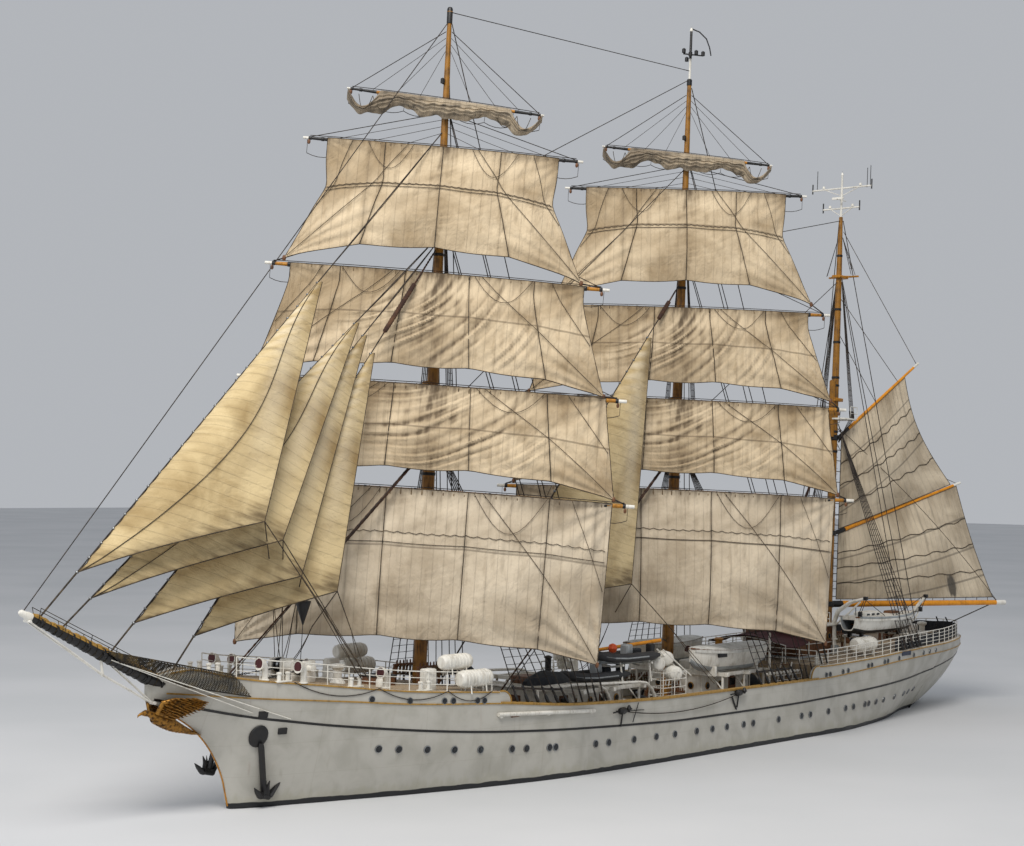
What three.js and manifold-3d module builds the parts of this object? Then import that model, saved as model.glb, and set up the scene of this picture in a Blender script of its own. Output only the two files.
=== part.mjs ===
// Three-masted barque under sail, a 1:10 scale model in millimetres.
// +X points to the bow, +Y to port and +Z up. The origin is amidships on the centreline, at the
// waterline. Lengths are written in metres of the full-size ship and multiplied by M.

import * as THREE from "three";
import { mergeVertices } from "three/addons/utils/BufferGeometryUtils.js";
import Module from "manifold-3d";

const wasm = await Module();
wasm.setup();

// Millimetres of the model for one metre of the ship
const M = 100;

// Gap in ship metres between pieces that touch
const SEAT = 0.003;

const KEEL_HALF_WIDTH = 0.2;
const KEEL_Z = -5.25;
const WAIST_DECK_Z = 2.2;
const WAIST_FRONT_X = 19.7;
const WAIST_BACK_X = -12.45;
const BULWARK_THICKNESS = 0.2;

// Hull sections from stem to stern.
// x: place along the ship; bottom: lowest point; rail: height of the rail; half: half breadth at the
// rail; full and hollow: the two exponents that shape the side between bottom and rail
const HULL_SECTIONS = [
  { x: 40.6, bottom: 6.15, rail: 6.5, half: 0.14, full: 1, hollow: 0.8 },
  { x: 39.2, bottom: 5.4, rail: 6.38, half: 0.5, full: 1, hollow: 0.9 },
  { x: 37.3, bottom: 4.17, rail: 6.18, half: 1.22, full: 1, hollow: 1 },
  { x: 35.6, bottom: 1.8, rail: 6.0, half: 1.8, full: 1, hollow: 1.05 },
  { x: 35.1, bottom: 0, rail: 5.95, half: 1.95, full: 1, hollow: 1.1 },
  { x: 34.2, bottom: -2.2, rail: 5.87, half: 2.25, full: 1, hollow: 1.15 },
  { x: 32.4, bottom: -4.1, rail: 5.72, half: 2.76, full: 1, hollow: 1.05 },
  { x: 29.6, bottom: KEEL_Z, rail: 5.48, half: 3.49, full: 1.15, hollow: 0.9 },
  { x: 25.5, bottom: KEEL_Z, rail: 5.1, half: 4.37, full: 1.8, hollow: 0.85 },
  { x: 19.75, bottom: KEEL_Z, rail: 4.76, half: 5.28, full: 2.45, hollow: 0.6 },
  { x: 19.65, bottom: KEEL_Z, rail: 4.75, half: 5.29, full: 2.45, hollow: 0.6 },
  { x: 13.2, bottom: KEEL_Z, rail: 4.22, half: 5.83, full: 4.1, hollow: 0.48 },
  { x: 3, bottom: KEEL_Z, rail: 3.94, half: 6, full: 6, hollow: 0.4 },
  { x: -12.4, bottom: KEEL_Z, rail: 3.91, half: 6, full: 5.5, hollow: 0.45 },
  { x: -12.5, bottom: KEEL_Z, rail: 3.91, half: 6, full: 5.5, hollow: 0.45 },
  { x: -20, bottom: KEEL_Z, rail: 4.22, half: 5.89, full: 2.65, hollow: 0.9 },
  { x: -24.2, bottom: KEEL_Z, rail: 4.42, half: 5.66, full: 2.05, hollow: 1.25 },
  { x: -30.6, bottom: KEEL_Z, rail: 4.54, half: 4.97, full: 1.4, hollow: 2.1 },
  { x: -31.5, bottom: KEEL_Z, rail: 4.55, half: 4.84, full: 1.39, hollow: 2.2 },
  { x: -31.6, bottom: -0.9, rail: 4.55, half: 4.83, full: 0.82, hollow: 0.48 },
  { x: -35.1, bottom: 0.05, rail: 4.58, half: 4.02, full: 0.9, hollow: 0.55 },
  { x: -38, bottom: 1.4, rail: 4.62, half: 2.98, full: 1, hollow: 0.52 },
  { x: -40, bottom: 2.6, rail: 4.65, half: 1.8, full: 1, hollow: 0.5 },
  { x: -41, bottom: 3.4, rail: 4.67, half: 0.7, full: 1, hollow: 0.5 },
];

// Shares of the height at which a section is drawn
const SECTION_LEVELS = [0, 0.04, 0.1, 0.19, 0.32, 0.52, 0.76, 1];

// Height of the upper strakes over the rail: x, rise
const FORECASTLE_STRAKE = [
  { x: 40.2, rise: 0.5 },
  { x: 36.5, rise: 0.72 },
  { x: 19.8, rise: 0.67 },
];
const POOP_STRAKE = [
  { x: -12.55, rise: 0.88 },
  { x: -24.2, rise: 0.63 },
  { x: -40.9, rise: 0.62 },
];

const RAKE = THREE.MathUtils.degToRad(2.5);
const BRACE = THREE.MathUtils.degToRad(43);
const SPANKER_SWING = THREE.MathUtils.degToRad(20);

// Masts: x is the place of the mast at the waterline, heel its radius at the deck, top and trees
// the heights of the platform and of the crosstrees, taper the radius and height above the deck
const MASTS = {
  fore: {
    x: 21.15,
    heel: 0.4,
    top: 20.1,
    trees: 33.1,
    taper: [[0.36, 20], [0.28, 31.5], [0.2, 39.5], [0.12, 45.3]],
  },
  main: {
    x: -2.79,
    heel: 0.42,
    top: 20.1,
    trees: 33.1,
    taper: [[0.36, 20], [0.28, 31.5], [0.2, 39.5], [0.1, 48.6]],
  },
  mizzen: {
    x: -22.71,
    heel: 0.34,
    top: 22.2,
    trees: 33.1,
    taper: [[0.3, 20], [0.22, 33], [0.14, 37.7], [0.09, 41.1]],
  },
};

// Yards of a square-rigged mast. On the fore and on the main mast: z, tilt of the port arm down in
// degrees, drop from the yard to the sail's clews. Of the spar: offset forward of the mast, length,
// radius at the middle
const YARDS = [
  {
    name: "course",
    fore: { z: 16.55, tilt: 1.3, drop: 9.2 },
    main: { z: 16.6, tilt: 0, drop: 9.6 },
    spar: { offset: 1.3, length: 24, radius: 0.25 },
  },
  {
    name: "lower_topsail",
    fore: { z: 22.63, tilt: 1.3, drop: 5.75 },
    main: { z: 22.7, tilt: 0, drop: 5.75 },
    spar: { offset: 1.1, length: 22.65, radius: 0.24 },
  },
  {
    name: "upper_topsail",
    fore: { z: 29.24, tilt: 2, drop: 6.3 },
    main: { z: 29, tilt: -0.7, drop: 5.85 },
    spar: { offset: 0.62, length: 20.2, radius: 0.22 },
  },
  {
    name: "topgallant",
    fore: { z: 36.74, tilt: 2.3, drop: 7.2 },
    main: { z: 37.1, tilt: -0.7, drop: 7.4 },
    spar: { offset: 0.55, length: 16.5, radius: 0.18 },
  },
  {
    name: "royal",
    fore: { z: 39.6, tilt: 5.3, drop: 0 },
    main: { z: 39.6, tilt: 3.8, drop: 0 },
    spar: { offset: 0.5, length: 11.7, radius: 0.14 },
  },
];

// Square sails: head and foot are half widths, arch the rise of the foot between the clews, belly
// the depth of the curve, lead how far the foot stands forward
const SQUARE_SAILS = {
  course: { head: 10.7, foot: 10.4, arch: 0.95, belly: 1.9, lead: 0.2 },
  lower_topsail: { head: 10.1, foot: 10.9, arch: 1.05, belly: 1.05, lead: 0.25 },
  upper_topsail: { head: 8.6, foot: 10.2, arch: 0.9, belly: 1.2, lead: 0.4 },
  topgallant: { head: 6.8, foot: 8.7, arch: 1.15, belly: 1.3, lead: 0.15 },
};

// Cells of the sheets that make the sails: along the head or luff, and down
const SQUARE_SAIL_CELLS = [10, 6];
const STAYSAIL_CELLS = [6, 8];
const SPANKER_CELLS = [7, 6];

const SAIL_THICKNESS = 0.05;

// Gap between a sail's head and its spar, in ship metres
const HEAD_GAP = 0.007;

// Half the depth of the clewed-up royal below its yard, from the middle to the arm: share, depth
const ROYAL_FOLDS = [
  { share: 0, depth: 0.5 },
  { share: 0.3, depth: 1.0 },
  { share: 0.62, depth: 1.15 },
  { share: 0.85, depth: 0.85 },
  { share: 0.97, depth: 0.3 },
];

const COLLAR_SIDES = 14;
const STAY_RADIUS = 0.03;
const WRAPPED_STAY_RADIUS = 0.07;
const SHROUD_RADIUS = 0.03;

// Staysails on the stay from foot to head, both as x, z on the centreline.
// cloth: shares of the stay where the sail's tack and peak are; clew: its free corner
const STAYSAILS = {
  flying_jib: { foot: [47.3, 10.3], head: [19.5, 38], cloth: [0.085, 0.66], clew: [35.9, 3.4, 15.15] },
  outer_jib: { foot: [46.1, 9.7], head: [19.7, 31.8], cloth: [0.075, 0.76], clew: [34.1, 2.8, 14.15] },
  inner_jib: { foot: [43.1, 8.4], head: [19.7, 31.55], cloth: [0.07, 0.755], clew: [32.3, 2.3, 12.2] },
  fore_topmast_staysail: { foot: [39.6, 6.7], head: [19.7, 31.3], cloth: [0.1, 0.74], clew: [29.6, 2.2, 11.3] },
  main_topmast_staysail: { foot: [19.4, 5.2], head: [-4.15, 31.1], cloth: [0.17, 0.86], clew: [2.9, 1.5, 10.75] },
};

// Plain stays: foot and head as x, z
const STAYS = {
  fore_stay: { foot: [35.8, 6.4], head: [20.3, 19.45] },
  main_stay: { foot: [16.4, 2.1], head: [-3.6, 19.45] },
  mizzen_stay: { foot: [-10.6, 2.1], head: [-23.65, 22.0] },
};

// Lower shrouds: x of the foremost and of the aftmost, and the height of the hounds
const SHROUDS = {
  fore: { first: 18.3, last: 14.2, hounds: 19.85, count: 4 },
  main: { first: -5.6, last: -9.9, hounds: 19.85, count: 4 },
  mizzen: { first: -24.7, last: -27.9, hounds: 21.9, count: 4 },
};

// Spanker gear, measured aft of the mizzen mast in its own plane: z at the mast, reach, rise,
// radius at the mast and at the tip
const SPARS = {
  spanker_boom: { z: 8.3, reach: 17.6, rise: 0.5, heel: 0.2, tip: 0.15 },
  lower_gaff: { z: 13.5, reach: 12.6, rise: 4.58, heel: 0.16, tip: 0.1 },
  upper_gaff: { z: 20.5, reach: 8.0, rise: 6.65, heel: 0.13, tip: 0.09 },
};

// Spanker sails: the gaff that each hangs under, throat and peak as distance aft along it, and the
// lower corners as distance aft and height
const SPANKERS = {
  lower_spanker: { gaff: "lower_gaff", head: [0.75, 12.2], tack: [0.75, 8.68], clew: [16.3, 9.2], belly: 0.8 },
  upper_spanker: { gaff: "upper_gaff", head: [0.75, 7.7], tack: [0.75, 14.2], clew: [11.6, 18.1], belly: 0.7 },
};

// Deck houses: back and front, half width and roof; beams: places of the boat beams; reach: their
// half length
const BEAM_DEPTH = 0.25;
const HOUSES = {
  fore_house: { ends: [4.6, 12.4], half: 2.2, roof: 4.6, beams: [6, 9, 11.9], reach: 5.1 },
  main_house: { ends: [-9.6, -3.9], half: 2.2, roof: 4.45, beams: [-9.2, -6.9, -4.4], reach: 4.1 },
};

// Houses on the poop, each as x, half width and z of a box: walls and roof of the chart house, and
// the steering gear's box
const POOP_HOUSES = [
  { ends: [-20.2, -15.4], half: 2.3, low: 4.7, high: 7.0 },
  { ends: [-20.5, -15.1], half: 2.6, low: 6.98, high: 7.14 },
  { ends: [-34.6, -32.2], half: 1.2, low: 4.9, high: 6.3 },
];

// Stations of a small boat: share of its length, of its half breadth, and height of the keel as a
// share of its depth
const BOAT_STATIONS = [
  { share: 0, width: 0.55, keel: 0.3 },
  { share: 0.22, width: 0.88, keel: 0 },
  { share: 0.55, width: 1, keel: 0 },
  { share: 0.8, width: 0.75, keel: 0.04 },
  { share: 1, width: 0.05, keel: 0.55 },
];

// Boats by the place of the stern, distance from the centreline, length, half breadth and depth
const WORK_BOAT = { x: 6.4, y: 3.4, length: 5.4, half: 1.05, depth: 0.55 };
const CUTTER = { x: -9.9, y: 2.75, length: 8.1, half: 1.15, depth: 1.7 };
const LAUNCH = { x: -28, y: 3.5, z: 6.35, length: 8.2, half: 1, depth: 1.2 };

// Davits: their places, and y, z, radius of each from the foot to the tip
const DAVIT_PLACES = [-28.5, -19.4];
const DAVIT_BENDS = [
  { y: 5.1, z: 5.0, radius: 0.15 },
  { y: 5.1, z: 7.9, radius: 0.14 },
  { y: 4.6, z: 8.7, radius: 0.12 },
  { y: 4.05, z: 8.9, radius: 0.1 },
];
const DAVIT_FALL_RADIUS = 0.06;

// Height of the bars that tie a launch to its davits, and their half thickness
const LAUNCH_TIE_Z = 7.37;
const LAUNCH_TIE_HALF = 0.08;

// Bowsprit from the stem to its tip: x, z, radius
const BOWSPRIT = [
  { x: 38.2, z: 6.1, radius: 0.36 },
  { x: 43.5, z: 8.62, radius: 0.3 },
  { x: 48.2, z: 10.9, radius: 0.16 },
];

// Bars under the bowsprit on the centreline: from x, z to x, z, and radius
const MARTINGALE = [
  { from: [43.5, 8.6], to: [43.1, 7.0], radius: 0.07 },
  { from: [47.6, 10.6], to: [43.1, 7.0], radius: STAY_RADIUS },
  { from: [43.1, 7.0], to: [40.3, 6.1], radius: STAY_RADIUS },
];

// Body of the figurehead, a seabird, from tail to beak: x, z, radius
const BIRD_BODY = [
  { x: 37.6, z: 4.0, radius: 0.1 },
  { x: 38.9, z: 4.86, radius: 0.36 },
  { x: 40.2, z: 5.5, radius: 0.2 },
  { x: 40.7, z: 5.62, radius: 0.15 },
  { x: 41.2, z: 5.56, radius: 0.03 },
];
const WING_ROOT = [39.9, 0.22, 5.45];

// Tips of a wing: place, radius at the root and at the tip
const WING_TIPS = [
  { place: [38.3, 1.15, 5.05], root: 0.2, tip: 0.12 },
  { place: [37.4, 1.05, 4.3], root: 0.14, tip: 0.05 },
];

// Anchor at its place on the bow: height of the hawse plate and of the crown, reach of an arm
const ANCHOR = { x: 34.4, plate: 4.1, plateRadius: 0.42, crown: 1.5, arm: 0.75, fluke: 2.55 };

// Windlass on the forecastle: place, half width of its bed, height of its axle, radius of its drums
const WINDLASS = { x: 30.8, y: 1.28, axle: 0.75, drum: 0.34 };

const PROPELLER = { x: -32.25, z: -2.6, radius: 1.25, hub: 0.24, length: 0.55, blades: 3 };
const BLADE = { thickness: 0.09, width: 0.62, pitch: THREE.MathUtils.degToRad(52) };
const RUDDER = { x: -33.55, front: -33.15, back: -35.3, bottom: -4.9, top: -0.95, thickness: 0.3 };
const SKEG_DEPTH = 0.25;

const paint = {
  white: new THREE.MeshStandardMaterial({ color: 0xe4e2da, roughness: 0.55 }),
  ochre: new THREE.MeshStandardMaterial({ color: 0xa96f24, roughness: 0.6 }),
  black: new THREE.MeshStandardMaterial({ color: 0x1c1c1e, roughness: 0.6 }),
  gilt: new THREE.MeshStandardMaterial({ color: 0xb88a3a, roughness: 0.45, metalness: 0.6 }),
  canvas: new THREE.MeshStandardMaterial({ color: 0xc9ae84, roughness: 0.9 }),
  bronze: new THREE.MeshStandardMaterial({ color: 0x9a6b35, roughness: 0.4, metalness: 0.8 }),
  wire: new THREE.MeshStandardMaterial({ color: 0x2a2623, roughness: 0.7 }),
  rubber: new THREE.MeshStandardMaterial({ color: 0x232326, roughness: 0.85 }),
};

// A closed geometry as a solid, turned right side out
function solid(geometry) {
  const plain = geometry.clone();
  plain.deleteAttribute("normal");
  plain.deleteAttribute("uv");
  const merged = mergeVertices(plain, 1e-4);
  const position = merged.attributes.position;
  const triangles = [];
  let volume = 0;
  const a = new THREE.Vector3();
  const b = new THREE.Vector3();
  const c = new THREE.Vector3();
  for (let i = 0; i < merged.index.count; i += 3) {
    const corner = [merged.index.getX(i), merged.index.getX(i + 1), merged.index.getX(i + 2)];
    if (corner[0] === corner[1] || corner[1] === corner[2] || corner[2] === corner[0]) {
      continue;
    }
    a.fromBufferAttribute(position, corner[0]);
    b.fromBufferAttribute(position, corner[1]);
    c.fromBufferAttribute(position, corner[2]);
    volume += a.dot(b.cross(c));
    triangles.push(corner);
  }
  const triVerts = new Uint32Array(triangles.flatMap((t) => (volume < 0 ? [t[0], t[2], t[1]] : t)));
  const vertProperties = new Float32Array(position.array);
  return new wasm.Manifold(new wasm.Mesh({ numProp: 3, vertProperties, triVerts }));
}

function join(solids) {
  return solids.reduce((whole, next) => whole.add(next));
}

// The largest body of a cut solid
function largest(cut) {
  const bodies = cut.decompose();
  return bodies.reduce((best, next) => (next.volume() > best.volume() ? next : best));
}

function piece(name, body, material) {
  const mesh = body.getMesh();
  const geometry = new THREE.BufferGeometry();
  geometry.setAttribute("position", new THREE.BufferAttribute(new Float32Array(mesh.vertProperties), 3));
  geometry.setIndex(new THREE.BufferAttribute(new Uint32Array(mesh.triVerts), 1));
  geometry.computeVertexNormals();
  const result = new THREE.Mesh(geometry, material);
  result.name = name;
  return result;
}

// Closed skin over rings of equal point count, each an array of [x, y, z] in ship metres
function loft(rings) {
  const count = rings[0].length;
  const positions = rings.flat().flatMap((p) => [p[0] * M, p[1] * M, p[2] * M]);
  const index = [];
  for (let i = 0; i + 1 < rings.length; i += 1) {
    for (let j = 0; j < count; j += 1) {
      const here = i * count + j;
      const next = i * count + ((j + 1) % count);
      index.push(here, next, here + count, next, next + count, here + count);
    }
  }
  const last = (rings.length - 1) * count;
  for (const t of capTriangles(rings[0])) {
    index.push(t[0], t[2], t[1]);
  }
  for (const t of capTriangles(rings.at(-1))) {
    index.push(last + t[0], last + t[1], last + t[2]);
  }
  const geometry = new THREE.BufferGeometry();
  geometry.setAttribute("position", new THREE.BufferAttribute(new Float32Array(positions), 3));
  geometry.setIndex(index);
  return solid(geometry);
}

// Triangles over a flat ring, each with its corners in the ring's own order
function capTriangles(ring) {
  const spread = (axis) => Math.max(...ring.map((p) => p[axis])) - Math.min(...ring.map((p) => p[axis]));
  const axes = [0, 1, 2].sort((a, b) => spread(b) - spread(a)).slice(0, 2).sort();
  const outline = ring.map((p) => new THREE.Vector2(p[axes[0]], p[axes[1]]));
  const count = ring.length;
  return THREE.ShapeUtils.triangulateShape(outline, []).map(([a, b, c]) => {
    const inOrder = (b - a + count) % count < (c - a + count) % count;
    return inOrder ? [a, b, c] : [a, c, b];
  });
}

function box(x0, x1, y0, y1, z0, z1) {
  const geometry = new THREE.BoxGeometry((x1 - x0) * M, (y1 - y0) * M, (z1 - z0) * M);
  geometry.translate(((x0 + x1) / 2) * M, ((y0 + y1) / 2) * M, ((z0 + z1) / 2) * M);
  return solid(geometry);
}

// A round bar from a to b, in ship metres
function rod(a, b, radiusA, radiusB = radiusA, sides = 6) {
  const from = new THREE.Vector3(...a).multiplyScalar(M);
  const to = new THREE.Vector3(...b).multiplyScalar(M);
  const length = from.distanceTo(to);
  const geometry = new THREE.CylinderGeometry(radiusB * M, radiusA * M, length, sides);
  geometry.translate(0, length / 2, 0);
  const along = to.clone().sub(from).normalize();
  geometry.applyQuaternion(new THREE.Quaternion().setFromUnitVectors(new THREE.Vector3(0, 1, 0), along));
  geometry.translate(from.x, from.y, from.z);
  return solid(geometry);
}

// A turned shape round the local Z axis from radius, height pairs that start and end on the axis
function turned(profile, sides = 12) {
  const points = profile.map(([radius, height]) => new THREE.Vector2(radius * M, height * M));
  const geometry = new THREE.LatheGeometry(points, sides);
  geometry.rotateX(Math.PI / 2);
  return solid(geometry);
}

// Value of a column at x in a table that is sorted by x
function at(table, x, column) {
  const rising = table[0].x < table.at(-1).x ? table : [...table].reverse();
  const i = Math.min(Math.max(rising.findIndex((row) => row.x >= x), 1), rising.length - 1);
  const low = rising[i - 1];
  const high = rising[i];
  const share = THREE.MathUtils.clamp((x - low.x) / (high.x - low.x), 0, 1);
  return low[column] + (high[column] - low[column]) * share;
}

// Half breadth of a section at height z
function halfBreadth(section, z) {
  const share = THREE.MathUtils.clamp((z - section.bottom) / (section.rail - section.bottom), 0, 1);
  const shape = (1 - (1 - share) ** section.full) ** section.hollow;
  const narrow = Math.min(KEEL_HALF_WIDTH, section.half * 0.5);
  return narrow + (section.half - narrow) * shape;
}

// Half breadth of the hull at any place
function sideAt(x, z) {
  const stern = HULL_SECTIONS.findIndex((row) => row.x <= x);
  const back = HULL_SECTIONS[stern];
  const front = HULL_SECTIONS[Math.max(stern - 1, 0)];
  const share = front.x === back.x ? 0 : (x - back.x) / (front.x - back.x);
  return halfBreadth(back, z) * (1 - share) + halfBreadth(front, z) * share;
}

function isWaist(x) {
  return x < WAIST_FRONT_X && x > WAIST_BACK_X;
}

// How far a section moves along the ship as the hull grows: forward of amidships, forward
function pastEnds(x, grow) {
  return x > 0 ? grow : -grow;
}

// The hull up to its decks; grow makes it larger all round for cutting
function hullSolid(grow = 0) {
  const rings = HULL_SECTIONS.map((section) => {
    const top = isWaist(section.x) ? WAIST_DECK_Z : section.rail;
    const place = section.x + pastEnds(section.x, grow);
    const side = SECTION_LEVELS.map((share) => {
      const z = section.bottom + (top - section.bottom) * share;
      return [place, halfBreadth(section, z) + grow, z + grow * (2 * share - 1)];
    });
    const starboard = side.map(([x, y, z]) => [x, -y, z]).reverse();
    return [...side, [place, 0, top + grow], ...starboard, [place, 0, section.bottom - grow]];
  });
  return loft(rings);
}

// A strip along the hull between x0 and x1; ring(x) gives its section
function along(x0, x1, ring) {
  const between = HULL_SECTIONS.map((row) => row.x).filter((x) => x < x0 && x > x1);
  return loft([x0, ...between, x1].map(ring));
}

function strake(table, grow = 0) {
  const sections = [...table.map((row) => row.x), ...HULL_SECTIONS.map((row) => row.x)];
  const inside = sections.filter((x) => x <= table[0].x && x >= table.at(-1).x);
  const places = [...new Set(inside)].sort((a, b) => b - a);
  const ring = (x) => {
    const rail = at(HULL_SECTIONS, x, "rail");
    const half = at(HULL_SECTIONS, x, "half") + grow;
    const top = rail + at(table, x, "rise") + grow;
    const place = x + pastEnds((table[0].x + table.at(-1).x) / 2, grow);
    const low = rail + SEAT;
    return [[place, -half, low], [place, half, low], [place, half, top], [place, -half, top]];
  };
  return loft(places.map(ring));
}

function bulwark(side) {
  const ring = (x) => {
    const rail = at(HULL_SECTIONS, x, "rail");
    const low = sideAt(x, WAIST_DECK_Z + SEAT);
    const high = sideAt(x, rail);
    const inner = Math.min(low, high) - BULWARK_THICKNESS;
    return [
      [x, side * low, WAIST_DECK_Z + SEAT],
      [x, side * high, rail],
      [x, side * inner, rail],
      [x, side * inner, WAIST_DECK_Z + SEAT],
    ];
  };
  return along(19.6, -12.35, ring);
}

// The hull with the skeg below the rudder and the boss of the propeller's shaft
function hull() {
  const { x, z, hub, length } = PROPELLER;
  const sternPost = -31.2;
  const skeg = box(RUDDER.x - 0.45, sternPost, -0.16, 0.16, KEEL_Z, KEEL_Z + SKEG_DEPTH);
  const boss = rod([sternPost, 0, z], [x + length / 2 + SEAT, 0, z], 0.4, hub, 10);
  return join([hullSolid(), skeg, boss]);
}

function poop() {
  const houses = POOP_HOUSES.map(({ ends, half, low, high }) => box(...ends, -half, half, low, high));
  return join([strake(POOP_STRAKE), ...houses]);
}

// A piece cut back to a seat's width from the pieces that it meets
function seated(body, ...neighbours) {
  return largest(neighbours.reduce((rest, neighbour) => rest.subtract(neighbour), body));
}

// Round bars on the centreline through the rows of a table, each a little larger by grow
function centreBars(rows, sides, grow = 0) {
  return join(
    rows.slice(1).map((end, i) => {
      const start = rows[i];
      return rod([start.x, 0, start.z], [end.x, 0, end.z], start.radius + grow, end.radius + grow, sides);
    }),
  );
}

function bowspritSpar(grow = 0) {
  return centreBars(BOWSPRIT, 10, grow);
}

function bowsprit() {
  return seated(bowspritSpar(), hullSolid(SEAT), strake(FORECASTLE_STRAKE, SEAT));
}

function martingale() {
  const bars = MARTINGALE.map(({ from, to, radius }) => rod([from[0], 0, from[1]], [to[0], 0, to[1]], radius));
  return seated(join(bars), bowspritSpar(SEAT), hullSolid(SEAT));
}

function figurehead() {
  const mirrored = ([x, y, z], side) => [x, side * y, z];
  const wings = [1, -1].flatMap((side) => {
    const root = mirrored(WING_ROOT, side);
    return WING_TIPS.map((wing) => rod(root, mirrored(wing.place, side), wing.root, wing.tip, 6));
  });
  return seated(join([centreBars(BIRD_BODY, 8), ...wings]), hullSolid(SEAT));
}

function anchor(side) {
  const { x, plate, plateRadius, crown, arm, fluke } = ANCHOR;
  const y = side * (sideAt(x, plate) + 0.2);
  const inside = side * (sideAt(x, plate) - 0.1);
  const arms = [-1, 1].flatMap((end) => {
    const palm = x + end * arm;
    return [
      rod([x, y, crown + 0.12], [palm, y, crown + 0.55], 0.16, 0.12, 6),
      rod([palm, y, crown + 0.5], [palm + end * 0.1, y, fluke], 0.17, 0.04, 6),
    ];
  });
  const parts = [
    rod([x, inside, plate], [x, y + side * 0.12, plate], plateRadius, plateRadius, 10),
    rod([x, y, plate], [x, y, crown], 0.12, 0.14, 8),
    box(x - 0.25, x + 0.25, y - 0.2, y + 0.2, crown - 0.1, crown + 0.25),
  ];
  return seated(join([...parts, ...arms]), hullSolid(SEAT));
}

function windlass() {
  const { x, y, axle, drum } = WINDLASS;
  const z = deckAt(x);
  const post = (middle, half, height) => {
    return box(x - 0.25, x + 0.25, middle - half, middle + half, z + 0.1, z + height);
  };
  const gear = join([
    box(x - 0.8, x + 0.8, -y - 0.22, y + 0.22, z - 0.2, z + 0.25),
    rod([x, -y - 0.42, z + axle], [x, y + 0.42, z + axle], drum, drum, 10),
    post(0, 0.35, axle + 0.5),
    post(y, 0.13, axle + 0.15),
    post(-y, 0.13, axle + 0.15),
  ]);
  return seated(gear, strake(FORECASTLE_STRAKE, SEAT));
}

// A deck house with its roof and, across it, the beams that boats stand on
function house({ ends, half, roof, beams, reach }) {
  const [back, front] = ends;
  const beamTop = roof + BEAM_DEPTH;
  return join([
    box(back, front, -half, half, WAIST_DECK_Z + SEAT, roof - 0.1),
    box(back - 0.2, front + 0.2, -half - 0.2, half + 0.2, roof - 0.12, roof),
    ...beams.map((x) => box(x - 0.12, x + 0.12, -reach, reach, roof - 0.05, beamTop)),
    ...[-1, 1].map((side) => {
      const edge = side * (reach - 0.5);
      return box(beams[0], beams.at(-1), edge - 0.1, edge + 0.1, roof - 0.05, beamTop - 0.02);
    }),
  ]);
}

// A small boat with its stern at x, y, z
function boat(x, y, z, { length, half, depth }) {
  const rings = BOAT_STATIONS.map(({ share, width, keel }) => {
    const place = x + share * length;
    const wide = half * width;
    const low = z + keel * depth;
    const sheer = z + depth * (1 + 0.12 * (2 * share - 1) ** 2);
    return [
      [place, y, low],
      [place, y + wide * 0.75, low + (sheer - low) * 0.3],
      [place, y + wide, sheer],
      [place, y, sheer + 0.05],
      [place, y - wide, sheer],
      [place, y - wide * 0.75, low + (sheer - low) * 0.3],
    ];
  });
  return loft(rings);
}

// The inflatable work boat on the beams of the fore house: floor, two tubes and console
function workBoat() {
  const { x, y, length } = WORK_BOAT;
  const low = HOUSES.fore_house.roof + BEAM_DEPTH + SEAT;
  const tubes = [-0.8, 0.8].map((out) => {
    return rod([x + 0.6, y + out, low + 0.5], [x + length - 1.2, y + out, low + 0.5], 0.28, 0.28, 8);
  });
  const consoleBox = box(x + 1, x + 1.6, y - 0.4, y + 0.4, low + 0.4, low + 1.1);
  return join([boat(x, y, low, WORK_BOAT), ...tubes, consoleBox]);
}

// A cutter with a cover, stowed beside the main mast
function cutter(side) {
  return boat(CUTTER.x, side * CUTTER.y, HOUSES.main_house.roof + BEAM_DEPTH + SEAT, CUTTER);
}

// A launch at the poop rail with the two davits that carry it
function launch(side) {
  const { x, y, z, length, depth } = LAUNCH;
  const half = LAUNCH_TIE_HALF;
  const middle = side * y;
  const tie = (x0, x1, y0, y1) => {
    return box(x0, x1, Math.min(y0, y1), Math.max(y0, y1), LAUNCH_TIE_Z - half, LAUNCH_TIE_Z + half);
  };
  const davits = DAVIT_PLACES.flatMap((place) => {
    const bend = (row) => [place, side * row.y, row.z];
    const bars = DAVIT_BENDS.slice(1).map((end, i) => {
      return rod(bend(DAVIT_BENDS[i]), bend(end), DAVIT_BENDS[i].radius, end.radius);
    });
    const tip = DAVIT_BENDS.at(-1);
    const fall = rod(bend(tip), [place, side * tip.y, LAUNCH_TIE_Z], DAVIT_FALL_RADIUS);
    const end = THREE.MathUtils.clamp(place, x + 0.4, x + length - 0.4);
    const lengthwise = tie(Math.min(place, end) - half, Math.max(place, end), middle - half, middle + half);
    return [...bars, fall, lengthwise, tie(place - half, place + half, side * tip.y, middle)];
  });
  const cabin = box(x + 2.4, x + 5.4, middle - 0.6, middle + 0.6, z + depth - 0.15, z + depth + 0.35);
  return seated(join([boat(x, middle, z, LAUNCH), cabin, ...davits]), strake(POOP_STRAKE, SEAT));
}

// Height of the deck at a place
function deckAt(x) {
  if (isWaist(x)) {
    return WAIST_DECK_Z;
  }
  return at(HULL_SECTIONS, x, "rail") + at(x > 0 ? FORECASTLE_STRAKE : POOP_STRAKE, x, "rise");
}

// Radius and height of a mast in its raked frame, from the deck up
function mastTaper({ x, heel, taper }) {
  const edges = [-heel, heel].map((r) => {
    const place = x - Math.tan(RAKE) * deckAt(x) + r;
    return (deckAt(place) + SEAT - r * Math.sin(RAKE)) / Math.cos(RAKE);
  });
  return [[heel, Math.max(...edges)], ...taper];
}

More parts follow.
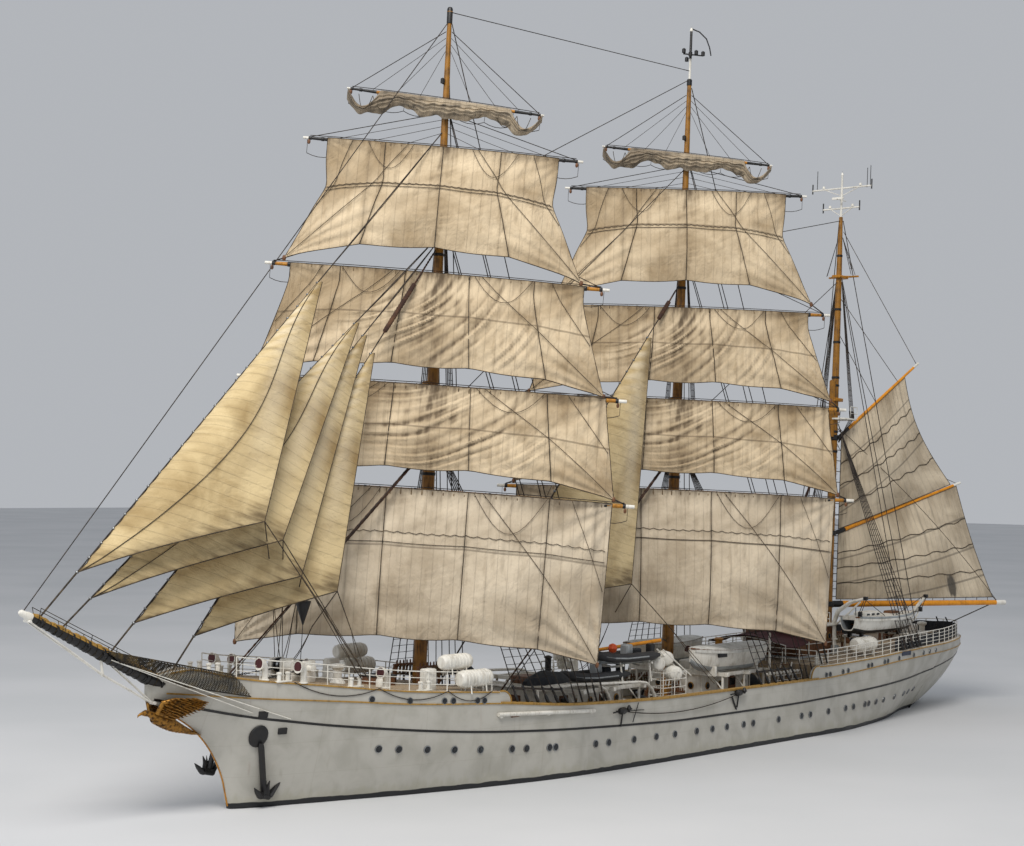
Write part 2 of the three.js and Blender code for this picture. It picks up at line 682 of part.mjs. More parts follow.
// A raked mast in its own frame, with its platform and crosstrees
function mast(sizes) {
  const { top, trees } = sizes;
  const radii = mastTaper(sizes);
  const profile = [[0, radii[0][1]], ...radii, [0, radii.at(-1)[1]]];
  const spar = turned(profile, 12);
  const platform = box(-1.3, 0.55, -1.35, 1.35, top, top + 0.12);
  const lowCap = box(-0.55, 0.5, -0.4, 0.4, top + 1.4, top + 1.65);
  const spreader = box(-0.75, -0.6, -1.3, 1.3, trees, trees + 0.12);
  const carrier = box(-0.8, 0.45, -0.34, 0.34, trees - 0.1, trees + 0.1);
  return join([spar, platform, lowCap, spreader, carrier]);
}

// Radius of a mast at height z
function mastRadius(sizes, z) {
  const radii = mastTaper(sizes);
  const i = Math.min(Math.max(radii.findIndex((row) => row[1] >= z), 1), radii.length - 1);
  const [low, high] = [radii[i - 1], radii[i]];
  return low[0] + ((high[0] - low[0]) * (z - low[1])) / (high[1] - low[1]);
}

function mastX(name, z) {
  return MASTS[name].x - Math.tan(RAKE) * z;
}

// The ring by which a yard, boom or gaff turns round its mast
function collar(mastSizes, z, height) {
  const inner = (mastRadius(mastSizes, z - height) + SEAT) / Math.cos(Math.PI / COLLAR_SIDES);
  const outer = inner + 0.1;
  const section = [[inner, z - height], [outer, z - height], [outer, z + height], [inner, z + height]];
  return { ring: turned([...section, section[0]], COLLAR_SIDES), outer };
}

// A collar with an arm that reaches forward to the yard
function truss(mastSizes, z, offset) {
  const { ring, outer } = collar(mastSizes, z, 0.16);
  return ring.add(box(outer - 0.05, offset, -0.1, 0.1, z - 0.1, z + 0.1));
}

// A yard along Y with its middle at the origin
function yardSpar({ length, radius }) {
  const half = length / 2;
  const taper = [
    [0, -half], [radius * 0.42, -half], [radius * 0.85, -half * 0.5], [radius, 0],
    [radius * 0.85, half * 0.5], [radius * 0.42, half], [0, half],
  ];
  const geometry = new THREE.LatheGeometry(taper.map(([r, y]) => new THREE.Vector2(r * M, y * M)), 8);
  return solid(geometry);
}

function tilted(body, degrees, offset, z) {
  return body.rotate([-degrees, 0, 0]).translate([offset * M, 0, z * M]);
}

// A thin sheet over a grid; point(u, v) gives its middle surface, thickened along a direction
function sheet([columns, rows], point, direction) {
  const positions = [];
  for (const face of [0.5, -0.5]) {
    for (let j = 0; j <= rows; j += 1) {
      for (let i = 0; i <= columns; i += 1) {
        const p = point(i / columns, j / rows);
        positions.push(...p.map((value, k) => (value + direction[k] * SAIL_THICKNESS * face) * M));
      }
    }
  }
  const index = [];
  const back = (columns + 1) * (rows + 1);
  const id = (i, j) => j * (columns + 1) + i;
  for (let j = 0; j < rows; j += 1) {
    for (let i = 0; i < columns; i += 1) {
      const [a, b, c, d] = [id(i, j), id(i + 1, j), id(i + 1, j + 1), id(i, j + 1)];
      index.push(a, b, c, a, c, d);
      index.push(back + a, back + c, back + b, back + a, back + d, back + c);
    }
  }
  const rim = [];
  for (let i = 0; i < columns; i += 1) {
    rim.push(id(i, 0));
  }
  for (let j = 0; j < rows; j += 1) {
    rim.push(id(columns, j));
  }
  for (let i = columns; i > 0; i -= 1) {
    rim.push(id(i, rows));
  }
  for (let j = rows; j > 0; j -= 1) {
    rim.push(id(0, j));
  }
  rim.forEach((here, k) => {
    const next = rim[(k + 1) % rim.length];
    index.push(here, back + here, back + next, here, back + next, next);
  });
  const geometry = new THREE.BufferGeometry();
  geometry.setAttribute("position", new THREE.BufferAttribute(new Float32Array(positions), 3));
  geometry.setIndex(index);
  return solid(geometry);
}

// Radius of a yard at a distance from its middle
function yardRadius({ length, radius }, y) {
  const share = Math.abs(y) / (length / 2);
  return radius * (share < 0.5 ? 1 - 0.3 * share : 0.85 - 0.86 * (share - 0.5));
}

// A square sail below a yard whose middle is the origin
function squareSail({ head, foot, arch, belly, lead }, drop, yard) {
  const point = (across, down) => {
    const u = across * 2 - 1;
    const half = head + (foot - head) * down;
    const top = -(yardRadius(yard, u * half) + HEAD_GAP);
    const reach = drop - arch * (1 - Math.abs(u) ** 3);
    const curve = belly * Math.sin(0.68 * Math.PI * down) * (1 - u * u);
    return [lead * down + curve, u * half, top + (reach + top) * -down];
  };
  return sheet(SQUARE_SAIL_CELLS, point, [1, 0, 0]);
}

// The clewed-up royal: folds that hang under the yard
function royalFolds({ length, radius }) {
  const mirrored = ROYAL_FOLDS.slice(1).reverse().map((row) => ({ ...row, share: -row.share }));
  const rings = [...mirrored, ...ROYAL_FOLDS].map(({ share, depth }) => {
    const y = (share * length) / 2;
    const low = -radius * 0.5 - depth;
    const mid = -radius * 0.5 - depth * 0.55;
    return [[-0.12, y, 0], [-0.1, y, mid], [0.05, y, low], [0.3, y, mid], [0.12, y, 0]];
  });
  return loft(rings);
}

// A triangular sail on its stay
function staysail({ foot, head, cloth, clew }) {
  const low = new THREE.Vector3(foot[0], 0, foot[1]);
  const high = new THREE.Vector3(head[0], 0, head[1]);
  const [tackPoint, peakPoint] = cloth.map((share) => low.clone().lerp(high, share));
  const clewPoint = new THREE.Vector3(...clew);
  const face = tackPoint.clone().sub(peakPoint).cross(clewPoint.clone().sub(peakPoint)).normalize();
  const lee = face.y < 0 ? face.negate() : face;
  const depth = 0.06 * clewPoint.distanceTo(peakPoint);
  const point = (toClew, up) => {
    const width = 1 - up * 0.985;
    const luff = tackPoint.clone().lerp(peakPoint, up);
    const leech = clewPoint.clone().lerp(peakPoint, up);
    const p = luff.clone().lerp(leech, toClew);
    const rounding = Math.sqrt(width) * (0.35 + 0.65 * Math.sin(Math.PI * up));
    const bulge = depth * Math.sin(Math.PI * toClew ** 0.8) * rounding;
    const hollow = 0.05 * Math.sin(Math.PI * toClew) * (1 - up);
    return p.addScaledVector(lee, bulge).add(new THREE.Vector3(0, 0, hollow)).toArray();
  };
  const short = (toClew, up) => point(toClew, up * 0.97);
  const stay = rod(low.toArray(), high.toArray(), STAY_RADIUS);
  return sheet(STAYSAIL_CELLS, short, lee.toArray()).add(stay);
}

function shrouds(name, side) {
  const { first, last, hounds, count } = SHROUDS[name];
  const onPoop = name === "mizzen";
  const place = (x) => {
    const half = at(HULL_SECTIONS, x, "half");
    const rail = at(HULL_SECTIONS, x, "rail");
    return { y: half - 0.11, z: rail + (onPoop ? at(POOP_STRAKE, x, "rise") : 0) + SEAT };
  };
  const board = along(first + 0.25, last - 0.25, (x) => {
    const { y, z } = place(x);
    return [
      [x, side * (y - 0.07), z], [x, side * (y + 0.07), z],
      [x, side * (y + 0.07), z + 0.1], [x, side * (y - 0.07), z + 0.1],
    ];
  });
  const mastY = mastRadius(MASTS[name], hounds) + SHROUD_RADIUS + SEAT * 2;
  const wires = Array.from({ length: count }, (_, i) => {
    const x = first + ((last - first) * i) / (count - 1);
    const { y, z } = place(x);
    const head = [mastX(name, hounds) - 0.05, side * mastY, hounds];
    return rod([x, side * y, z + 0.03], head, SHROUD_RADIUS, SHROUD_RADIUS, 5);
  });
  return join([board, ...wires]);
}

// Height of a boom's or gaff's middle line and its radius, at a distance aft of the mast
function sparAt({ z, reach, rise, heel, tip }, aft) {
  return { z: z + (rise * aft) / reach, radius: heel + ((tip - heel) * aft) / reach };
}

// A boom or gaff aft of the mast, in the mast's frame, with the jaws that turn round the mast
function spar({ z, reach, rise, heel, tip }) {
  const slope = Math.atan2(rise, reach);
  const start = mastRadius(MASTS.mizzen, z) + heel * Math.sin(slope) + 3 * SEAT;
  const { ring } = collar(MASTS.mizzen, z + start * Math.tan(slope), 0.2);
  const length = (reach - start) / Math.cos(slope);
  const bar = new THREE.CylinderGeometry(tip * M, heel * M, length * M, 8);
  bar.translate(0, (length / 2) * M, 0);
  bar.rotateZ(Math.PI / 2);
  bar.rotateY(slope);
  bar.translate(-start * M, 0, (z + start * Math.tan(slope)) * M);
  return ring.add(solid(bar));
}

// A four-sided sail aft of the mast, in the mast's frame, hung under its gaff
function spanker({ head, tack, clew, belly, gaff }) {
  const above = SPARS[gaff];
  const slope = Math.atan2(above.rise, above.reach);
  const point = (aft, up) => {
    const low = [tack[0] + (clew[0] - tack[0]) * aft, tack[1] + (clew[1] - tack[1]) * aft];
    const reach = head[0] + (head[1] - head[0]) * aft;
    const bar = sparAt(above, reach);
    const high = [reach, bar.z - (bar.radius + HEAD_GAP) / Math.cos(slope)];
    const rounding = 0.9 * Math.sin(Math.PI * up) + 0.25 * (1 - up);
    const bulge = belly * Math.sin(Math.PI * aft ** 0.8) * rounding;
    return [-(low[0] + (high[0] - low[0]) * up), bulge, low[1] + (high[1] - low[1]) * up];
  };
  return sheet(SPANKER_CELLS, point, [0, 1, 0]);
}

// A mast in the ship's frame, larger by grow, for cutting what meets it
function mastInShip(name, grow) {
  const radii = mastTaper(MASTS[name]).map(([r, z]) => [r + grow, z]);
  const spar = turned([[0, radii[0][1]], ...radii, [0, radii.at(-1)[1]]], 12);
  return spar.rotate([0, -THREE.MathUtils.radToDeg(RAKE), 0]).translate([MASTS[name].x * M, 0, 0]);
}

function propeller() {
  const { x, z, radius, hub, length, blades } = PROPELLER;
  const blade = new THREE.BoxGeometry(BLADE.thickness * M, BLADE.width * M, (radius - 0.1) * M);
  blade.rotateZ(BLADE.pitch);
  blade.translate(0, 0, ((radius + 0.1) / 2) * M);
  const parts = Array.from({ length: blades }, (_, i) => {
    return solid(blade).rotate([(360 * i) / blades, 0, 0]).translate([x * M, 0, z * M]);
  });
  return join([rod([x + length / 2, 0, z], [x - length / 2, 0, z], hub, hub * 0.6, 12), ...parts]);
}

function rudder() {
  const { x, front, back, bottom, top, thickness } = RUDDER;
  const half = thickness / 2;
  const ring = (z, shorter) => [
    [front, 0, z], [x, half, z], [back + shorter, 0.05, z], [back + shorter, -0.05, z], [x, -half, z],
  ];
  const blade = loft([ring(bottom, 0.25), ring(bottom + 0.8, 0), ring(top, 0.3)]);
  const under = at(HULL_SECTIONS, x, "bottom");
  const stock = rod([x, 0, top - 0.2], [x, 0, under - 0.07], 0.16, 0.16, 10);
  const pintle = rod([x, 0, bottom + 0.1], [x, 0, KEEL_Z + SKEG_DEPTH + SEAT], 0.1, 0.1, 10);
  return join([blade, stock, pintle]);
}

const ship = new THREE.Group();

ship.add(
  piece("hull", hull(), paint.white),
  piece("forecastle", strake(FORECASTLE_STRAKE), paint.white),
  piece("poop", poop(), paint.white),
  piece("bulwark_port", bulwark(1), paint.white),
  piece("bulwark_starboard", bulwark(-1), paint.white),
  piece("bowsprit", bowsprit(), paint.black),
  piece("martingale", martingale(), paint.white),
  piece("figurehead", figurehead(), paint.gilt),
  piece("anchor_port", anchor(1), paint.black),
  piece("anchor_starboard", anchor(-1), paint.black),
  piece("windlass", windlass(), paint.white),
  piece("fore_house", house(HOUSES.fore_house), paint.white),
  piece("main_house", house(HOUSES.main_house), paint.white),
  piece("cutter_port", cutter(1), paint.white),
  piece("cutter_starboard", cutter(-1), paint.white),
  piece("work_boat", workBoat(), paint.rubber),
  piece("launch_port", launch(1), paint.white),
  piece("launch_starboard", launch(-1), paint.white),
  piece("rudder", rudder(), paint.black),
  piece("propeller", propeller(), paint.bronze),
);

// Masts stand in groups that lean aft; what turns round a mast is in a group inside
for (const name of Object.keys(MASTS)) {
  const leaning = new THREE.Group();
  leaning.position.set(MASTS[name].x * M, 0, 0);
  leaning.rotation.y = -RAKE;
  leaning.add(piece(`${name}_mast`, mast(MASTS[name]), paint.ochre));
  ship.add(leaning);
  const turning = new THREE.Group();
  leaning.add(turning);
  for (const side of [1, -1]) {
    const label = side > 0 ? "port" : "starboard";
    ship.add(piece(`${name}_shrouds_${label}`, shrouds(name, side), paint.wire));
  }
  if (name === "mizzen") {
    turning.rotation.z = -SPANKER_SWING;
    for (const [label, sizes] of Object.entries(SPARS)) {
      turning.add(piece(label, spar(sizes), paint.ochre));
    }
    for (const [label, sizes] of Object.entries(SPANKERS)) {
      turning.add(piece(label, spanker(sizes), paint.canvas));
    }
    continue;
  }
  turning.rotation.z = BRACE;
  for (const yard of YARDS) {
    const { z, tilt, drop } = yard[name];
    const { spar: sizes } = yard;
    const sail = SQUARE_SAILS[yard.name];
    const bar = sail ? yardSpar(sizes) : yardSpar(sizes).add(royalFolds(sizes));
    const placed = tilted(bar, tilt, sizes.offset, z).add(truss(MASTS[name], z, sizes.offset));
    turning.add(piece(`${name}_${yard.name}_yard`, placed, paint.ochre));
    if (sail) {
      const cloth = tilted(squareSail(sail, drop, sizes), tilt, sizes.offset, z);
      turning.add(piece(`${name}_${yard.name}`, cloth, paint.canvas));
    }
  }
}

// Stays end at a mast above, and at the hull, a deck, the bowsprit or another mast below
const stayEnds = [
  ...Object.keys(MASTS).map((name) => mastInShip(name, SEAT)),
  bowspritSpar(SEAT),
  hullSolid(SEAT),
  strake(FORECASTLE_STRAKE, SEAT),
];

for (const [name, { foot, head }] of Object.entries(STAYS)) {
  const wire = rod([foot[0], 0, foot[1]], [head[0], 0, head[1]], WRAPPED_STAY_RADIUS);
  ship.add(piece(name, seated(wire, ...stayEnds), paint.wire));
}

for (const [name, sizes] of Object.entries(STAYSAILS)) {
  ship.add(piece(name, seated(staysail(sizes), ...stayEnds), paint.canvas));
}

export default ship;
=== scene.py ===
"""Looks of a three-masted barque under sail, over its packed 1:10 model.

Sizes are written in metres of the full-size ship and scaled by METRE when a mesh is made.
+X points to the bow, +Y to port, +Z up, and the water is at height 0.
"""

from __future__ import annotations

import logging
import math
from dataclasses import dataclass
from enum import Enum
from typing import Callable, Iterable, Sequence

import bpy
import numpy as np
from mathutils import Matrix, Vector

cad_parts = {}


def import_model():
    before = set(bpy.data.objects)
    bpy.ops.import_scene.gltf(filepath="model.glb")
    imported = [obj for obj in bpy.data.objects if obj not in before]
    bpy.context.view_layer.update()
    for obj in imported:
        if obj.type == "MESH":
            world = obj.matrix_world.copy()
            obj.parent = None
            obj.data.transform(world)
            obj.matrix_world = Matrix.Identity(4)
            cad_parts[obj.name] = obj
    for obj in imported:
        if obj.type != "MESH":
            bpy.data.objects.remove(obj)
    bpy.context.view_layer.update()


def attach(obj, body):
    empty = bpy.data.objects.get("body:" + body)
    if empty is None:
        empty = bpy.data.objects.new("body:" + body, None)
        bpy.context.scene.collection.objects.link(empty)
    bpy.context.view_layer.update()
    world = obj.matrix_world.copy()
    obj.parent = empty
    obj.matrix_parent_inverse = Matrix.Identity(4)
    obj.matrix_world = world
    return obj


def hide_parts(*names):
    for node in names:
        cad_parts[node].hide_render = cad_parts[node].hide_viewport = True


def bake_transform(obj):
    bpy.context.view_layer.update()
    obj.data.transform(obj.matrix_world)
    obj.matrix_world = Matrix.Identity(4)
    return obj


log = logging.getLogger("barque")

METRE = 0.1
RAKE = math.radians(2.5)
BRACED = math.radians(43.0)
SWUNG = math.radians(-20.0)
PORT, STARBOARD = 1.0, -1.0

Point = Sequence[float]
Colour = tuple[float, float, float, float]


class Body(Enum):
    """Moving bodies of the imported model."""

    SHIP = "ship"
    FORE_YARDS = "fore_yards"
    MAIN_YARDS = "main_yards"
    SPANKER_GEAR = "spanker_gear"
    RUDDER = "rudder"
    PROPELLER = "propeller"


class Slot(Enum):
    """Material slots of the record."""

    WHITE = "white_paint"
    SPAR = "spar_paint"
    BLACK = "black_paint"
    GILT = "gilding"
    CANVAS = "canvas"
    WIRE = "rigging_wire"
    BRONZE = "bronze"
    RUBBER = "boat_rubber"


def tint(code: str) -> Colour:
    """Gives a colour as Blender's shaders want it.

    Args:
        code: six hexadecimal digits of a screen colour.

    Returns:
        Red, green, blue and alpha as linear light.
    """
    parts = [int(code[i : i + 2], 16) / 255 for i in (0, 2, 4)]
    linear = [c / 12.92 if c <= 0.04045 else ((c + 0.055) / 1.055) ** 2.4 for c in parts]
    return (linear[0], linear[1], linear[2], 1.0)


class Nodes:
    """Writes the nodes of one material in few words."""

    def __init__(self, name: str) -> None:
        """Starts an empty surface with one principled shader.

        Args:
            name: name of the material.
        """
        self.material = bpy.data.materials.new(name)
        self.material.use_nodes = True
        self.tree = self.material.node_tree
        self.shader = self.tree.nodes["Principled BSDF"]

    def add(self, kind: str, values: dict[int | str, object], **settings: object) -> bpy.types.Node:
        """Adds a node.

        Args:
            kind: type name of the node.
            values: input name or number with the value or socket that feeds it.
            settings: attributes of the node.

        Returns:
            The new node.
        """
        node = self.tree.nodes.new(kind)
        for key, value in settings.items():
            setattr(node, key, value)
        for key, value in values.items():
            self.feed(node.inputs[key], value)
        return node

    def feed(self, socket: bpy.types.NodeSocket, value: object) -> None:
        """Links a socket, or sets its value.

        Args:
            socket: the input.
            value: an output socket, a number or a colour.
        """
        if isinstance(value, bpy.types.NodeSocket):
            self.tree.links.new(value, socket)
        else:
            socket.default_value = value

    def surface(self, **values: object) -> None:
        """Feeds the shader; underscores in names stand for spaces.

        Args:
            values: shader input names with values or sockets.
        """
        for key, value in values.items():
            self.feed(self.shader.inputs[key.replace("_", " ")], value)

    def place(self, stretch: Point = (1, 1, 1), shift: Point = (0, 0, 0), source: str = "Object") -> object:
        """Gives coordinates in model metres, stretched along the axes.

        Args:
            stretch: scale along each axis.
            shift: how far the pattern is moved.
            source: name of the coordinates, Object or UV.

        Returns:
            The socket of the coordinates.
        """
        where = self.add("ShaderNodeTexCoord", {}).outputs[source]
        values = {"Vector": where, "Location": tuple(shift), "Scale": tuple(stretch)}
        return self.add("ShaderNodeMapping", values).outputs["Vector"]

    def noise(self, where: object, scale: float, detail: float = 3.0, warp: float = 0.0) -> object:
        """Gives a cloud of values between 0 and 1."""
        values = {"Vector": where, "Scale": scale, "Detail": detail, "Distortion": warp}
        return self.add("ShaderNodeTexNoise", values).outputs[0]

    def between(self, value: object, low: float, high: float, start: float = 0.0,
                end: float = 1.0) -> object:
        """Maps low..high onto start..end, smoothly and held at the ends."""
        values = {"Value": value, "From Min": low, "From Max": high, "To Min": start, "To Max": end}
        return self.add("ShaderNodeMapRange", values, interpolation_type="SMOOTHSTEP").outputs[0]

    def maths(self, operation: str, *values: object) -> object:
        """Gives the result of one operation on numbers."""
        return self.add("ShaderNodeMath", dict(enumerate(values)), operation=operation).outputs[0]

    def mix(self, share: object, first: object, second: object, way: str = "MIX") -> object:
        """Mixes two colours by a share."""
        values = {0: share, 6: first, 7: second}
        return self.add("ShaderNodeMix", values, data_type="RGBA", blend_type=way).outputs[2]

    def axis(self, where: object, name: str) -> object:
        """Gives one coordinate of a place."""
        return self.add("ShaderNodeSeparateXYZ", {0: where}).outputs[name]

    def lines(self, value: object, spacing: float, width: float) -> object:
        """Gives 1 on lines at a spacing along a coordinate and 0 between them.

        Args:
            value: the coordinate.
            spacing: distance between lines.
            width: width of a line.

        Returns:
            The mask.
        """
        wave = self.maths("PINGPONG", value, spacing / 2)
        return self.between(wave, width / 2, width / 4)

    def relief(self, height: object, distance: float, strength: float = 1.0) -> None:
        """Feeds bump to the shader.

        Args:
            height: values between 0 and 1.
            distance: model metres between 0 and 1.
            strength: share of the effect.
        """
        values = {"Height": height, "Distance": distance, "Strength": strength}
        self.surface(Normal=self.add("ShaderNodeBump", values).outputs[0])


@dataclass(frozen=True)
class Finish:
    """A named finish, drawn as one material the first time that it is asked for."""

    name: str

    def material(self) -> bpy.types.Material:
        """Gives the material of this finish.

        Returns:
            The material, the same one each time.
        """
        found = bpy.data.materials.get(self.name)
        if found is None:
            nodes = Nodes(self.name)
            self.draw(nodes)
            found = nodes.material
        return found

    def draw(self, nodes: Nodes) -> None:
        """Writes the material's nodes."""
        raise NotImplementedError


@dataclass(frozen=True)
class Paint(Finish):
    """Brushed sea paint: blotches, dirt that has run down, and a faintly uneven film."""

    colour: Colour
    dirt: Colour
    dirtiness: float = 0.4
    roughness: float = 0.5
    metal: float = 0.0
    grain: float = 14.0

    def draw(self, nodes: Nodes) -> None:
        """Writes the paint's nodes.

        Args:
            nodes: writer of the material's nodes.
        """
        blotch = nodes.noise(nodes.place(), self.grain, 5)
        runs = nodes.noise(nodes.place((80, 80, 7), (3, 1, 0)), 1, 3)
        dirty = nodes.between(nodes.maths("ADD", blotch, runs), 0.9, 1.35)
        share = nodes.maths("MULTIPLY", dirty, self.dirtiness)
        faded = tuple(c * 0.9 for c in self.colour[:3]) + (1,)
        pale = nodes.mix(nodes.between(blotch, 0.3, 0.7), self.colour, faded)
        nodes.surface(Base_Color=nodes.mix(share, pale, self.dirt), Metallic=self.metal)
        nodes.surface(Roughness=nodes.between(dirty, 0, 1, self.roughness, min(self.roughness + 0.2, 1)))
        nodes.relief(nodes.noise(nodes.place(), 420, 2), 0.0004, 0.5)


@dataclass(frozen=True)
class HullPaint(Finish):
    """White topsides with plate seams, rust runs, a stained waterline, boot-top and dull bottom paint."""

    white: Colour = tint("b8b5ac")
    shade: Colour = tint("a8a59b")
    run: Colour = tint("8a8270")
    rust: Colour = tint("7a4a24")
    scum: Colour = tint("a19d88")
    boot: Colour = tint("15161a")
    bottom: Colour = tint("5b2a22")
    # Heights and spacings in model metres
    boot_height: float = 0.032
    bottom_height: float = -0.006
    plate_length: float = 0.62
    plate_height: float = 0.17

    def draw(self, nodes: Nodes) -> None:
        """Writes the hull's nodes.

        Args:
            nodes: writer of the material's nodes.
        """
        where = nodes.place()
        height = nodes.axis(where, "Z")
        wide = nodes.noise(where, 7, 5, 0.4)
        colour = nodes.mix(nodes.between(wide, 0.35, 0.72), self.white, self.shade)
        runs = nodes.between(nodes.noise(nodes.place((34, 34, 2.2)), 1, 4), 0.58, 0.8, 0, 0.26)
        colour = nodes.mix(runs, colour, self.run)
        spots = nodes.between(nodes.noise(nodes.place((24, 24, 1.3), (9, 4, 2)), 1, 5), 0.66, 0.78)
        low = nodes.between(height, 0.34, 0.02, 0.12, 0.4)
        colour = nodes.mix(nodes.maths("MULTIPLY", spots, low), colour, self.rust)
        stain = nodes.noise(nodes.place((30, 30, 8)), 1, 4)
        ragged = nodes.maths("ADD", height, nodes.between(stain, 0.2, 0.8, -0.03, 0.03))
        colour = nodes.mix(nodes.between(ragged, 0.09, 0.03, 0, 0.4), colour, self.scum)
        seam_x = nodes.lines(nodes.axis(where, "X"), self.plate_length, 0.005)
        seam_z = nodes.lines(nodes.axis(where, "Z"), self.plate_height, 0.004)
        seams = nodes.maths("MAXIMUM", seam_x, seam_z)
        colour = nodes.mix(nodes.maths("MULTIPLY", seams, 0.16), colour, self.run)
        edge = nodes.maths("ADD", height, nodes.between(wide, 0.3, 0.7, -0.003, 0.003))
        boot, bottom = self.boot_height, self.bottom_height
        colour = nodes.mix(nodes.between(edge, boot, boot - 0.005), colour, self.boot)
        colour = nodes.mix(nodes.between(edge, bottom, bottom - 0.006), colour, self.bottom)
        nodes.surface(Base_Color=colour, Roughness=nodes.between(wide, 0.3, 0.7, 0.36, 0.52))
        dents = nodes.noise(nodes.place((16, 16, 9)), 1, 2)
        nodes.relief(nodes.maths("SUBTRACT", dents, nodes.maths("MULTIPLY", seams, 0.12)), 0.003, 0.4)


@dataclass(frozen=True)
class Planking(Finish):
    """Laid deck planks with dark caulking, greyed and trodden."""

    wood: Colour = tint("b39a76")
    grey: Colour = tint("8c8173")
    caulk: Colour = tint("26221e")
    plank: float = 0.013
    length: float = 0.62

    def draw(self, nodes: Nodes) -> None:
        """Writes the deck's nodes.

        Args:
            nodes: writer of the material's nodes.
        """
        where = nodes.place()
        across = nodes.axis(where, "Y")
        number = nodes.maths("FLOOR", nodes.maths("DIVIDE", across, self.plank))
        shift = nodes.maths("MULTIPLY", nodes.maths("FRACT", nodes.maths("MULTIPLY", number, 0.618)),
                            self.length)
        joint = nodes.lines(nodes.maths("ADD", nodes.axis(where, "X"), shift), self.length, 0.004)
        seam = nodes.lines(nodes.maths("ADD", across, self.plank / 2), self.plank, 0.0022)
        gaps = nodes.maths("MAXIMUM", seam, joint)
        tone = nodes.maths("FRACT", nodes.maths("MULTIPLY", nodes.maths("SINE", number), 43.7))
        grain = nodes.noise(nodes.place((6, 160, 6)), 1, 4)
        wear = nodes.maths("MULTIPLY_ADD", tone, 0.45, nodes.maths("MULTIPLY", grain, 0.6))
        colour = nodes.mix(nodes.between(wear, 0.15, 0.9), self.wood, self.grey)
        nodes.surface(Base_Color=nodes.mix(gaps, colour, self.caulk), Roughness=0.78)
        nodes.relief(nodes.maths("SUBTRACT", grain, gaps), 0.0008, 0.6)


@dataclass(frozen=True)
class SailCloth(Finish):
    """Old flax canvas: cloths sewn side by side, tablings, weather stains and soft creases.

    The UV map holds metres of the ship across and down from the head; the point attribute that is read
    below holds dirt and painted shade where it is above 0, and painted highlight where it is below 0.
    """

    light: Colour
    dark: Colour
    dirt: Colour = tint("6b6253")
    # Colour of the painted highlights on the crests of folds and scallops
    pale: Colour = tint("e8dcc4")
    cloth: float = 0.61
    bands: tuple[float, ...] = ()

    def draw(self, nodes: Nodes) -> None:
        """Writes the sail's nodes.

        Args:
            nodes: writer of the material's nodes.
        """
        flat = nodes.place(source="UV")
        across = nodes.axis(flat, "X")
        down = nodes.axis(flat, "Y")
        broad = nodes.noise(nodes.place((0.22, 0.3, 1), source="UV"), 1, 5, 0.6)
        fine = nodes.noise(nodes.place((2.6, 0.55, 1), (5, 2, 0), "UV"), 1, 5)
        colour = nodes.mix(nodes.between(broad, 0.3, 0.72), self.light, self.dark)
        colour = nodes.mix(nodes.between(fine, 0.5, 0.74, 0, 0.42), colour, self.dark)
        streak = nodes.noise(nodes.place((1.7, 0.1, 1), (3, 8, 0), "UV"), 1, 4)
        colour = nodes.mix(nodes.between(streak, 0.52, 0.78, 0, 0.34), colour, self.dirt)
        speck = nodes.noise(nodes.place((9, 7, 1), (2, 3, 0), "UV"), 1, 3)
        colour = nodes.mix(nodes.between(speck, 0.55, 0.8, 0, 0.22), colour, self.dark)
        width = nodes.maths("FLOOR", nodes.maths("DIVIDE", across, self.cloth))
        tone = nodes.maths("FRACT", nodes.maths("MULTIPLY", nodes.maths("SINE", width), 61.3))
        colour = nodes.mix(nodes.maths("MULTIPLY", tone, 0.16), colour, self.light)
        seam = nodes.lines(across, self.cloth, 0.06)
        marks = nodes.maths("MULTIPLY", seam, 0.15)
        for band in self.bands:
            line = nodes.maths("ABSOLUTE", nodes.maths("SUBTRACT", down, band))
            marks = nodes.maths("MAXIMUM", marks, nodes.between(line, 0.08, 0.04, 0, 0.5))
        colour = nodes.mix(marks, colour, self.dirt)
        grime = nodes.add("ShaderNodeAttribute", {}, attribute_name="grime").outputs["Fac"]
        ragged = nodes.maths("MULTIPLY", grime, nodes.between(fine, 0.2, 0.75, 0.35, 1.15))
        # Above 0: dirt, and painted shade in the hollows of folds
        colour = nodes.mix(nodes.between(ragged, 0.02, 1.0, 0, 0.9), colour, self.dirt)
        # Below 0: painted highlight, towards the pale colour
        colour = nodes.mix(nodes.between(grime, -0.02, -0.8, 0, 0.85), colour, self.pale)
        nodes.surface(Base_Color=colour, Roughness=0.92, Sheen_Weight=0.12, Sheen_Roughness=0.6)
        crease = nodes.noise(nodes.place((0.9, 0.5, 1), (1, 7, 0), "UV"), 1, 4, 2.2)
        small = nodes.noise(nodes.place((3.2, 2.0, 1), source="UV"), 1, 3, 1.2)
        height = nodes.maths("MULTIPLY_ADD", small, 0.3, crease)
        height = nodes.maths("MULTIPLY_ADD", seam, 0.1, height)
        nodes.relief(height, 0.016, 0.75)


@dataclass(frozen=True)
class Rope(Finish):
    """Tarred or bare rope and served wire."""

    colour: Colour
    pale: Colour
    roughness: float = 0.85

    def draw(self, nodes: Nodes) -> None:
        """Writes the rope's nodes.

        Args:
            nodes: writer of the material's nodes.
        """
        patch = nodes.noise(nodes.place(), 26, 4)
        lay = nodes.noise(nodes.place((700, 700, 350)), 1, 1)
        nodes.surface(Base_Color=nodes.mix(nodes.between(patch, 0.4, 0.75), self.colour, self.pale))
        nodes.surface(Roughness=self.roughness)
        nodes.relief(lay, 0.0008, 0.6)


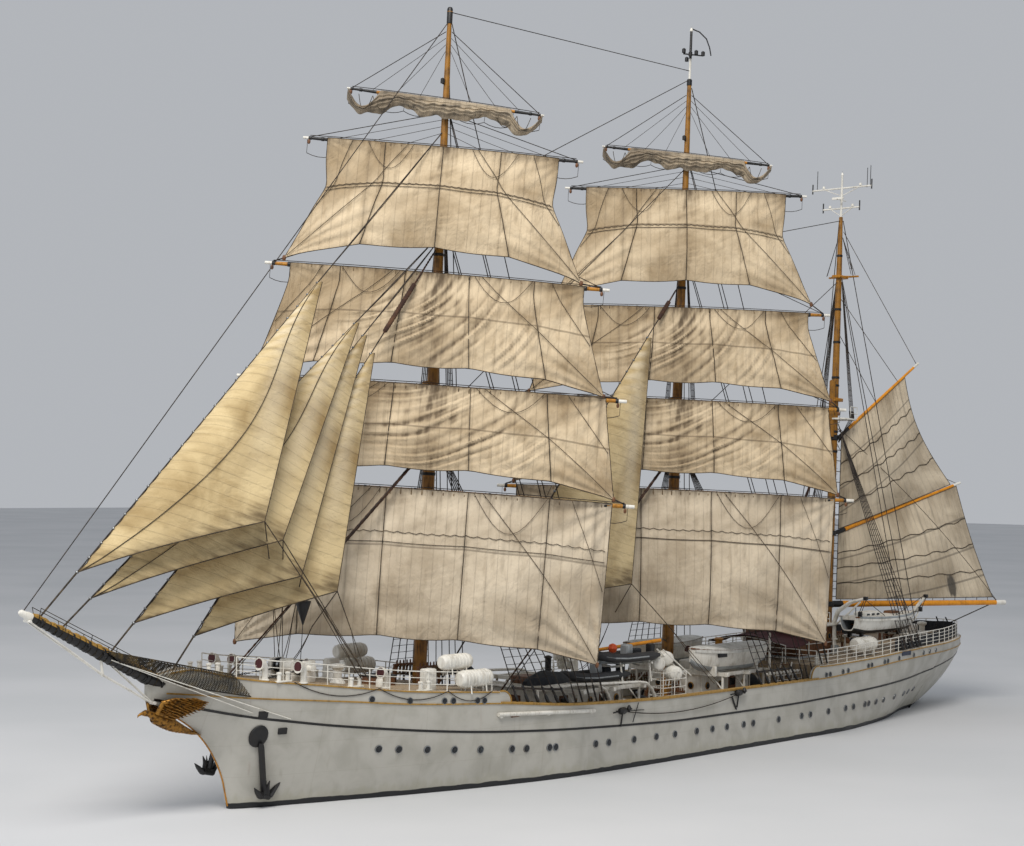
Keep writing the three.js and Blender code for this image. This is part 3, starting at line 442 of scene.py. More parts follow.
@dataclass(frozen=True)
class Gilding(Finish):
    """Gold leaf, rubbed, with brown in its hollows."""

    gold: Colour = tint("9c6f2c")
    brown: Colour = tint("3e2910")

    def draw(self, nodes: Nodes) -> None:
        """Writes the gilding's nodes.

        Args:
            nodes: writer of the material's nodes.
        """
        worn = nodes.noise(nodes.place(), 60, 5)
        nodes.surface(Base_Color=nodes.mix(nodes.between(worn, 0.42, 0.7), self.gold, self.brown),
                      Metallic=0.65)
        nodes.surface(Roughness=nodes.between(worn, 0.3, 0.7, 0.34, 0.6))
        nodes.relief(worn, 0.002, 0.6)


@dataclass(frozen=True)
class Glass(Finish):
    """Dark port glass, streaked with salt."""

    deep: Colour = tint("10151a")
    salt: Colour = tint("5a6468")

    def draw(self, nodes: Nodes) -> None:
        """Writes the glass's nodes.

        Args:
            nodes: writer of the material's nodes.
        """
        haze = nodes.noise(nodes.place((50, 50, 20)), 1, 4)
        nodes.surface(Base_Color=nodes.mix(nodes.between(haze, 0.5, 0.8, 0, 0.5), self.deep, self.salt))
        nodes.surface(Roughness=nodes.between(haze, 0.4, 0.8, 0.08, 0.4), IOR=1.5)


@dataclass(frozen=True)
class Bronze(Finish):
    """Cast bronze that has gone dull in the water."""

    metal: Colour = tint("a37a3c")
    stain: Colour = tint("4b5a44")

    def draw(self, nodes: Nodes) -> None:
        """Writes the bronze's nodes.

        Args:
            nodes: writer of the material's nodes.
        """
        dull = nodes.noise(nodes.place(), 70, 6)
        nodes.surface(Base_Color=nodes.mix(nodes.between(dull, 0.45, 0.75), self.metal, self.stain))
        nodes.surface(Metallic=0.8, Roughness=nodes.between(dull, 0.3, 0.8, 0.3, 0.65))
        nodes.relief(dull, 0.001, 0.5)


HULL_WHITE = HullPaint("hull_topsides")
DECK = Planking("deck_planks")
WHITE = Paint("white_enamel", tint("e4e1d8"), tint("9a8f7a"), 0.45, 0.42)
GREY = Paint("grey_enamel", tint("9ba0a2"), tint("5f5f58"), 0.4, 0.5)
NAVY = Paint("plate_blue", tint("1d2a44"), tint("3a3f48"), 0.4, 0.45)
OCHRE = Paint("spar_ochre", tint("b67a14"), tint("4f3214"), 0.6, 0.42, grain=22)
MAST_OCHRE = Paint("mast_ochre", tint("946414"), tint("2a1b0a"), 0.75, 0.45, grain=18)
GOLD_LINE = Paint("gold_line", tint("a98238"), tint("5d4620"), 0.5, 0.45, grain=30)
YELLOW = Paint("boom_yellow", tint("e29208"), tint("7a4a18"), 0.4, 0.4, grain=22)
BLACK = Paint("black_enamel", tint("0d0d0f"), tint("2b251f"), 0.4, 0.42)
MAROON = Paint("awning_maroon", tint("4a1f22"), tint("241517"), 0.5, 0.85)
RED_LEAD = Paint("bottom_red", tint("6a2d24"), tint("40201a"), 0.5, 0.7)
ORANGE = Paint("buoy_orange", tint("d8531c"), tint("7a3a20"), 0.4, 0.5)
RUBBER = Paint("boat_fabric", tint("25262a"), tint("4d4b48"), 0.5, 0.62)
COVER = Paint("boat_cover", tint("d4d3cd"), tint("8b877c"), 0.5, 0.85)
DARK_CLOTH = Paint("weather_cloth", tint("23262b"), tint("494a48"), 0.5, 0.9)
TEAK = Paint("oiled_teak", tint("6d4526"), tint("33200f"), 0.6, 0.5, grain=40)
STEEL = Paint("bare_steel", tint("8d9092"), tint("5c4a38"), 0.5, 0.38, 0.8)
GOLD = Gilding("gold_leaf")
GLASS = Glass("port_glass")
BRASS = Bronze("dull_bronze")
TARRED = Rope("tarred_wire", tint("241f1c"), tint("4a4038"))
WRAPPED = Rope("wrapped_stay", tint("38231a"), tint("5c3f2a"), 0.9)
NET = Rope("head_netting", tint("1c1914"), tint("5a4a28"))
DARK_ROPE = Rope("weathered_rope", tint("2f271e"), tint("5e4f3a"))
HEMP = Rope("running_rope", tint("5c4c38"), tint("8f7a58"))
SQUARE_CLOTH = SailCloth("square_canvas", tint("dac6a6"), tint("927c5c"), tint("4c3c29"), bands=(2.9,))
COURSE_CLOTH = SailCloth("course_canvas", tint("d4c5ad"), tint("978770"), tint("4b4034"), bands=(3.6,))
JIB_CLOTH = SailCloth("jib_canvas", tint("d6c092"), tint("93794b"), tint("4e3d22"))
SPANKER_CLOTH = SailCloth("spanker_canvas", tint("d8c8ae"), tint("988870"), tint("3a342c"),
                          bands=(1.9, 3.7, 5.4))
ROYAL_CLOTH = SailCloth("furled_canvas", tint("b3a38a"), tint("7d6f5c"), tint("3a352e"))


def turned_to(facing: Point, up: Point = (0, 0, 1)) -> Matrix:
    """Gives the turn that takes local Z to a direction and local Y near to another.

    Args:
        facing: the direction.
        up: where local Y should point as nearly as it can.

    Returns:
        The rotation as a 4 by 4 matrix.
    """
    z = Vector(facing).normalized()
    x = Vector(up).cross(z)
    if x.length < 1e-6:
        x = Vector((1, 0, 0)).cross(z) if abs(z.x) < 0.9 else Vector((0, 1, 0)).cross(z)
    x.normalize()
    return Matrix((x, z.cross(x), z)).transposed().to_4x4()


def volume(points: np.ndarray, faces: Sequence[Sequence[int]]) -> float:
    """Gives the signed volume of a closed mesh.

    Args:
        points: its corners.
        faces: its polygons.

    Returns:
        Six times the volume, positive if the faces point outward.
    """
    cloud = points - points.mean(axis=0)
    total = 0.0
    for count in {len(face) for face in faces}:
        rows = np.array([face for face in faces if len(face) == count])
        for k in range(1, count - 1):
            cross = np.cross(cloud[rows[:, k]], cloud[rows[:, k + 1]])
            total += float(np.einsum("ij,ij->", cloud[rows[:, 0]], cross))
    return total


def quads(rows: int, columns: int, around: bool = False) -> list[list[int]]:
    """Gives the faces of a grid of points.

    Args:
        rows: number of rows of points.
        columns: number of points in a row.
        around: whether the last column joins the first.

    Returns:
        The quads, row by row.
    """
    last = columns if around else columns - 1
    i, j = np.meshgrid(np.arange(rows - 1), np.arange(last), indexing="ij")
    k = (j + 1) % columns
    here, below = i * columns, (i + 1) * columns
    return np.stack([here + j, here + k, below + k, below + j], axis=-1).reshape(-1, 4).tolist()


def skin(rings: int, points: int) -> list[list[int]]:
    """Gives the faces of a closed skin over rings.

    Args:
        rings: number of rings.
        points: number of points in a ring.

    Returns:
        The quads ring by ring, and then the two ends.
    """
    last = (rings - 1) * points
    return quads(rings, points, True) + [list(range(points))[::-1], list(range(last, last + points))]


def across_path(path: np.ndarray) -> tuple[np.ndarray, np.ndarray]:
    """Gives two directions square to a path at each of its points, carried along without twist.

    Args:
        path: points of the path.

    Returns:
        The two arrays of directions.
    """
    along = np.gradient(path, axis=0)
    along /= np.maximum(np.linalg.norm(along, axis=1, keepdims=True), 1e-9)
    side = np.cross(along[0], (0, 0, 1.0))
    if np.linalg.norm(side) < 1e-3:
        side = np.cross(along[0], (0, 1.0, 0))
    sides = []
    for direction in along:
        side = side - direction * float(side @ direction)
        side = side / np.linalg.norm(side)
        sides.append(side)
    first = np.array(sides)
    return first, np.cross(along, first)


def rounded(x0: float, x1: float, y0: float, y1: float, radius: float, steps: int = 4) -> np.ndarray:
    """Gives the outline of a rectangle with round corners.

    Args:
        x0: low x.
        x1: high x.
        y0: low y.
        y1: high y.
        radius: radius of the corners.
        steps: points in a corner, less one.

    Returns:
        The outline's points in the plane.
    """
    outline = []
    for cx, cy, start in ((x1 - radius, y1 - radius, 0), (x0 + radius, y1 - radius, 90),
                          (x0 + radius, y0 + radius, 180), (x1 - radius, y0 + radius, 270)):
        for k in range(steps + 1):
            angle = math.radians(start + 90 * k / steps)
            outline.append((cx + radius * math.cos(angle), cy + radius * math.sin(angle)))
    return np.array(outline)


class Shape:
    """Faces of one piece, gathered in metres of the ship."""

    def __init__(self) -> None:
        """Starts with no faces."""
        self.frame = Matrix.Identity(4)
        self.points: list[np.ndarray] = []
        self.faces: list[list[int]] = []
        self.slots: list[int] = []
        self.finishes: list[Finish] = []
        self.flat: list[np.ndarray] = []
        self.grime: list[np.ndarray] = []
        self.count = 0

    def add(self, points: np.ndarray, faces: list[list[int]], finish: Finish | Sequence[Finish],
            flat: np.ndarray | None = None, grime: np.ndarray | None = None) -> None:
        """Adds a closed body, turned right side out.

        Args:
            points: its corners in the present frame.
            faces: its polygons.
            finish: one finish, or one for each face.
            flat: UV of each corner.
            grime: dirt of each corner, with painted shade above 0 and painted highlight below 0.
        """
        cloud = np.asarray(points, float).reshape(-1, 3)
        cloud = cloud @ np.array(self.frame.to_3x3()).T + np.array(self.frame.translation)
        if volume(cloud, faces) < 0:
            faces = [face[::-1] for face in faces]
        given = [finish] * len(faces) if isinstance(finish, Finish) else list(finish)
        for one in dict.fromkeys(given):
            if one not in self.finishes:
                self.finishes.append(one)
        numbers = {one: self.finishes.index(one) for one in set(given)}
        self.slots += [numbers[one] for one in given]
        start = self.count
        self.faces += [[index + start for index in face] for face in faces]
        self.points.append(cloud)
        self.flat.append(np.zeros((len(cloud), 2)) if flat is None else flat.reshape(-1, 2))
        self.grime.append(np.zeros(len(cloud)) if grime is None else grime.reshape(-1))
        self.count += len(cloud)

    def loft(self, rings: np.ndarray, finish: Finish | Sequence[Finish],
             ends: Finish | None = None) -> None:
        """Adds a closed skin over rings.

        Args:
            rings: array of rings, points and coordinates.
            finish: one finish, or one for each column of faces.
            ends: finish of the two ends.
        """
        rings = np.asarray(rings, float)
        count, points = rings.shape[:2]
        column = [finish] * points if isinstance(finish, Finish) else list(finish)
        side = column * (count - 1)
        self.add(rings, skin(count, points), side + [ends or side[0]] * 2)

    def stretches(self, rings: np.ndarray, finish: Finish | Sequence[Finish]) -> None:
        """Adds a closed skin over rings, whose finish may change at a ring.

        Args:
            rings: array of rings, points and coordinates.
            finish: one finish, or one for each stretch between two rings.
        """
        count, points = rings.shape[:2]
        each = [finish] * (count - 1) if isinstance(finish, Finish) else list(finish)
        side = [one for one in each for _ in range(points)]
        self.add(rings, skin(count, points), side + [each[0], each[-1]])

    def tube(self, path: Iterable[Point], radius: float | Sequence[float],
             finish: Finish | Sequence[Finish],
             sides: int = 8, squash: float = 1.0) -> None:
        """Adds a round bar along a path.

        Args:
            path: points of its middle line.
            radius: one radius, or one for each point.
            finish: its finish, or one for each stretch.
            sides: points round it.
            squash: share of the radius kept in the second direction.
        """
        line = np.asarray(list(path), float)
        radii = np.broadcast_to(np.asarray(radius, float), (len(line),))
        first, second = across_path(line)
        turns = np.linspace(0, 2 * math.pi, sides, endpoint=False)
        cosines, sines = np.cos(turns)[None, :, None], np.sin(turns)[None, :, None]
        ring = cosines * first[:, None] + squash * sines * second[:, None]
        self.stretches(line[:, None] + ring * radii[:, None, None], finish)

    def turned(self, profile: Iterable[Point], finish: Finish | Sequence[Finish], sides: int = 16,
               at: Point = (0, 0, 0), along: Point = (0, 0, 1)) -> None:
        """Adds a turned body.

        Args:
            profile: radius and height pairs.
            finish: its finish, or one for each stretch.
            sides: points round it.
            at: where its axis starts.
            along: direction of its axis.
        """
        kept = self.frame
        self.frame = kept @ Matrix.Translation(at) @ turned_to(along)
        turns = np.linspace(0, 2 * math.pi, sides, endpoint=False)
        rows = [(max(r, 0.0008), h) for r, h in profile]
        rings = [[(r * math.cos(a), r * math.sin(a), h) for a in turns] for r, h in rows]
        self.stretches(np.array(rings), finish)
        self.frame = kept

    def slab(self, outline: np.ndarray, low: float, high: float, finish: Finish,
             bevel: float = 0.03) -> None:
        """Adds an upright block over an outline, its upper and lower edges rounded.

        Args:
            outline: points in the plane.
            low: height of its foot.
            high: height of its top.
            finish: its finish.
            bevel: size of the rounding.
        """
        middle = outline.mean(axis=0)
        rings = []
        for inset, height in ((bevel, low), (0, low + bevel), (0, high - bevel), (bevel, high)):
            reach = np.linalg.norm(outline - middle, axis=1, keepdims=True)
            ring = outline - (outline - middle) / np.maximum(reach, 1e-6) * inset
            rings.append(np.column_stack([ring, np.full(len(ring), height)]))
        self.loft(np.array(rings), finish)

    def box(self, low: Point, high: Point, finish: Finish, bevel: float = 0.02) -> None:
        """Adds a block between two corners, its edges rounded.

        Args:
            low: lowest corner.
            high: highest corner.
            finish: its finish.
            bevel: size of the rounding.
        """
        size = min(high[k] - low[k] for k in range(3))
        edge = min(bevel, size * 0.3)
        self.slab(rounded(low[0], high[0], low[1], high[1], edge, 1), low[2], high[2], finish, edge)

    def sheet(self, middle: np.ndarray, thickness: float, finish: Finish, flat: np.ndarray | None = None,
              grime: np.ndarray | None = None) -> None:
        """Adds a thin closed sheet about a grid of points.

        Args:
            middle: rows of points.
            thickness: its thickness.
            finish: its finish.
            flat: UV of each point.
            grime: dirt of each point, with painted shade above 0 and painted highlight below 0.
        """
        rows, columns = middle.shape[:2]
        normal = np.cross(np.gradient(middle, axis=1), np.gradient(middle, axis=0))
        normal /= np.maximum(np.linalg.norm(normal, axis=2, keepdims=True), 1e-9)
        faces = quads(rows, columns)
        back = rows * columns
        faces += [[index + back for index in face[::-1]] for face in faces]
        rim = list(range(columns))
        rim += [i * columns + columns - 1 for i in range(1, rows)]
        rim += [(rows - 1) * columns + j for j in range(columns - 2, -1, -1)]
        rim += [i * columns for i in range(rows - 2, 0, -1)]
        faces += [[a, a + back, b + back, b] for a, b in zip(rim, rim[1:] + rim[:1])]
        half = normal * thickness / 2
        points = np.concatenate([(middle + half).reshape(-1, 3), (middle - half).reshape(-1, 3)])
        both = None if flat is None else np.concatenate([flat.reshape(-1, 2)] * 2)
        # Dirt with painted shade and highlight of each point, for both faces
        dirt = None if grime is None else np.concatenate([grime.reshape(-1)] * 2)
        self.add(points, faces, finish, both, dirt)

    def mesh(self, name: str) -> bpy.types.Mesh:
        """Makes the mesh in model metres.

        Args:
            name: name of the mesh.

        Returns:
            The mesh, with its materials, UV map, and dirt with painted shade and highlight.
        """
        mesh = bpy.data.meshes.new(name)
        points = np.concatenate(self.points) * METRE
        mesh.from_pydata(points.tolist(), [], self.faces)
        for finish in self.finishes:
            mesh.materials.append(finish.material())
        mesh.polygons.foreach_set("material_index", np.array(self.slots, dtype=np.int32))
        corners = np.zeros(len(mesh.loops), dtype=np.int32)
        mesh.loops.foreach_get("vertex_index", corners)
        flat = np.concatenate(self.flat)
        mesh.uv_layers.new(name="UVMap").data.foreach_set("uv", flat[corners].reshape(-1))
        grime = np.concatenate(self.grime)
        if grime.any():
            mesh.attributes.new("grime", "FLOAT", "POINT").data.foreach_set("value", grime)
        mesh.shade_smooth()
        mesh.set_sharp_from_angle(angle=math.radians(38))
        mesh.update()
        return mesh

    def piece(self, name: str) -> bpy.types.Object:
        """Makes an object of the mesh."""
        return shown(name, self.mesh(name))


def shown(name: str, mesh: bpy.types.Mesh) -> bpy.types.Object:
    """Puts a mesh in the scene as an object at the origin.

    Args:
        name: name of the object.
        mesh: its mesh.

    Returns:
        The object.
    """
    thing = bpy.data.objects.new(name, mesh)
    bpy.context.scene.collection.objects.link(thing)
    return thing


def enter(thing: bpy.types.Object, body: Body, slot: Slot, *nodes: str) -> bpy.types.Object:
    """Gives a piece to a body, and lets it stand for CAD nodes.

    Args:
        thing: the piece.
        body: the body that it rides on.
        slot: the record's material slot; not used.
        nodes: names of the CAD nodes that it replaces.

    Returns:
        The piece.
    """
    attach(thing, body.value)
    if nodes:
        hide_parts(*nodes)
    log.info("%s on %s, %d faces", thing.name, body.value, len(thing.data.polygons))
    return thing


class Tree:
    """A geometry node tree with named inputs, run once on each mesh that is given to it."""

    def __init__(self, name: str, inputs: dict[str, str]) -> None:
        """Starts a tree.

        Args:
            name: name of the tree.
            inputs: names of its inputs with their socket types.
        """
        self.group = bpy.data.node_groups.new(name, "GeometryNodeTree")
        face = self.group.interface
        face.new_socket("Geometry", in_out="INPUT", socket_type="NodeSocketGeometry")
        face.new_socket("Geometry", in_out="OUTPUT", socket_type="NodeSocketGeometry")
        self.sockets = {
            label: face.new_socket(label, in_out="INPUT", socket_type=kind).identifier
            for label, kind in inputs.items()
        }
        self.entry = self.group.nodes.new("NodeGroupInput")

    def add(self, kind: str, feeds: dict[int | str, object], **settings: object) -> bpy.types.Node:
        """Adds a node.

        Args:
            kind: type name of the node.
            feeds: input name or number with the value or socket that feeds it.
            settings: attributes of the node.

        Returns:
            The new node.
        """
        node = self.group.nodes.new(kind)
        for key, value in settings.items():
            setattr(node, key, value)
        for key, value in feeds.items():
            if isinstance(value, bpy.types.NodeSocket):
                self.group.links.new(value, node.inputs[key])
            else:
                node.inputs[key].default_value = value
        return node

    def end(self, geometry: bpy.types.NodeSocket) -> None:
        """Ends the tree in real geometry with its material.

        Args:
            geometry: what the tree has made.
        """
        real = self.add("GeometryNodeRealizeInstances", {0: geometry}).outputs[0]
        feeds = {"Geometry": real, "Material": self.entry.outputs["Material"]}
        dressed = self.add("GeometryNodeSetMaterial", feeds).outputs[0]
        self.add("NodeGroupOutput", {0: dressed})

    def run(self, name: str, seed: bpy.types.Mesh, values: dict[str, object]) -> bpy.types.Object:
        """Runs the tree and keeps its result as a plain piece.

        Args:
            name: name of the piece.
            seed: mesh that the tree starts from.
            values: values of the named inputs.

        Returns:
            The piece.
        """
        holder = shown(name + "_seed", seed)
        modifier = holder.modifiers.new("tree", "NODES")
        modifier.node_group = self.group
        for label, value in values.items():
            modifier[self.sockets[label]] = value
        graph = bpy.context.evaluated_depsgraph_get()
        graph.update()
        result = bpy.data.meshes.new_from_object(holder.evaluated_get(graph), depsgraph=graph)
        result.name = name
        bpy.data.objects.remove(holder)
        result.shade_smooth()
        result.set_sharp_from_angle(angle=math.radians(50))
        return shown(name, result)


def named(tree: Tree, label: str, kind: str) -> bpy.types.NodeSocket:
    """Gives a point attribute inside a tree."""
    return tree.add("GeometryNodeInputNamedAttribute", {"Name": label}, data_type=kind).outputs["Attribute"]


def rope_tree() -> Tree:
    """Gives the tree that makes round rope of edges, as thick as their attribute says.

    Returns:
        The tree.
    """
    tree = Tree("rope", {"Sides": "NodeSocketInt", "Material": "NodeSocketMaterial"})
    curve = tree.add("GeometryNodeMeshToCurve", {0: tree.entry.outputs["Geometry"]}).outputs[0]
    feeds = {"Curve": curve, "Radius": named(tree, "thick", "FLOAT")}
    thick = tree.add("GeometryNodeSetCurveRadius", feeds).outputs[0]
    feeds = {"Resolution": tree.entry.outputs["Sides"], "Radius": 1.0}
    ring = tree.add("GeometryNodeCurvePrimitiveCircle", feeds).outputs[0]
    feeds = {"Curve": thick, "Profile Curve": ring, "Fill Caps": True}
    node = tree.add("GeometryNodeCurveToMesh", feeds)
    if "Scale" in node.inputs:
        tree.group.links.new(named(tree, "thick", "FLOAT"), node.inputs["Scale"])
    tree.end(node.outputs[0])
    return tree


def copies_tree() -> Tree:
    """Gives the tree that sets a small part on points, turned and sized by their attributes.

    Returns:
        The tree.
    """
    tree = Tree("copies", {"Part": "NodeSocketObject", "Material": "NodeSocketMaterial"})
    part = tree.add("GeometryNodeObjectInfo", {"Object": tree.entry.outputs["Part"]}).outputs["Geometry"]
    feeds = {"Points": tree.entry.outputs["Geometry"], "Instance": part,
             "Rotation": named(tree, "turn", "FLOAT_VECTOR"), "Scale": named(tree, "size", "FLOAT_VECTOR")}
    tree.end(tree.add("GeometryNodeInstanceOnPoints", feeds).outputs[0])
    return tree


class Workshop:
    """The two geometry node trees, made once."""

    rope: Tree
    copies: Tree

    @classmethod
    def open(cls) -> None:
        """Makes the trees."""
        cls.rope = rope_tree()
        cls.copies = copies_tree()


class Lines:
    """Ropes, wires and thin bars of one finish, drawn as edges in metres of the ship."""

    def __init__(self) -> None:
        """Starts with no lines."""
        self.frame = Matrix.Identity(4)
        self.points: list[Vector] = []
        self.edges: list[tuple[int, int]] = []
        self.thick: list[float] = []

    def run(self, path: Iterable[Point], radius: float | Sequence[float]) -> None:
        """Adds a line through points.

        Args:
            path: its points in the present frame.
            radius: one radius, or one for each point.
        """
        placed = [self.frame @ Vector(p) for p in path]
        start = len(self.points)
        self.points += placed
        self.thick += list(np.broadcast_to(np.asarray(radius, float), (len(placed),)))
        self.edges += [(start + k, start + k + 1) for k in range(len(placed) - 1)]

    def hang(self, a: Point, b: Point, sag: float, radius: float, steps: int = 8) -> None:
        """Adds a line that sags between two points.

        Args:
            a: first end.
            b: second end.
            sag: how far its middle hangs down.
            radius: its radius.
            steps: number of stretches.
        """
        start, end = Vector(a), Vector(b)
        shares = [k / steps for k in range(steps + 1)]
        self.run([start.lerp(end, s) - Vector((0, 0, sag * 4 * s * (1 - s))) for s in shares], radius)

    def ring(self, centre: Point, radius: float, thickness: float, facing: Point = (0, 0, 1),
             steps: int = 12) -> None:
        """Adds a round loop.

        Args:
            centre: its middle.
            radius: its radius.
            thickness: radius of its bar.
            facing: direction of its axis.
            steps: number of stretches.
        """
        turn = turned_to(facing)
        path = []
        for k in range(steps + 1):
            angle = 2 * math.pi * k / steps
            spoke = Vector((radius * math.cos(angle), radius * math.sin(angle), 0))
            path.append(Vector(centre) + turn @ spoke)
        self.run(path, thickness)

    def piece(self, name: str, finish: Finish, sides: int = 5) -> bpy.types.Object:
        """Makes the piece through the rope tree.

        Args:
            name: name of the piece.
            finish: its finish.
            sides: faces round a line.

        Returns:
            The piece.
        """
        seed = bpy.data.meshes.new(name + "_lines")
        seed.from_pydata([tuple(p * METRE) for p in self.points], self.edges, [])
        values = np.array(self.thick) * METRE
        seed.attributes.new("thick", "FLOAT", "POINT").data.foreach_set("value", values)
        return Workshop.rope.run(name, seed, {"Sides": sides, "Material": finish.material()})


class Copies:
    """Places of one small part that is repeated."""

    def __init__(self) -> None:
        """Starts with no places."""
        self.frame = Matrix.Identity(4)
        self.places: list[Matrix] = []
        self.sizes: list[float] = []

    def put(self, point: Point, facing: Point = (0, 0, 1), up: Point = (0, 0, 1),
            size: float = 1.0) -> None:
        """Adds a place.

        Args:
            point: where the part goes in the present frame.
            facing: where its Z points.
            up: where its Y points as nearly as it can.
            size: its scale.
        """
        self.places.append(self.frame @ Matrix.Translation(point) @ turned_to(facing, up))
        self.sizes.append(size)

    def piece(self, name: str, part: Shape, finish: Finish) -> bpy.types.Object:
        """Makes the piece through the copies tree.

        Args:
            name: name of the piece.
            part: the small part about its own origin.
            finish: finish of all the copies.

        Returns:
            The piece.
        """
        seed = bpy.data.meshes.new(name + "_places")
        seed.from_pydata([tuple(m.translation * METRE) for m in self.places], [], [])
        turns = np.array([tuple(m.to_euler()) for m in self.places]).reshape(-1)
        seed.attributes.new("turn", "FLOAT_VECTOR", "POINT").data.foreach_set("vector", turns)
        sizes = np.repeat(np.array(self.sizes), 3)
        seed.attributes.new("size", "FLOAT_VECTOR", "POINT").data.foreach_set("vector", sizes)
        sample = shown(name + "_part", part.mesh(name + "_part"))
        result = Workshop.copies.run(name, seed, {"Part": sample, "Material": finish.material()})
        bpy.data.objects.remove(sample)
        return result


class Fair:
    """A fair curve through the rows of a table, without overshoot."""

    def __init__(self, rows: Iterable[Point]) -> None:
        """Fits the curve.

        Args:
            rows: place and value pairs, in any order.
        """
        table = np.array(sorted((float(a), float(b)) for a, b in rows))
        self.x, self.y = table[:, 0], table[:, 1]
        step = np.diff(self.x)
        rise = np.diff(self.y) / step
        self.slope = np.concatenate([rise[:1], np.zeros(len(rise) - 1), rise[-1:]])
        for i in range(1, len(rise)):
            if rise[i - 1] * rise[i] > 0:
                first, second = 2 * step[i] + step[i - 1], step[i] + 2 * step[i - 1]
                self.slope[i] = (first + second) / (first / rise[i - 1] + second / rise[i])

    def __call__(self, x: float) -> float:
        """Gives the value at a place, held past the ends.

        Args:
            x: the place.

        Returns:
            The curve's value there.
        """
        x = min(max(x, self.x[0]), self.x[-1])
        i = min(max(int(np.searchsorted(self.x, x)) - 1, 0), len(self.x) - 2)
        step = self.x[i + 1] - self.x[i]
        t = (x - self.x[i]) / step
        return float(
            self.y[i] * (1 + 2 * t) * (1 - t) ** 2
            + self.slope[i] * step * t * (1 - t) ** 2
            + self.y[i + 1] * t * t * (3 - 2 * t)
            + self.slope[i + 1] * step * t * t * (t - 1)
        )


# Columns: place, bottom, rail, half breadth, and the two exponents of the side
HULL_ROWS = (
    (40.6, 6.15, 6.5, 0.14, 1, 0.8), (39.2, 5.4, 6.38, 0.5, 1, 0.9), (37.3, 4.17, 6.18, 1.22, 1, 1),
    (35.6, 1.8, 6.0, 1.8, 1, 1.05), (35.1, 0, 5.95, 1.95, 1, 1.1), (34.2, -2.2, 5.87, 2.25, 1, 1.15),
    (32.4, -4.1, 5.72, 2.76, 1, 1.05), (29.6, -5.25, 5.48, 3.49, 1.15, 0.9),
    (25.5, -5.25, 5.1, 4.37, 1.8, 0.85),
    (19.7, -5.25, 4.755, 5.285, 2.45, 0.6), (13.2, -5.25, 4.22, 5.83, 4.1, 0.48),
    (3, -5.25, 3.94, 6, 6, 0.4),
    (-12.45, -5.25, 3.91, 6, 5.5, 0.45), (-20, -5.25, 4.22, 5.89, 2.65, 0.9),
    (-24.2, -5.25, 4.42, 5.66, 2.05, 1.25),
    (-30.6, -5.25, 4.54, 4.97, 1.4, 2.1), (-31.5, -5.25, 4.55, 4.84, 1.39, 2.2),
    (-31.6, -0.9, 4.55, 4.83, 0.82, 0.48),
    (-35.1, 0.05, 4.58, 4.02, 0.9, 0.55), (-38, 1.4, 4.62, 2.98, 1, 0.52), (-40, 2.6, 4.65, 1.8, 1, 0.5),
    (-41, 3.4, 4.67, 0.7, 1, 0.5),
)
# Height of the strake between the rail and the deck above it
FORE_STRAKE = Fair((
    (40.6, 0.7), (39, 1.15), (38.2, 1.3), (36.3, 1.05), (34.1, 0.92), (31.3, 0.84), (28, 0.74),
    (19.8, 0.67),
))
POOP_STRAKE = Fair(((-12.4, 0.88), (-24.2, 0.63), (-41, 0.62)))
WAIST = (-12.45, 19.7)
WAIST_DECK = 2.2
STERN_POST = -31.55
KEEL_HALF = 0.2


class Form:
    """The hull's form: a side at any place and height."""

    def __init__(self) -> None:
        """Fits fair curves to the table, broken at the stern post."""
        self.rail = Fair([(r[0], r[2]) for r in HULL_ROWS])
        self.half = Fair([(r[0], r[3]) for r in HULL_ROWS])
        parts = [[r for r in HULL_ROWS if r[0] < STERN_POST], [r for r in HULL_ROWS if r[0] > STERN_POST]]
        self.columns = [{k: Fair([(r[0], r[k]) for r in part]) for k in (1, 4, 5)} for part in parts]

    def bottom(self, x: float) -> float:
        """Gives the height of the keel or stem at a place."""
        return self.columns[int(x > STERN_POST)][1](x)

    def side(self, x: float, z: float) -> float:
        """Gives the half breadth at a place and height.

        Args:
            x: place along the ship.
            z: height over the water.

        Returns:
            The half breadth.
        """
        columns = self.columns[int(x > STERN_POST)]
        low, rail, half = columns[1](x), self.rail(x), self.half(x)
        share = min(max((z - low) / (rail - low), 0), 1)
        narrow = min(KEEL_HALF if x < 30 else KEEL_HALF - 0.014 * (x - 30), half / 2)
        return narrow + (half - narrow) * (1 - (1 - share) ** columns[4](x)) ** columns[5](x)

    def outward(self, x: float, z: float, side: float = PORT) -> Vector:
        """Gives the direction square to the skin.

        Args:
            x: place along the ship.
            z: height over the water.
            side: port or starboard.

        Returns:
            A direction of length 1.
        """
        step = 0.05
        along = (self.side(x + step, z) - self.side(x - step, z)) / (2 * step)
        up = (self.side(x, z + step) - self.side(x, z - step)) / (2 * step)
        return Vector((-along, side, -up)).normalized()

    def deck(self, x: float) -> float:
        """Gives the height of the deck at a place.

        Args:
            x: place along the ship.

        Returns:
            The height over the water.
        """
        if WAIST[0] < x < WAIST[1]:
            return WAIST_DECK
        return self.rail(x) + (FORE_STRAKE(x) if x > 0 else POOP_STRAKE(x))

    def edge(self, x: float, inboard: float = 0.0, above: float = 0.0,
             side: float = PORT) -> tuple[float, float, float]:
        """Gives a place on a deck's edge or on the bulwark's rail."""
        top = self.rail(x) if WAIST[0] < x < WAIST[1] else self.deck(x)
        return (x, side * (self.half(x) - inboard), top + above)


FORM = Form()


def mast_frame(x: float, turn: float = 0.0) -> Matrix:
    """Gives the frame of a raked mast, turned about it.

    Args:
        x: place of the mast at the waterline.
        turn: angle about the mast.

    Returns:
        The frame in metres of the ship.
    """
    return Matrix.Translation((x, 0, 0)) @ Matrix.Rotation(-RAKE, 4, "Y") @ Matrix.Rotation(turn, 4, "Z")


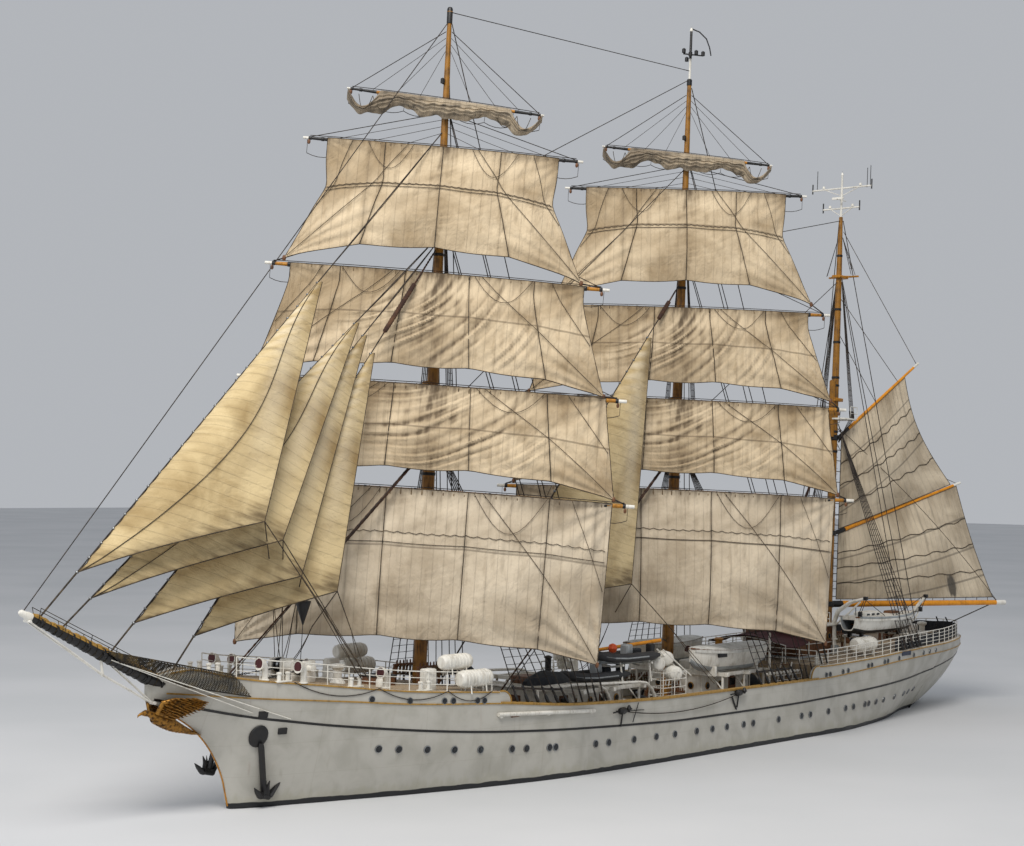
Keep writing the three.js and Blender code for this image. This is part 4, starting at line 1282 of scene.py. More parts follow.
@dataclass(frozen=True)
class Hull:
    """Plating, decks, mouldings, ports and rails of the hull."""

    levels: int = 26
    bulwark: float = 0.2
    waterway: float = 0.14
    port_glass: float = 0.17
    # Lower row of ports and the row under the forecastle, as places along the ship
    low_ports: tuple[float, ...] = (
        27.6, 26.4, 24.6, 22.8, 21.0, 18.7, 17.6, 15.8, 15.3, 11.8, 10.6, 8.2, 6.0, 4.1, 1.8, 0.1, -1.5,
        -3.4, -4.5,
        -7.5, -10.3, -11.4, -13.7, -16.0, -17.1, -18.8, -19.4, -20.6, -21.9, -24.0, -26.2, -27.5, -29.2,
    )
    high_ports: tuple[float, ...] = (28.4, 26.0, 23.7, 23.1, 21.4, 20.9)
    poop_ports: tuple[float, ...] = (
        -13.4, -13.9, -15.6, -16.3, -19.1, -19.6, -21.5, -22.0, -23.8, -26.3, -28.1, -29.3, -30.5,
    )
    port_line: Fair = Fair((
        (28, 2.8), (21, 2.24), (15.3, 1.9), (10.6, 1.74), (4, 1.65), (-10.3, 1.56), (-19, 1.65),
        (-29.2, 1.8),
    ))
    sheer_line: Fair = Fair((
        (40.0, 6.1), (37.4, 5.42), (35.1, 4.93), (32.9, 4.58), (30.1, 4.17), (19.7, 3.14), (7.7, 2.59),
        (2.5, 2.45), (-7.7, 2.44), (-16.6, 2.63), (-33.2, 3.32), (-39.5, 3.95),
    ))

    def stations(self) -> list[float]:
        """Gives the places of the shell's sections from the stem aft.

        Returns:
            The places, from the stem to the stern.
        """
        stretches = (
            (40.6, 34.9, 30), (34.7, 29.5, 15), (29, 20, 14), (19.71, 19.69, 2), (19, -11.8, 34),
            (-12.44, -12.46, 2),
            (-13, -31.2, 24), (-31.5, -31.6, 2), (-31.9, -41, 34),
        )
        return [float(x) for a, b, count in stretches for x in np.linspace(a, b, count)]

    def section(self, x: float) -> list[tuple[float, float, float]]:
        """Gives one side's points from the keel up and in to the middle of the deck.

        Args:
            x: place along the ship.

        Returns:
            The points.
        """
        low, rail = FORM.bottom(x), FORM.rail(x)
        side = []
        for share in np.linspace(0, 1, self.levels) ** 1.6:
            z = low + (rail - low) * float(share)
            side.append((x, FORM.side(x, z), z))
        half = FORM.half(x)
        if WAIST[0] < x < WAIST[1]:
            inner = min(FORM.side(x, WAIST_DECK), half) - self.bulwark
            top = [(half, rail + 0.02), (inner, rail + 0.02), (inner, WAIST_DECK), (0, WAIST_DECK)]
        else:
            inboard = min(self.waterway, half * 0.3)
            top = [(y, FORM.deck(x)) for y in (half, half - inboard, half - inboard * 2, 0)]
        return side + [(x, y, z) for y, z in top]

    def shell(self) -> bpy.types.Object:
        """Makes the plated shell with its decks.

        Returns:
            The piece.
        """
        shape = Shape()
        rings = []
        for x in self.stations():
            side = self.section(x)
            low = FORM.bottom(x)
            rings.append([(x, 0, low)] + side + [(x, -y, z) for _, y, z in side[-2::-1]])
        one = [HULL_WHITE] * (self.levels + 1) + [WHITE] * 2 + [DECK]
        shape.loft(np.array(rings), one + one[::-1], HULL_WHITE)
        return shape.piece("hull_shell")

    def strip(self, shape: Shape, line: Callable[[float], float], ends: Point, half: float, proud: float,
              finish: Finish) -> None:
        """Adds a moulding along both sides.

        Args:
            shape: what it is added to.
            line: height of its middle at a place.
            ends: its two places along the ship.
            half: half its height.
            proud: how far it stands out.
            finish: its finish.
        """
        for side in (PORT, STARBOARD):
            rings = []
            for x in np.linspace(ends[0], ends[1], 120):
                z = line(float(x))
                low, high = FORM.side(float(x), z - half), FORM.side(float(x), z + half)
                rings.append([(x, side * (low - 0.05), z - half), (x, side * (low + proud), z - half * 0.6),
                              (x, side * (high + proud), z + half * 0.6),
                              (x, side * (high - 0.05), z + half)])
            shape.loft(np.array(rings), finish)

    def mouldings(self) -> bpy.types.Object:
        """Makes the gilt line at the rail, the black sheer line, the waist's cap rail and the plank sheer.

        Returns:
            The piece.
        """
        shape = Shape()
        self.strip(shape, lambda x: FORM.rail(x) - 0.02, (39.6, -40.9), 0.055, 0.045, GOLD_LINE)
        self.strip(shape, self.sheer_line, (40.2, -39.5), 0.09, 0.03, BLACK)
        self.strip(shape, lambda x: FORM.deck(x) - 0.05, (39.4, 19.8), 0.055, 0.05, GOLD_LINE)
        self.strip(shape, lambda x: FORM.deck(x) - 0.05, (-12.6, -40.8), 0.055, 0.05, GOLD_LINE)
        for side in (PORT, STARBOARD):
            cap = []
            for x in np.linspace(19.65, -12.4, 60):
                _, y, z = FORM.edge(float(x))
                cap.append([(x, side * (y + 0.06), z), (x, side * (y + 0.06), z + 0.09),
                            (x, side * (y - 0.28), z + 0.09), (x, side * (y - 0.28), z)])
            shape.loft(np.array(cap), [GOLD_LINE, GOLD_LINE, WHITE, WHITE])
            self.brackets(shape, side)
        return shape.piece("hull_mouldings")

    def brackets(self, shape: Shape, side: float) -> None:
        """Adds the curved ends where the strakes of forecastle and poop run out on the rail.

        Args:
            shape: what they are added to.
            side: port or starboard.
        """
        for x, way in ((19.72, -1), (-12.47, 1)):
            top, rail = FORM.deck(x - way * 0.1) - 0.02, FORM.rail(x)
            outline = [(x, rail - 0.05), (x, top)]
            for a in np.linspace(0, math.pi / 2, 7):
                outline.append((x + way * (0.2 + 0.75 * math.sin(a)), rail + (top - rail) * math.cos(a)))
            outline.append((x + way * 0.95, rail - 0.05))
            shape.frame = Matrix(((1, 0, 0, 0), (0, 0, 1, 0), (0, 1, 0, 0), (0, 0, 0, 1)))
            y = FORM.half(x) * side
            shape.slab(np.array(outline), min(y, y - side * 0.2), max(y, y - side * 0.2), HULL_WHITE, 0.03)
            curve = [(px, pz + 0.02, y) for px, pz in outline[1:-1]]
            shape.tube(curve, 0.05, GOLD_LINE, 6)
            shape.frame = Matrix.Identity(4)

    def ports(self) -> list[bpy.types.Object]:
        """Makes the rims and the glass of the ports.

        Returns:
            The rims and the glasses, one piece each.
        """
        rims, lights = Copies(), Copies()
        spots = [(x, self.port_line(x), 1.0) for x in self.low_ports]
        spots += [(x, FORM.rail(x) + 0.16, 0.86) for x in self.high_ports]
        spots += [(x, FORM.rail(x) + 0.2, 0.8) for x in self.poop_ports]
        for x, z, size in spots:
            for side in (PORT, STARBOARD):
                out = FORM.outward(x, min(z, FORM.rail(x) - 0.1), side)
                point = (x, side * FORM.side(x, z), z)
                rims.put(point, out, size=size)
                lights.put(point, out, size=size)
        r = self.port_glass
        rim = Shape()
        profile = ((0.9, -0.04), (0.95, 0.035), (1.1, 0.06), (1.32, 0.05), (1.36, -0.03))
        rim.turned([(r * share, height) for share, height in profile], WHITE, 18)
        disc = Shape()
        profile = ((1.02, -0.03), (1.02, 0.066), (0.6, 0.074), (0.0, 0.078))
        disc.turned([(r * share, height) for share, height in profile], GLASS, 16)
        return [rims.piece("port_rims", rim, STEEL), lights.piece("port_lights", disc, GLASS)]

    def build(self) -> None:
        """Builds the hull."""
        nodes = ("hull", "forecastle", "poop", "bulwark_port", "bulwark_starboard")
        enter(self.shell(), Body.SHIP, Slot.WHITE, *nodes)
        enter(self.mouldings(), Body.SHIP, Slot.WHITE)
        rims, lights = self.ports()
        enter(rims, Body.SHIP, Slot.WHITE)
        enter(lights, Body.SHIP, Slot.BLACK)


@dataclass(frozen=True)
class YardPlan:
    """One yard: height and tilt at its mast, reach of its drop, and its spar."""

    name: str
    z: float
    tilt: float
    drop: float
    offset: float
    length: float
    radius: float

    def frame(self) -> Matrix:
        """Gives the yard's frame inside its mast's frame."""
        tilted = Matrix.Rotation(math.radians(-self.tilt), 4, "X")
        return Matrix.Translation((self.offset, 0, self.z)) @ tilted

    def thick(self, y: float) -> float:
        """Gives the spar's radius at a distance from its middle."""
        share = min(abs(y) / (self.length / 2), 1)
        return self.radius * (1 - 0.3 * share if share < 0.5 else 0.85 - 0.86 * (share - 0.5))


@dataclass(frozen=True)
class SquareCut:
    """Cut and set of a square sail."""

    head: float
    foot: float
    arch: float
    belly: float
    lead: float
    bunts: tuple[float, ...] = (-0.66, -0.22, 0.22, 0.66)
    flare: float = 0.0
    folds: float = 0.0
    fan: tuple[float, float] = (3.1, 5.9)
    gather: float = 2.2
    reefs: tuple[float, ...] = ()

    def half(self, v: np.ndarray) -> np.ndarray:
        """Gives the half breadth at places down the sail.

        Args:
            v: places down, from 0 to 1.

        Returns:
            The half breadths.
        """
        share = np.clip((v - self.flare) / (1 - self.flare), 0, 1) ** 1.12
        hollow = 0.16 * (self.flare > 0.3) * np.exp(-(((v - self.flare) / 0.14) ** 2))
        return self.head + (self.foot - self.head) * share - hollow

    def creases(self, u: np.ndarray, v: np.ndarray, drop: float) -> tuple[np.ndarray, np.ndarray]:
        """Gives the height of the slanting folds and where on the sail they are.

        Args:
            u: places across, from -1 to 1.
            v: places down, from 0 to 1.
            drop: depth of the sail.

        Returns:
            The folds' height from 0 to 1, and how strong they are from 0 to 1.
        """
        y, down = u * self.half(v), v * drop
        reach = np.hypot(y + self.fan[0], down + self.fan[1])
        turn = np.arctan2(down + self.fan[1], y + self.fan[0])
        phase = reach * 10.5 + 0.9 * np.sin(turn * 5 + reach) + 1.5 * np.sin(reach * 1.3 + turn * 3)
        broad, narrow = 0.5 + 0.5 * np.sin(phase), 0.5 + 0.5 * np.sin(phase * 1.9 + 2 * np.sin(turn * 8))
        patch = 0.5 + 0.5 * np.sin(reach * 2.3 + 1.8 * np.sin(turn * 3.1) + 0.7)
        where = np.exp(-(((u - 0.1) / 0.58) ** 4)) * np.sin(math.pi * np.clip(v, 0, 1) ** 1.2) ** 0.6
        return 0.68 * broad**1.8 + 0.32 * narrow, where * (0.3 + 0.7 * patch)

    def surface(self, yard: YardPlan, u: np.ndarray, v: np.ndarray) -> np.ndarray:
        """Gives the set sail's surface in the yard's frame.

        Args:
            yard: the yard that it hangs from.
            u: places across, from -1 to 1.
            v: places down, from 0 to 1.

        Returns:
            The points.
        """
        half = self.half(v)
        y = u * half
        thick = np.vectorize(yard.thick)(y)
        span = self.bunts[1] - self.bunts[0]
        scallop = np.abs(np.sin(math.pi * (u - self.bunts[0]) / span))
        reach = yard.drop - self.arch * (1 - np.abs(u) ** 3) + 0.16 * (scallop - 0.5) * (1 - u**4)
        z = thick * 0.75 - (reach + thick * 0.75) * v
        near = np.clip(1 - v * yard.drop / 1.1, 0, 1)
        x = self.lead * v + self.belly * np.sin(0.68 * math.pi * v) * (1 - u * u)
        x = x + (thick + 0.05) * near * near
        x = x + (0.13 * scallop - 0.07) * np.sin(math.pi * np.clip(v, 0.02, 0.98)) ** 0.7
        for side in (-1, 1):
            for high, turns, depth in ((1.0, 11, 0.05), (0.0, 9, 0.035)):
                out = (1 - side * u) * half
                far = np.abs(high - v) * yard.drop
                angle = np.arctan2(far, out + 0.4)
                reach_out = np.hypot(out, far)
                fade = np.minimum(reach_out / 2.2, 1) * np.exp(-reach_out / 5.5)
                x = x + depth * self.gather * fade * np.sin(angle * turns * 2 + side + high * 2)
        crest, where = self.creases(u, v, yard.drop)
        x = x + self.folds * (crest - 0.4) * where
        x = x + 0.03 * np.sin(y * 3.1 + 1.7 * np.sin(z * 1.1)) * np.sin(math.pi * v) * (1 - v)
        return np.stack([x, y, z], axis=-1)


def mesh_grid(rows: int, columns: int, low: float = -1.0) -> tuple[np.ndarray, np.ndarray]:
    """Gives places across and down for a grid of points."""
    u, v = np.meshgrid(np.linspace(low, 1, columns), np.linspace(0, 1, rows))
    return u, v


YARDS = {
    "fore": (
        YardPlan("course", 16.55, 1.3, 9.2, 1.3, 24, 0.25),
        YardPlan("lower_topsail", 22.63, 1.3, 5.75, 1.1, 22.65, 0.24),
        YardPlan("upper_topsail", 29.24, 2, 6.3, 0.62, 20.2, 0.22),
        YardPlan("topgallant", 36.74, 2.3, 7.2, 0.55, 16.5, 0.18),
        YardPlan("royal", 39.6, 5.3, 0, 0.5, 11.7, 0.14),
    ),
    "main": (
        YardPlan("course", 16.6, 0, 9.6, 1.3, 24, 0.25),
        YardPlan("lower_topsail", 22.7, 0, 5.75, 1.1, 22.65, 0.24),
        YardPlan("upper_topsail", 29, -0.7, 5.85, 0.62, 20.2, 0.22),
        YardPlan("topgallant", 37.1, -0.7, 7.4, 0.55, 16.5, 0.18),
        YardPlan("royal", 39.6, 3.8, 0, 0.5, 11.7, 0.14),
    ),
}
CUTS = {
    "course": SquareCut(10.7, 10.4, 0.95, 1.9, 0.2, folds=0.03, gather=3.2, reefs=(0.3, 0.37)),
    "lower_topsail": SquareCut(10.1, 10.9, 1.05, 1.05, 0.25, folds=0.23),
    "upper_topsail": SquareCut(8.6, 10.2, 0.9, 1.2, 0.4, folds=0.25, flare=0.15, fan=(6.0, 3.0)),
    "topgallant": SquareCut(
        6.8, 8.7, 1.15, 1.3, 0.15, (-0.5, 0.0, 0.5), flare=0.38, folds=0.025, gather=1.5, reefs=(0.4, 0.43)
    ),
}


@dataclass(frozen=True)
class MastPlan:
    """One mast: place, heel, heights of its top and crosstrees, and its taper."""

    name: str
    x: float
    heel: float
    top: float
    trees: float
    taper: tuple[tuple[float, float], ...]
    white: float = 99.0

    def thick(self, z: float) -> float:
        """Gives the mast's radius at a height in its own frame.

        Args:
            z: height along the mast.

        Returns:
            The radius.
        """
        rows = ((self.heel, self.foot()),) + self.taper
        heights = [row[1] for row in rows]
        return float(np.interp(z, heights, [row[0] for row in rows]))

    def foot(self) -> float:
        """Gives the height of its heel above the water, along the mast."""
        return FORM.deck(self.x - math.tan(RAKE) * 4) + 0.03

    def at(self, z: float) -> Vector:
        """Gives a place on its middle line, in the ship's frame."""
        return mast_frame(self.x) @ Vector((0, 0, z))


MASTS = {
    "fore": MastPlan("fore", 21.15, 0.4, 20.1, 33.1, ((0.36, 20), (0.28, 31.5), (0.2, 39.5), (0.12, 45.3))),
    "main": MastPlan("main", -2.79, 0.42, 20.1, 33.1,
                     ((0.36, 20), (0.28, 31.5), (0.2, 39.5), (0.1, 48.6)), 45.0),
    "mizzen": MastPlan("mizzen", -22.71, 0.34, 22.2, 33.1,
                       ((0.3, 20), (0.22, 33), (0.14, 37.7), (0.09, 41.1)), 37.7),
}


@dataclass(frozen=True)
class SquareRig:
    """Yards and square sails of one mast, which brace round it together."""

    mast: MastPlan
    body: Body
    cloth: float = 0.02
    grid: tuple[int, int] = (88, 129)
    deep_folds: float = 0.1

    def place(self) -> Matrix:
        """Gives the frame of the braced yards."""
        return mast_frame(self.mast.x, BRACED)

    def yard(self, plan: YardPlan) -> Shape:
        """Makes a yard with its bands, its truss and the ring round the mast.

        Args:
            plan: the yard.

        Returns:
            The shape.
        """
        shape = Shape()
        shape.frame = self.place() @ plan.frame()
        half = plan.length / 2
        arm = OCHRE if plan.length > 18 else BLACK
        marks = (-1, -0.952, -0.95, -0.9, -0.897, -0.7, -0.45, -0.2, 0, 0.2, 0.45, 0.7, 0.897,
                 0.9, 0.95, 0.952, 1)
        path = [(0, share * half, 0) for share in marks]
        colours = [WHITE, WHITE, arm, arm, arm] + [OCHRE] * 6 + [arm, arm, arm, WHITE, WHITE]
        shape.tube(path, [plan.thick(p[1]) for p in path], colours, 18)
        for share in (0.06, 0.3, 0.6, 0.86, 0.95):
            for side in (-1, 1):
                y = side * share * half
                band = plan.thick(y) + 0.025
                hoop = [(band * 0.9, -0.09), (band, -0.07), (band, 0.07), (band * 0.9, 0.09)]
                shape.turned(hoop, BLACK, 14, (0, y, 0), (0, 1, 0))
        shape.frame = self.place()
        inner = self.mast.thick(plan.z - 0.16) + 0.02
        collar = [(inner, -0.16), (inner + 0.1, -0.12), (inner + 0.1, 0.12), (inner, 0.16)]
        shape.turned(collar, BLACK, 20, (0, 0, plan.z))
        shape.box((inner, -0.1, plan.z - 0.1), (plan.offset, 0.1, plan.z + 0.1), BLACK, 0.03)
        for side in (-1, 1):
            shape.tube([(inner, side * 0.16, plan.z), (plan.offset, side * 0.5, plan.z)], 0.05, BLACK)
        return shape

    def sail(self, plan: YardPlan) -> bpy.types.Object:
        """Makes a set square sail.

        Args:
            plan: the yard that it hangs from.

        Returns:
            The piece.
        """
        cut = CUTS[plan.name]
        u, v = mesh_grid(*self.grid)
        points = cut.surface(plan, u, v)
        flat = np.stack([u * cut.half(v), v * plan.drop], axis=-1)
        down = v * plan.drop
        grime = 0.45 * np.exp(-down / 0.4) + 0.3 * np.exp(-down / 2.0)
        # Painted shade in the hollows of the folds and painted highlight on their crests
        crest, where = cut.creases(u, v, plan.drop)
        folded = cut.folds > self.deep_folds
        deep = np.maximum(where, 0) * (1.0 if folded else 0.35)
        grime += deep * (0.85 * (1 - np.minimum(crest * 2, 1)) - 1.0 * np.maximum(crest - 0.5, 0) / 0.5)
        # Darker band down the middle: a painted shadow of the mast seen through the cloth; the folded sails
        # also get a wider ragged dark band there
        across = np.abs(u) * cut.head
        grime += 0.35 * np.exp(-((across / 0.5) ** 2)) * (plan.name != "course") * (1 - 0.4 * v)
        ragged = across + 0.5 * np.sin(down * 2.1) + 0.3 * np.sin(down * 5.3)
        grime += 0.22 * np.exp(-((ragged / 1.9) ** 2)) * folded
        for bunt in cut.bunts:
            near = np.abs(u - bunt) * cut.head
            grime = np.maximum(grime, 0.5 * np.exp(-((near / 0.14) ** 2)))
        edge = np.minimum((1 - np.abs(u)) * cut.head, (1 - v) * plan.drop)
        grime = np.maximum(grime, 0.35 * np.exp(-edge / 0.18))
        shape = Shape()
        shape.frame = self.place() @ plan.frame()
        canvas = COURSE_CLOTH if plan.name == "course" else SQUARE_CLOTH
        shape.sheet(points, self.cloth, canvas, flat, np.clip(grime, -1, 1))
        return shape.piece(f"{self.mast.name}_{plan.name}_sail")

    def build(self) -> None:
        """Builds the yards and sails."""
        for plan in YARDS[self.mast.name]:
            spar = self.yard(plan).piece(f"{self.mast.name}_{plan.name}_spar")
            enter(spar, self.body, Slot.SPAR, f"{self.mast.name}_{plan.name}_yard")
            if plan.name not in CUTS:
                continue
            cut = CUTS[plan.name]
            sail = enter(self.sail(plan), self.body, Slot.CANVAS, f"{self.mast.name}_{plan.name}")
            wide, long = 2 * max(cut.head, cut.foot) * METRE, plan.drop * METRE


@dataclass(frozen=True)
class StaysailPlan:
    """A three-cornered sail on a stay: the stay's ends, the cloth's share of it, and the clew."""

    name: str
    foot: Point
    head: Point
    cloth: Point
    clew: Point
    hanks: int = 22

    def on_stay(self, share: float) -> Vector:
        """Gives a place on the stay."""
        a, b = Vector((self.foot[0], 0, self.foot[1])), Vector((self.head[0], 0, self.head[1]))
        return a.lerp(b, share)

    def surface(self, u: np.ndarray, v: np.ndarray) -> np.ndarray:
        """Gives the sail's surface.

        Args:
            u: places from the luff to the clew.
            v: places from the foot up.

        Returns:
            The points in the ship's frame.
        """
        tack, peak = np.array(self.on_stay(self.cloth[0])), np.array(self.on_stay(self.cloth[1]))
        clew = np.array(self.clew, float)
        face = np.cross(tack - peak, clew - peak)
        face /= np.linalg.norm(face)
        lee = face if face[1] > 0 else -face
        depth = 0.06 * np.linalg.norm(clew - peak)
        up = v[..., None] * 0.97
        luff = tack + (peak - tack) * up
        leech = clew + (peak - clew) * up
        points = luff + (leech - luff) * u[..., None]
        width = 1 - up[..., 0] * 0.985
        rounding = np.sqrt(width) * (0.35 + 0.65 * np.sin(math.pi * up[..., 0]))
        bulge = depth * np.sin(math.pi * u**0.8) * rounding
        fans = 0.05 * np.sin(v * 34 + u * 6) * u * (1 - u) ** 2 * 4 * width
        scallop = np.abs(np.sin(self.hanks * math.pi * v)) * np.exp(-u * 14) * 0.16 * (1 - v)
        inward = (clew - tack) / np.linalg.norm(clew - tack)
        points = points + lee * (bulge + fans)[..., None] + inward * scallop[..., None]
        points[..., 2] += 0.05 * np.sin(math.pi * u) * (1 - up[..., 0])
        return points


STAYSAILS = (
    StaysailPlan("flying_jib", (47.3, 10.3), (19.5, 38), (0.085, 0.66), (35.9, 3.4, 15.15)),
    StaysailPlan("outer_jib", (46.1, 9.7), (19.7, 31.8), (0.075, 0.76), (34.1, 2.8, 14.15)),
    StaysailPlan("inner_jib", (43.1, 8.4), (19.7, 31.55), (0.07, 0.755), (32.3, 2.3, 12.2)),
    StaysailPlan("fore_topmast_staysail", (39.6, 6.7), (19.7, 31.3), (0.1, 0.74), (29.6, 2.2, 11.3)),
    StaysailPlan("main_topmast_staysail", (19.4, 5.2), (-4.15, 31.1), (0.17, 0.86), (2.9, 1.5, 10.75)),
)


@dataclass(frozen=True)
class Headsails:
    """Jibs and staysails, set on stays."""

    cloth: float = 0.02
    grid: tuple[int, int] = (120, 40)

    def sail(self, plan: StaysailPlan) -> bpy.types.Object:
        """Makes one staysail.

        Args:
            plan: the staysail.

        Returns:
            The piece.
        """
        u, v = mesh_grid(*self.grid, 0.0)
        points = plan.surface(u, v)
        tack, clew = plan.on_stay(plan.cloth[0]), Vector(plan.clew)
        peak = plan.on_stay(plan.cloth[1])
        wide, tall = (clew - tack).length, (peak - tack).length
        rise, reach = np.array(peak - clew), np.array(tack - clew)
        rise /= np.linalg.norm(rise)
        reach -= rise * float(reach @ rise)
        reach /= np.linalg.norm(reach)
        far = points - np.array(clew)
        flat = np.stack([far @ rise, far @ reach], axis=-1)
        # Darker along the edges, near the clew and along the foot
        edge = np.minimum(u, 1 - u) * wide * (1 - v * 0.97)
        grime = 0.3 * np.exp(-np.minimum(edge, v * tall) / 0.2)
        grime = np.maximum(grime, 0.6 * np.exp(-np.hypot((1 - u) * wide, v * tall) / 1.6))
        grime += 0.5 * np.exp(-(((v * tall) / (0.9 + 0.9 * u)) ** 2))
        width = (1 - v * 0.97) * wide
        # Along the luff: painted shade near the hanks and painted highlight on the scallops' bulges between
        # them
        luff = np.abs(np.sin(plan.hanks * math.pi * v)) * np.exp(-u * width / 1.1)
        grime += 0.3 * np.exp(-u * width / 1.6) * (1 - luff) - 0.35 * luff
        # Lighter a little in from the leech
        grime -= 0.35 * np.exp(-(((1 - u) * width - 1.3) / 1.1) ** 2) * np.clip(v * 2, 0, 1)
        shape = Shape()
        shape.sheet(points, self.cloth, JIB_CLOTH, flat, np.clip(grime, -1, 1))
        return shape.piece(plan.name + "_sail")

    def build(self) -> None:
        """Builds the staysails."""
        for plan in STAYSAILS:
            sail = enter(self.sail(plan), Body.SHIP, Slot.CANVAS, plan.name)
            tack, peak = plan.on_stay(plan.cloth[0]), plan.on_stay(plan.cloth[1])


@dataclass(frozen=True)
class SparPlan:
    """Boom or gaff aft of the mizzen mast: height at the mast, reach, rise and radii."""

    name: str
    z: float
    reach: float
    rise: float
    heel: float
    tip: float

    def on(self, aft: float, above: float = 0.0) -> Vector:
        """Gives a place on its middle line in the mast's swung frame."""
        return Vector((-aft, 0, self.z + self.rise * aft / self.reach + above))

    def thick(self, aft: float) -> float:
        """Gives its radius at a distance aft."""
        return self.heel + (self.tip - self.heel) * aft / self.reach


SPARS = {
    "spanker_boom": SparPlan("spanker_boom", 8.3, 17.6, 0.5, 0.2, 0.15),
    "lower_gaff": SparPlan("lower_gaff", 13.5, 12.6, 4.58, 0.16, 0.1),
    "upper_gaff": SparPlan("upper_gaff", 20.5, 8, 6.65, 0.13, 0.09),
}


@dataclass(frozen=True)
class SpankerPlan:
    """A four-cornered sail under a gaff, its corners measured aft of the mast and up."""

    name: str
    gaff: str
    head: Point
    tack: Point
    clew: Point
    belly: float
    hollow: float = 0.25

    def surface(self, u: np.ndarray, v: np.ndarray) -> np.ndarray:
        """Gives the sail's surface in the swung frame.

        Args:
            u: places aft, from 0 to 1.
            v: places up, from 0 to 1.

        Returns:
            The points.
        """
        bar = SPARS[self.gaff]
        slope = math.atan2(bar.rise, bar.reach)
        low_x = self.tack[0] + (self.clew[0] - self.tack[0]) * u
        low_z = self.tack[1] + (self.clew[1] - self.tack[1]) * u
        reach = self.head[0] + (self.head[1] - self.head[0]) * u
        thick = bar.heel + (bar.tip - bar.heel) * reach / bar.reach
        high_z = bar.z + bar.rise * reach / bar.reach - (thick + 0.007) / math.cos(slope)
        rounding = 0.9 * np.sin(math.pi * v) + 0.25 * (1 - v)
        y = self.belly * np.sin(math.pi * u**0.8) * rounding
        y = y + 0.05 * np.sin(v * 22 + u * 9) * np.sin(math.pi * u) * np.sin(math.pi * v)
        aft = low_x + (reach - low_x) * v - self.hollow * u * np.sin(math.pi * v)
        return np.stack([-aft, y, low_z + (high_z - low_z) * v], axis=-1)


SPANKERS = (
    SpankerPlan("lower_spanker", "lower_gaff", (0.75, 12.2), (0.75, 8.68), (16.3, 9.2), 0.8),
    SpankerPlan("upper_spanker", "upper_gaff", (0.75, 6.7), (0.75, 13.98), (11.6, 17.9), 0.7, 0.9),
)


@dataclass(frozen=True)
class SpankerGear:
    """Boom, gaffs and the two spankers, which swing round the mizzen mast."""

    mast: MastPlan = MASTS["mizzen"]
    cloth: float = 0.02
    grid: tuple[int, int] = (60, 60)
    # The lower sail's dark mark: its place across and up, and its two half widths
    soot: tuple[float, float, float, float] = (0.74, 0.12, 0.022, 0.1)

    def place(self) -> Matrix:
        """Gives the swung frame."""
        return mast_frame(self.mast.x, SWUNG)

    def spar(self, plan: SparPlan) -> bpy.types.Object:
        """Makes the boom or a gaff with its jaws.

        Args:
            plan: the boom or gaff.

        Returns:
            The piece.
        """
        shape = Shape()
        shape.frame = self.place()
        start = self.mast.thick(plan.z) + plan.heel * plan.rise / plan.reach + 0.01
        marks = [start, start + 0.9, start + 0.95]
        marks += list(np.linspace(start + 2, plan.reach * 0.94, 7)) + [plan.reach * 0.945, plan.reach]
        path = [plan.on(aft) for aft in marks]
        colours: list[Finish] = [BLACK, BLACK] + [YELLOW] * (len(marks) - 4) + [WHITE]
        stout = 1.25 if plan.rise < 1 else 1.0
        shape.tube(path, [plan.thick(aft) * stout for aft in marks], colours, 16)
        z = plan.z + start * plan.rise / plan.reach
        inner = self.mast.thick(z - 0.2) + 0.012
        collar = [(inner, -0.2), (inner + 0.1, -0.15), (inner + 0.1, 0.15), (inner, 0.2)]
        shape.turned(collar, BLACK, 20, (0, 0, z))
        return shape.piece(plan.name + "_spar")

    def sail(self, plan: SpankerPlan) -> bpy.types.Object:
        """Makes one spanker.

        Args:
            plan: the spanker.

        Returns:
            The piece.
        """
        u, v = mesh_grid(*self.grid, 0.0)
        points = plan.surface(u, v)
        shape = Shape()
        shape.frame = self.place()
        wide = plan.clew[0] - plan.tack[0]
        tall = SPARS[plan.gaff].z - plan.tack[1]
        flat = np.stack([u * wide, (1 - v) * tall * (1 + 0.4 * u)], axis=-1)
        edge = np.minimum(np.minimum(u, 1 - u) * wide, np.minimum(v, 1 - v) * tall)
        grime = 0.4 * np.exp(-edge / 0.25)
        grime = np.maximum(grime, 0.5 * np.exp(-((u * wide) / 1.2) ** 2))
        if plan.name == "lower_spanker":
            across, up, wide_by, high_by = self.soot
            soot = np.exp(-(((u - across) / wide_by) ** 2)) * np.clip(1.3 - np.abs(v - up) / high_by, 0, 1)
            grime = np.maximum(grime, 3.2 * soot)
        shape.sheet(points, self.cloth, SPANKER_CLOTH, flat, np.clip(grime, 0, 3.2))
        return shape.piece(plan.name + "_sail")

    def build(self) -> None:
        """Builds the spanker gear."""
        for name, spar in SPARS.items():
            enter(self.spar(spar), Body.SPANKER_GEAR, Slot.SPAR, name)
        for plan in SPANKERS:
            sail = enter(self.sail(plan), Body.SPANKER_GEAR, Slot.CANVAS, plan.name)
            gaff = SPARS[plan.gaff]
            leech = (gaff.on(plan.head[1]).z - plan.clew[1]) * METRE


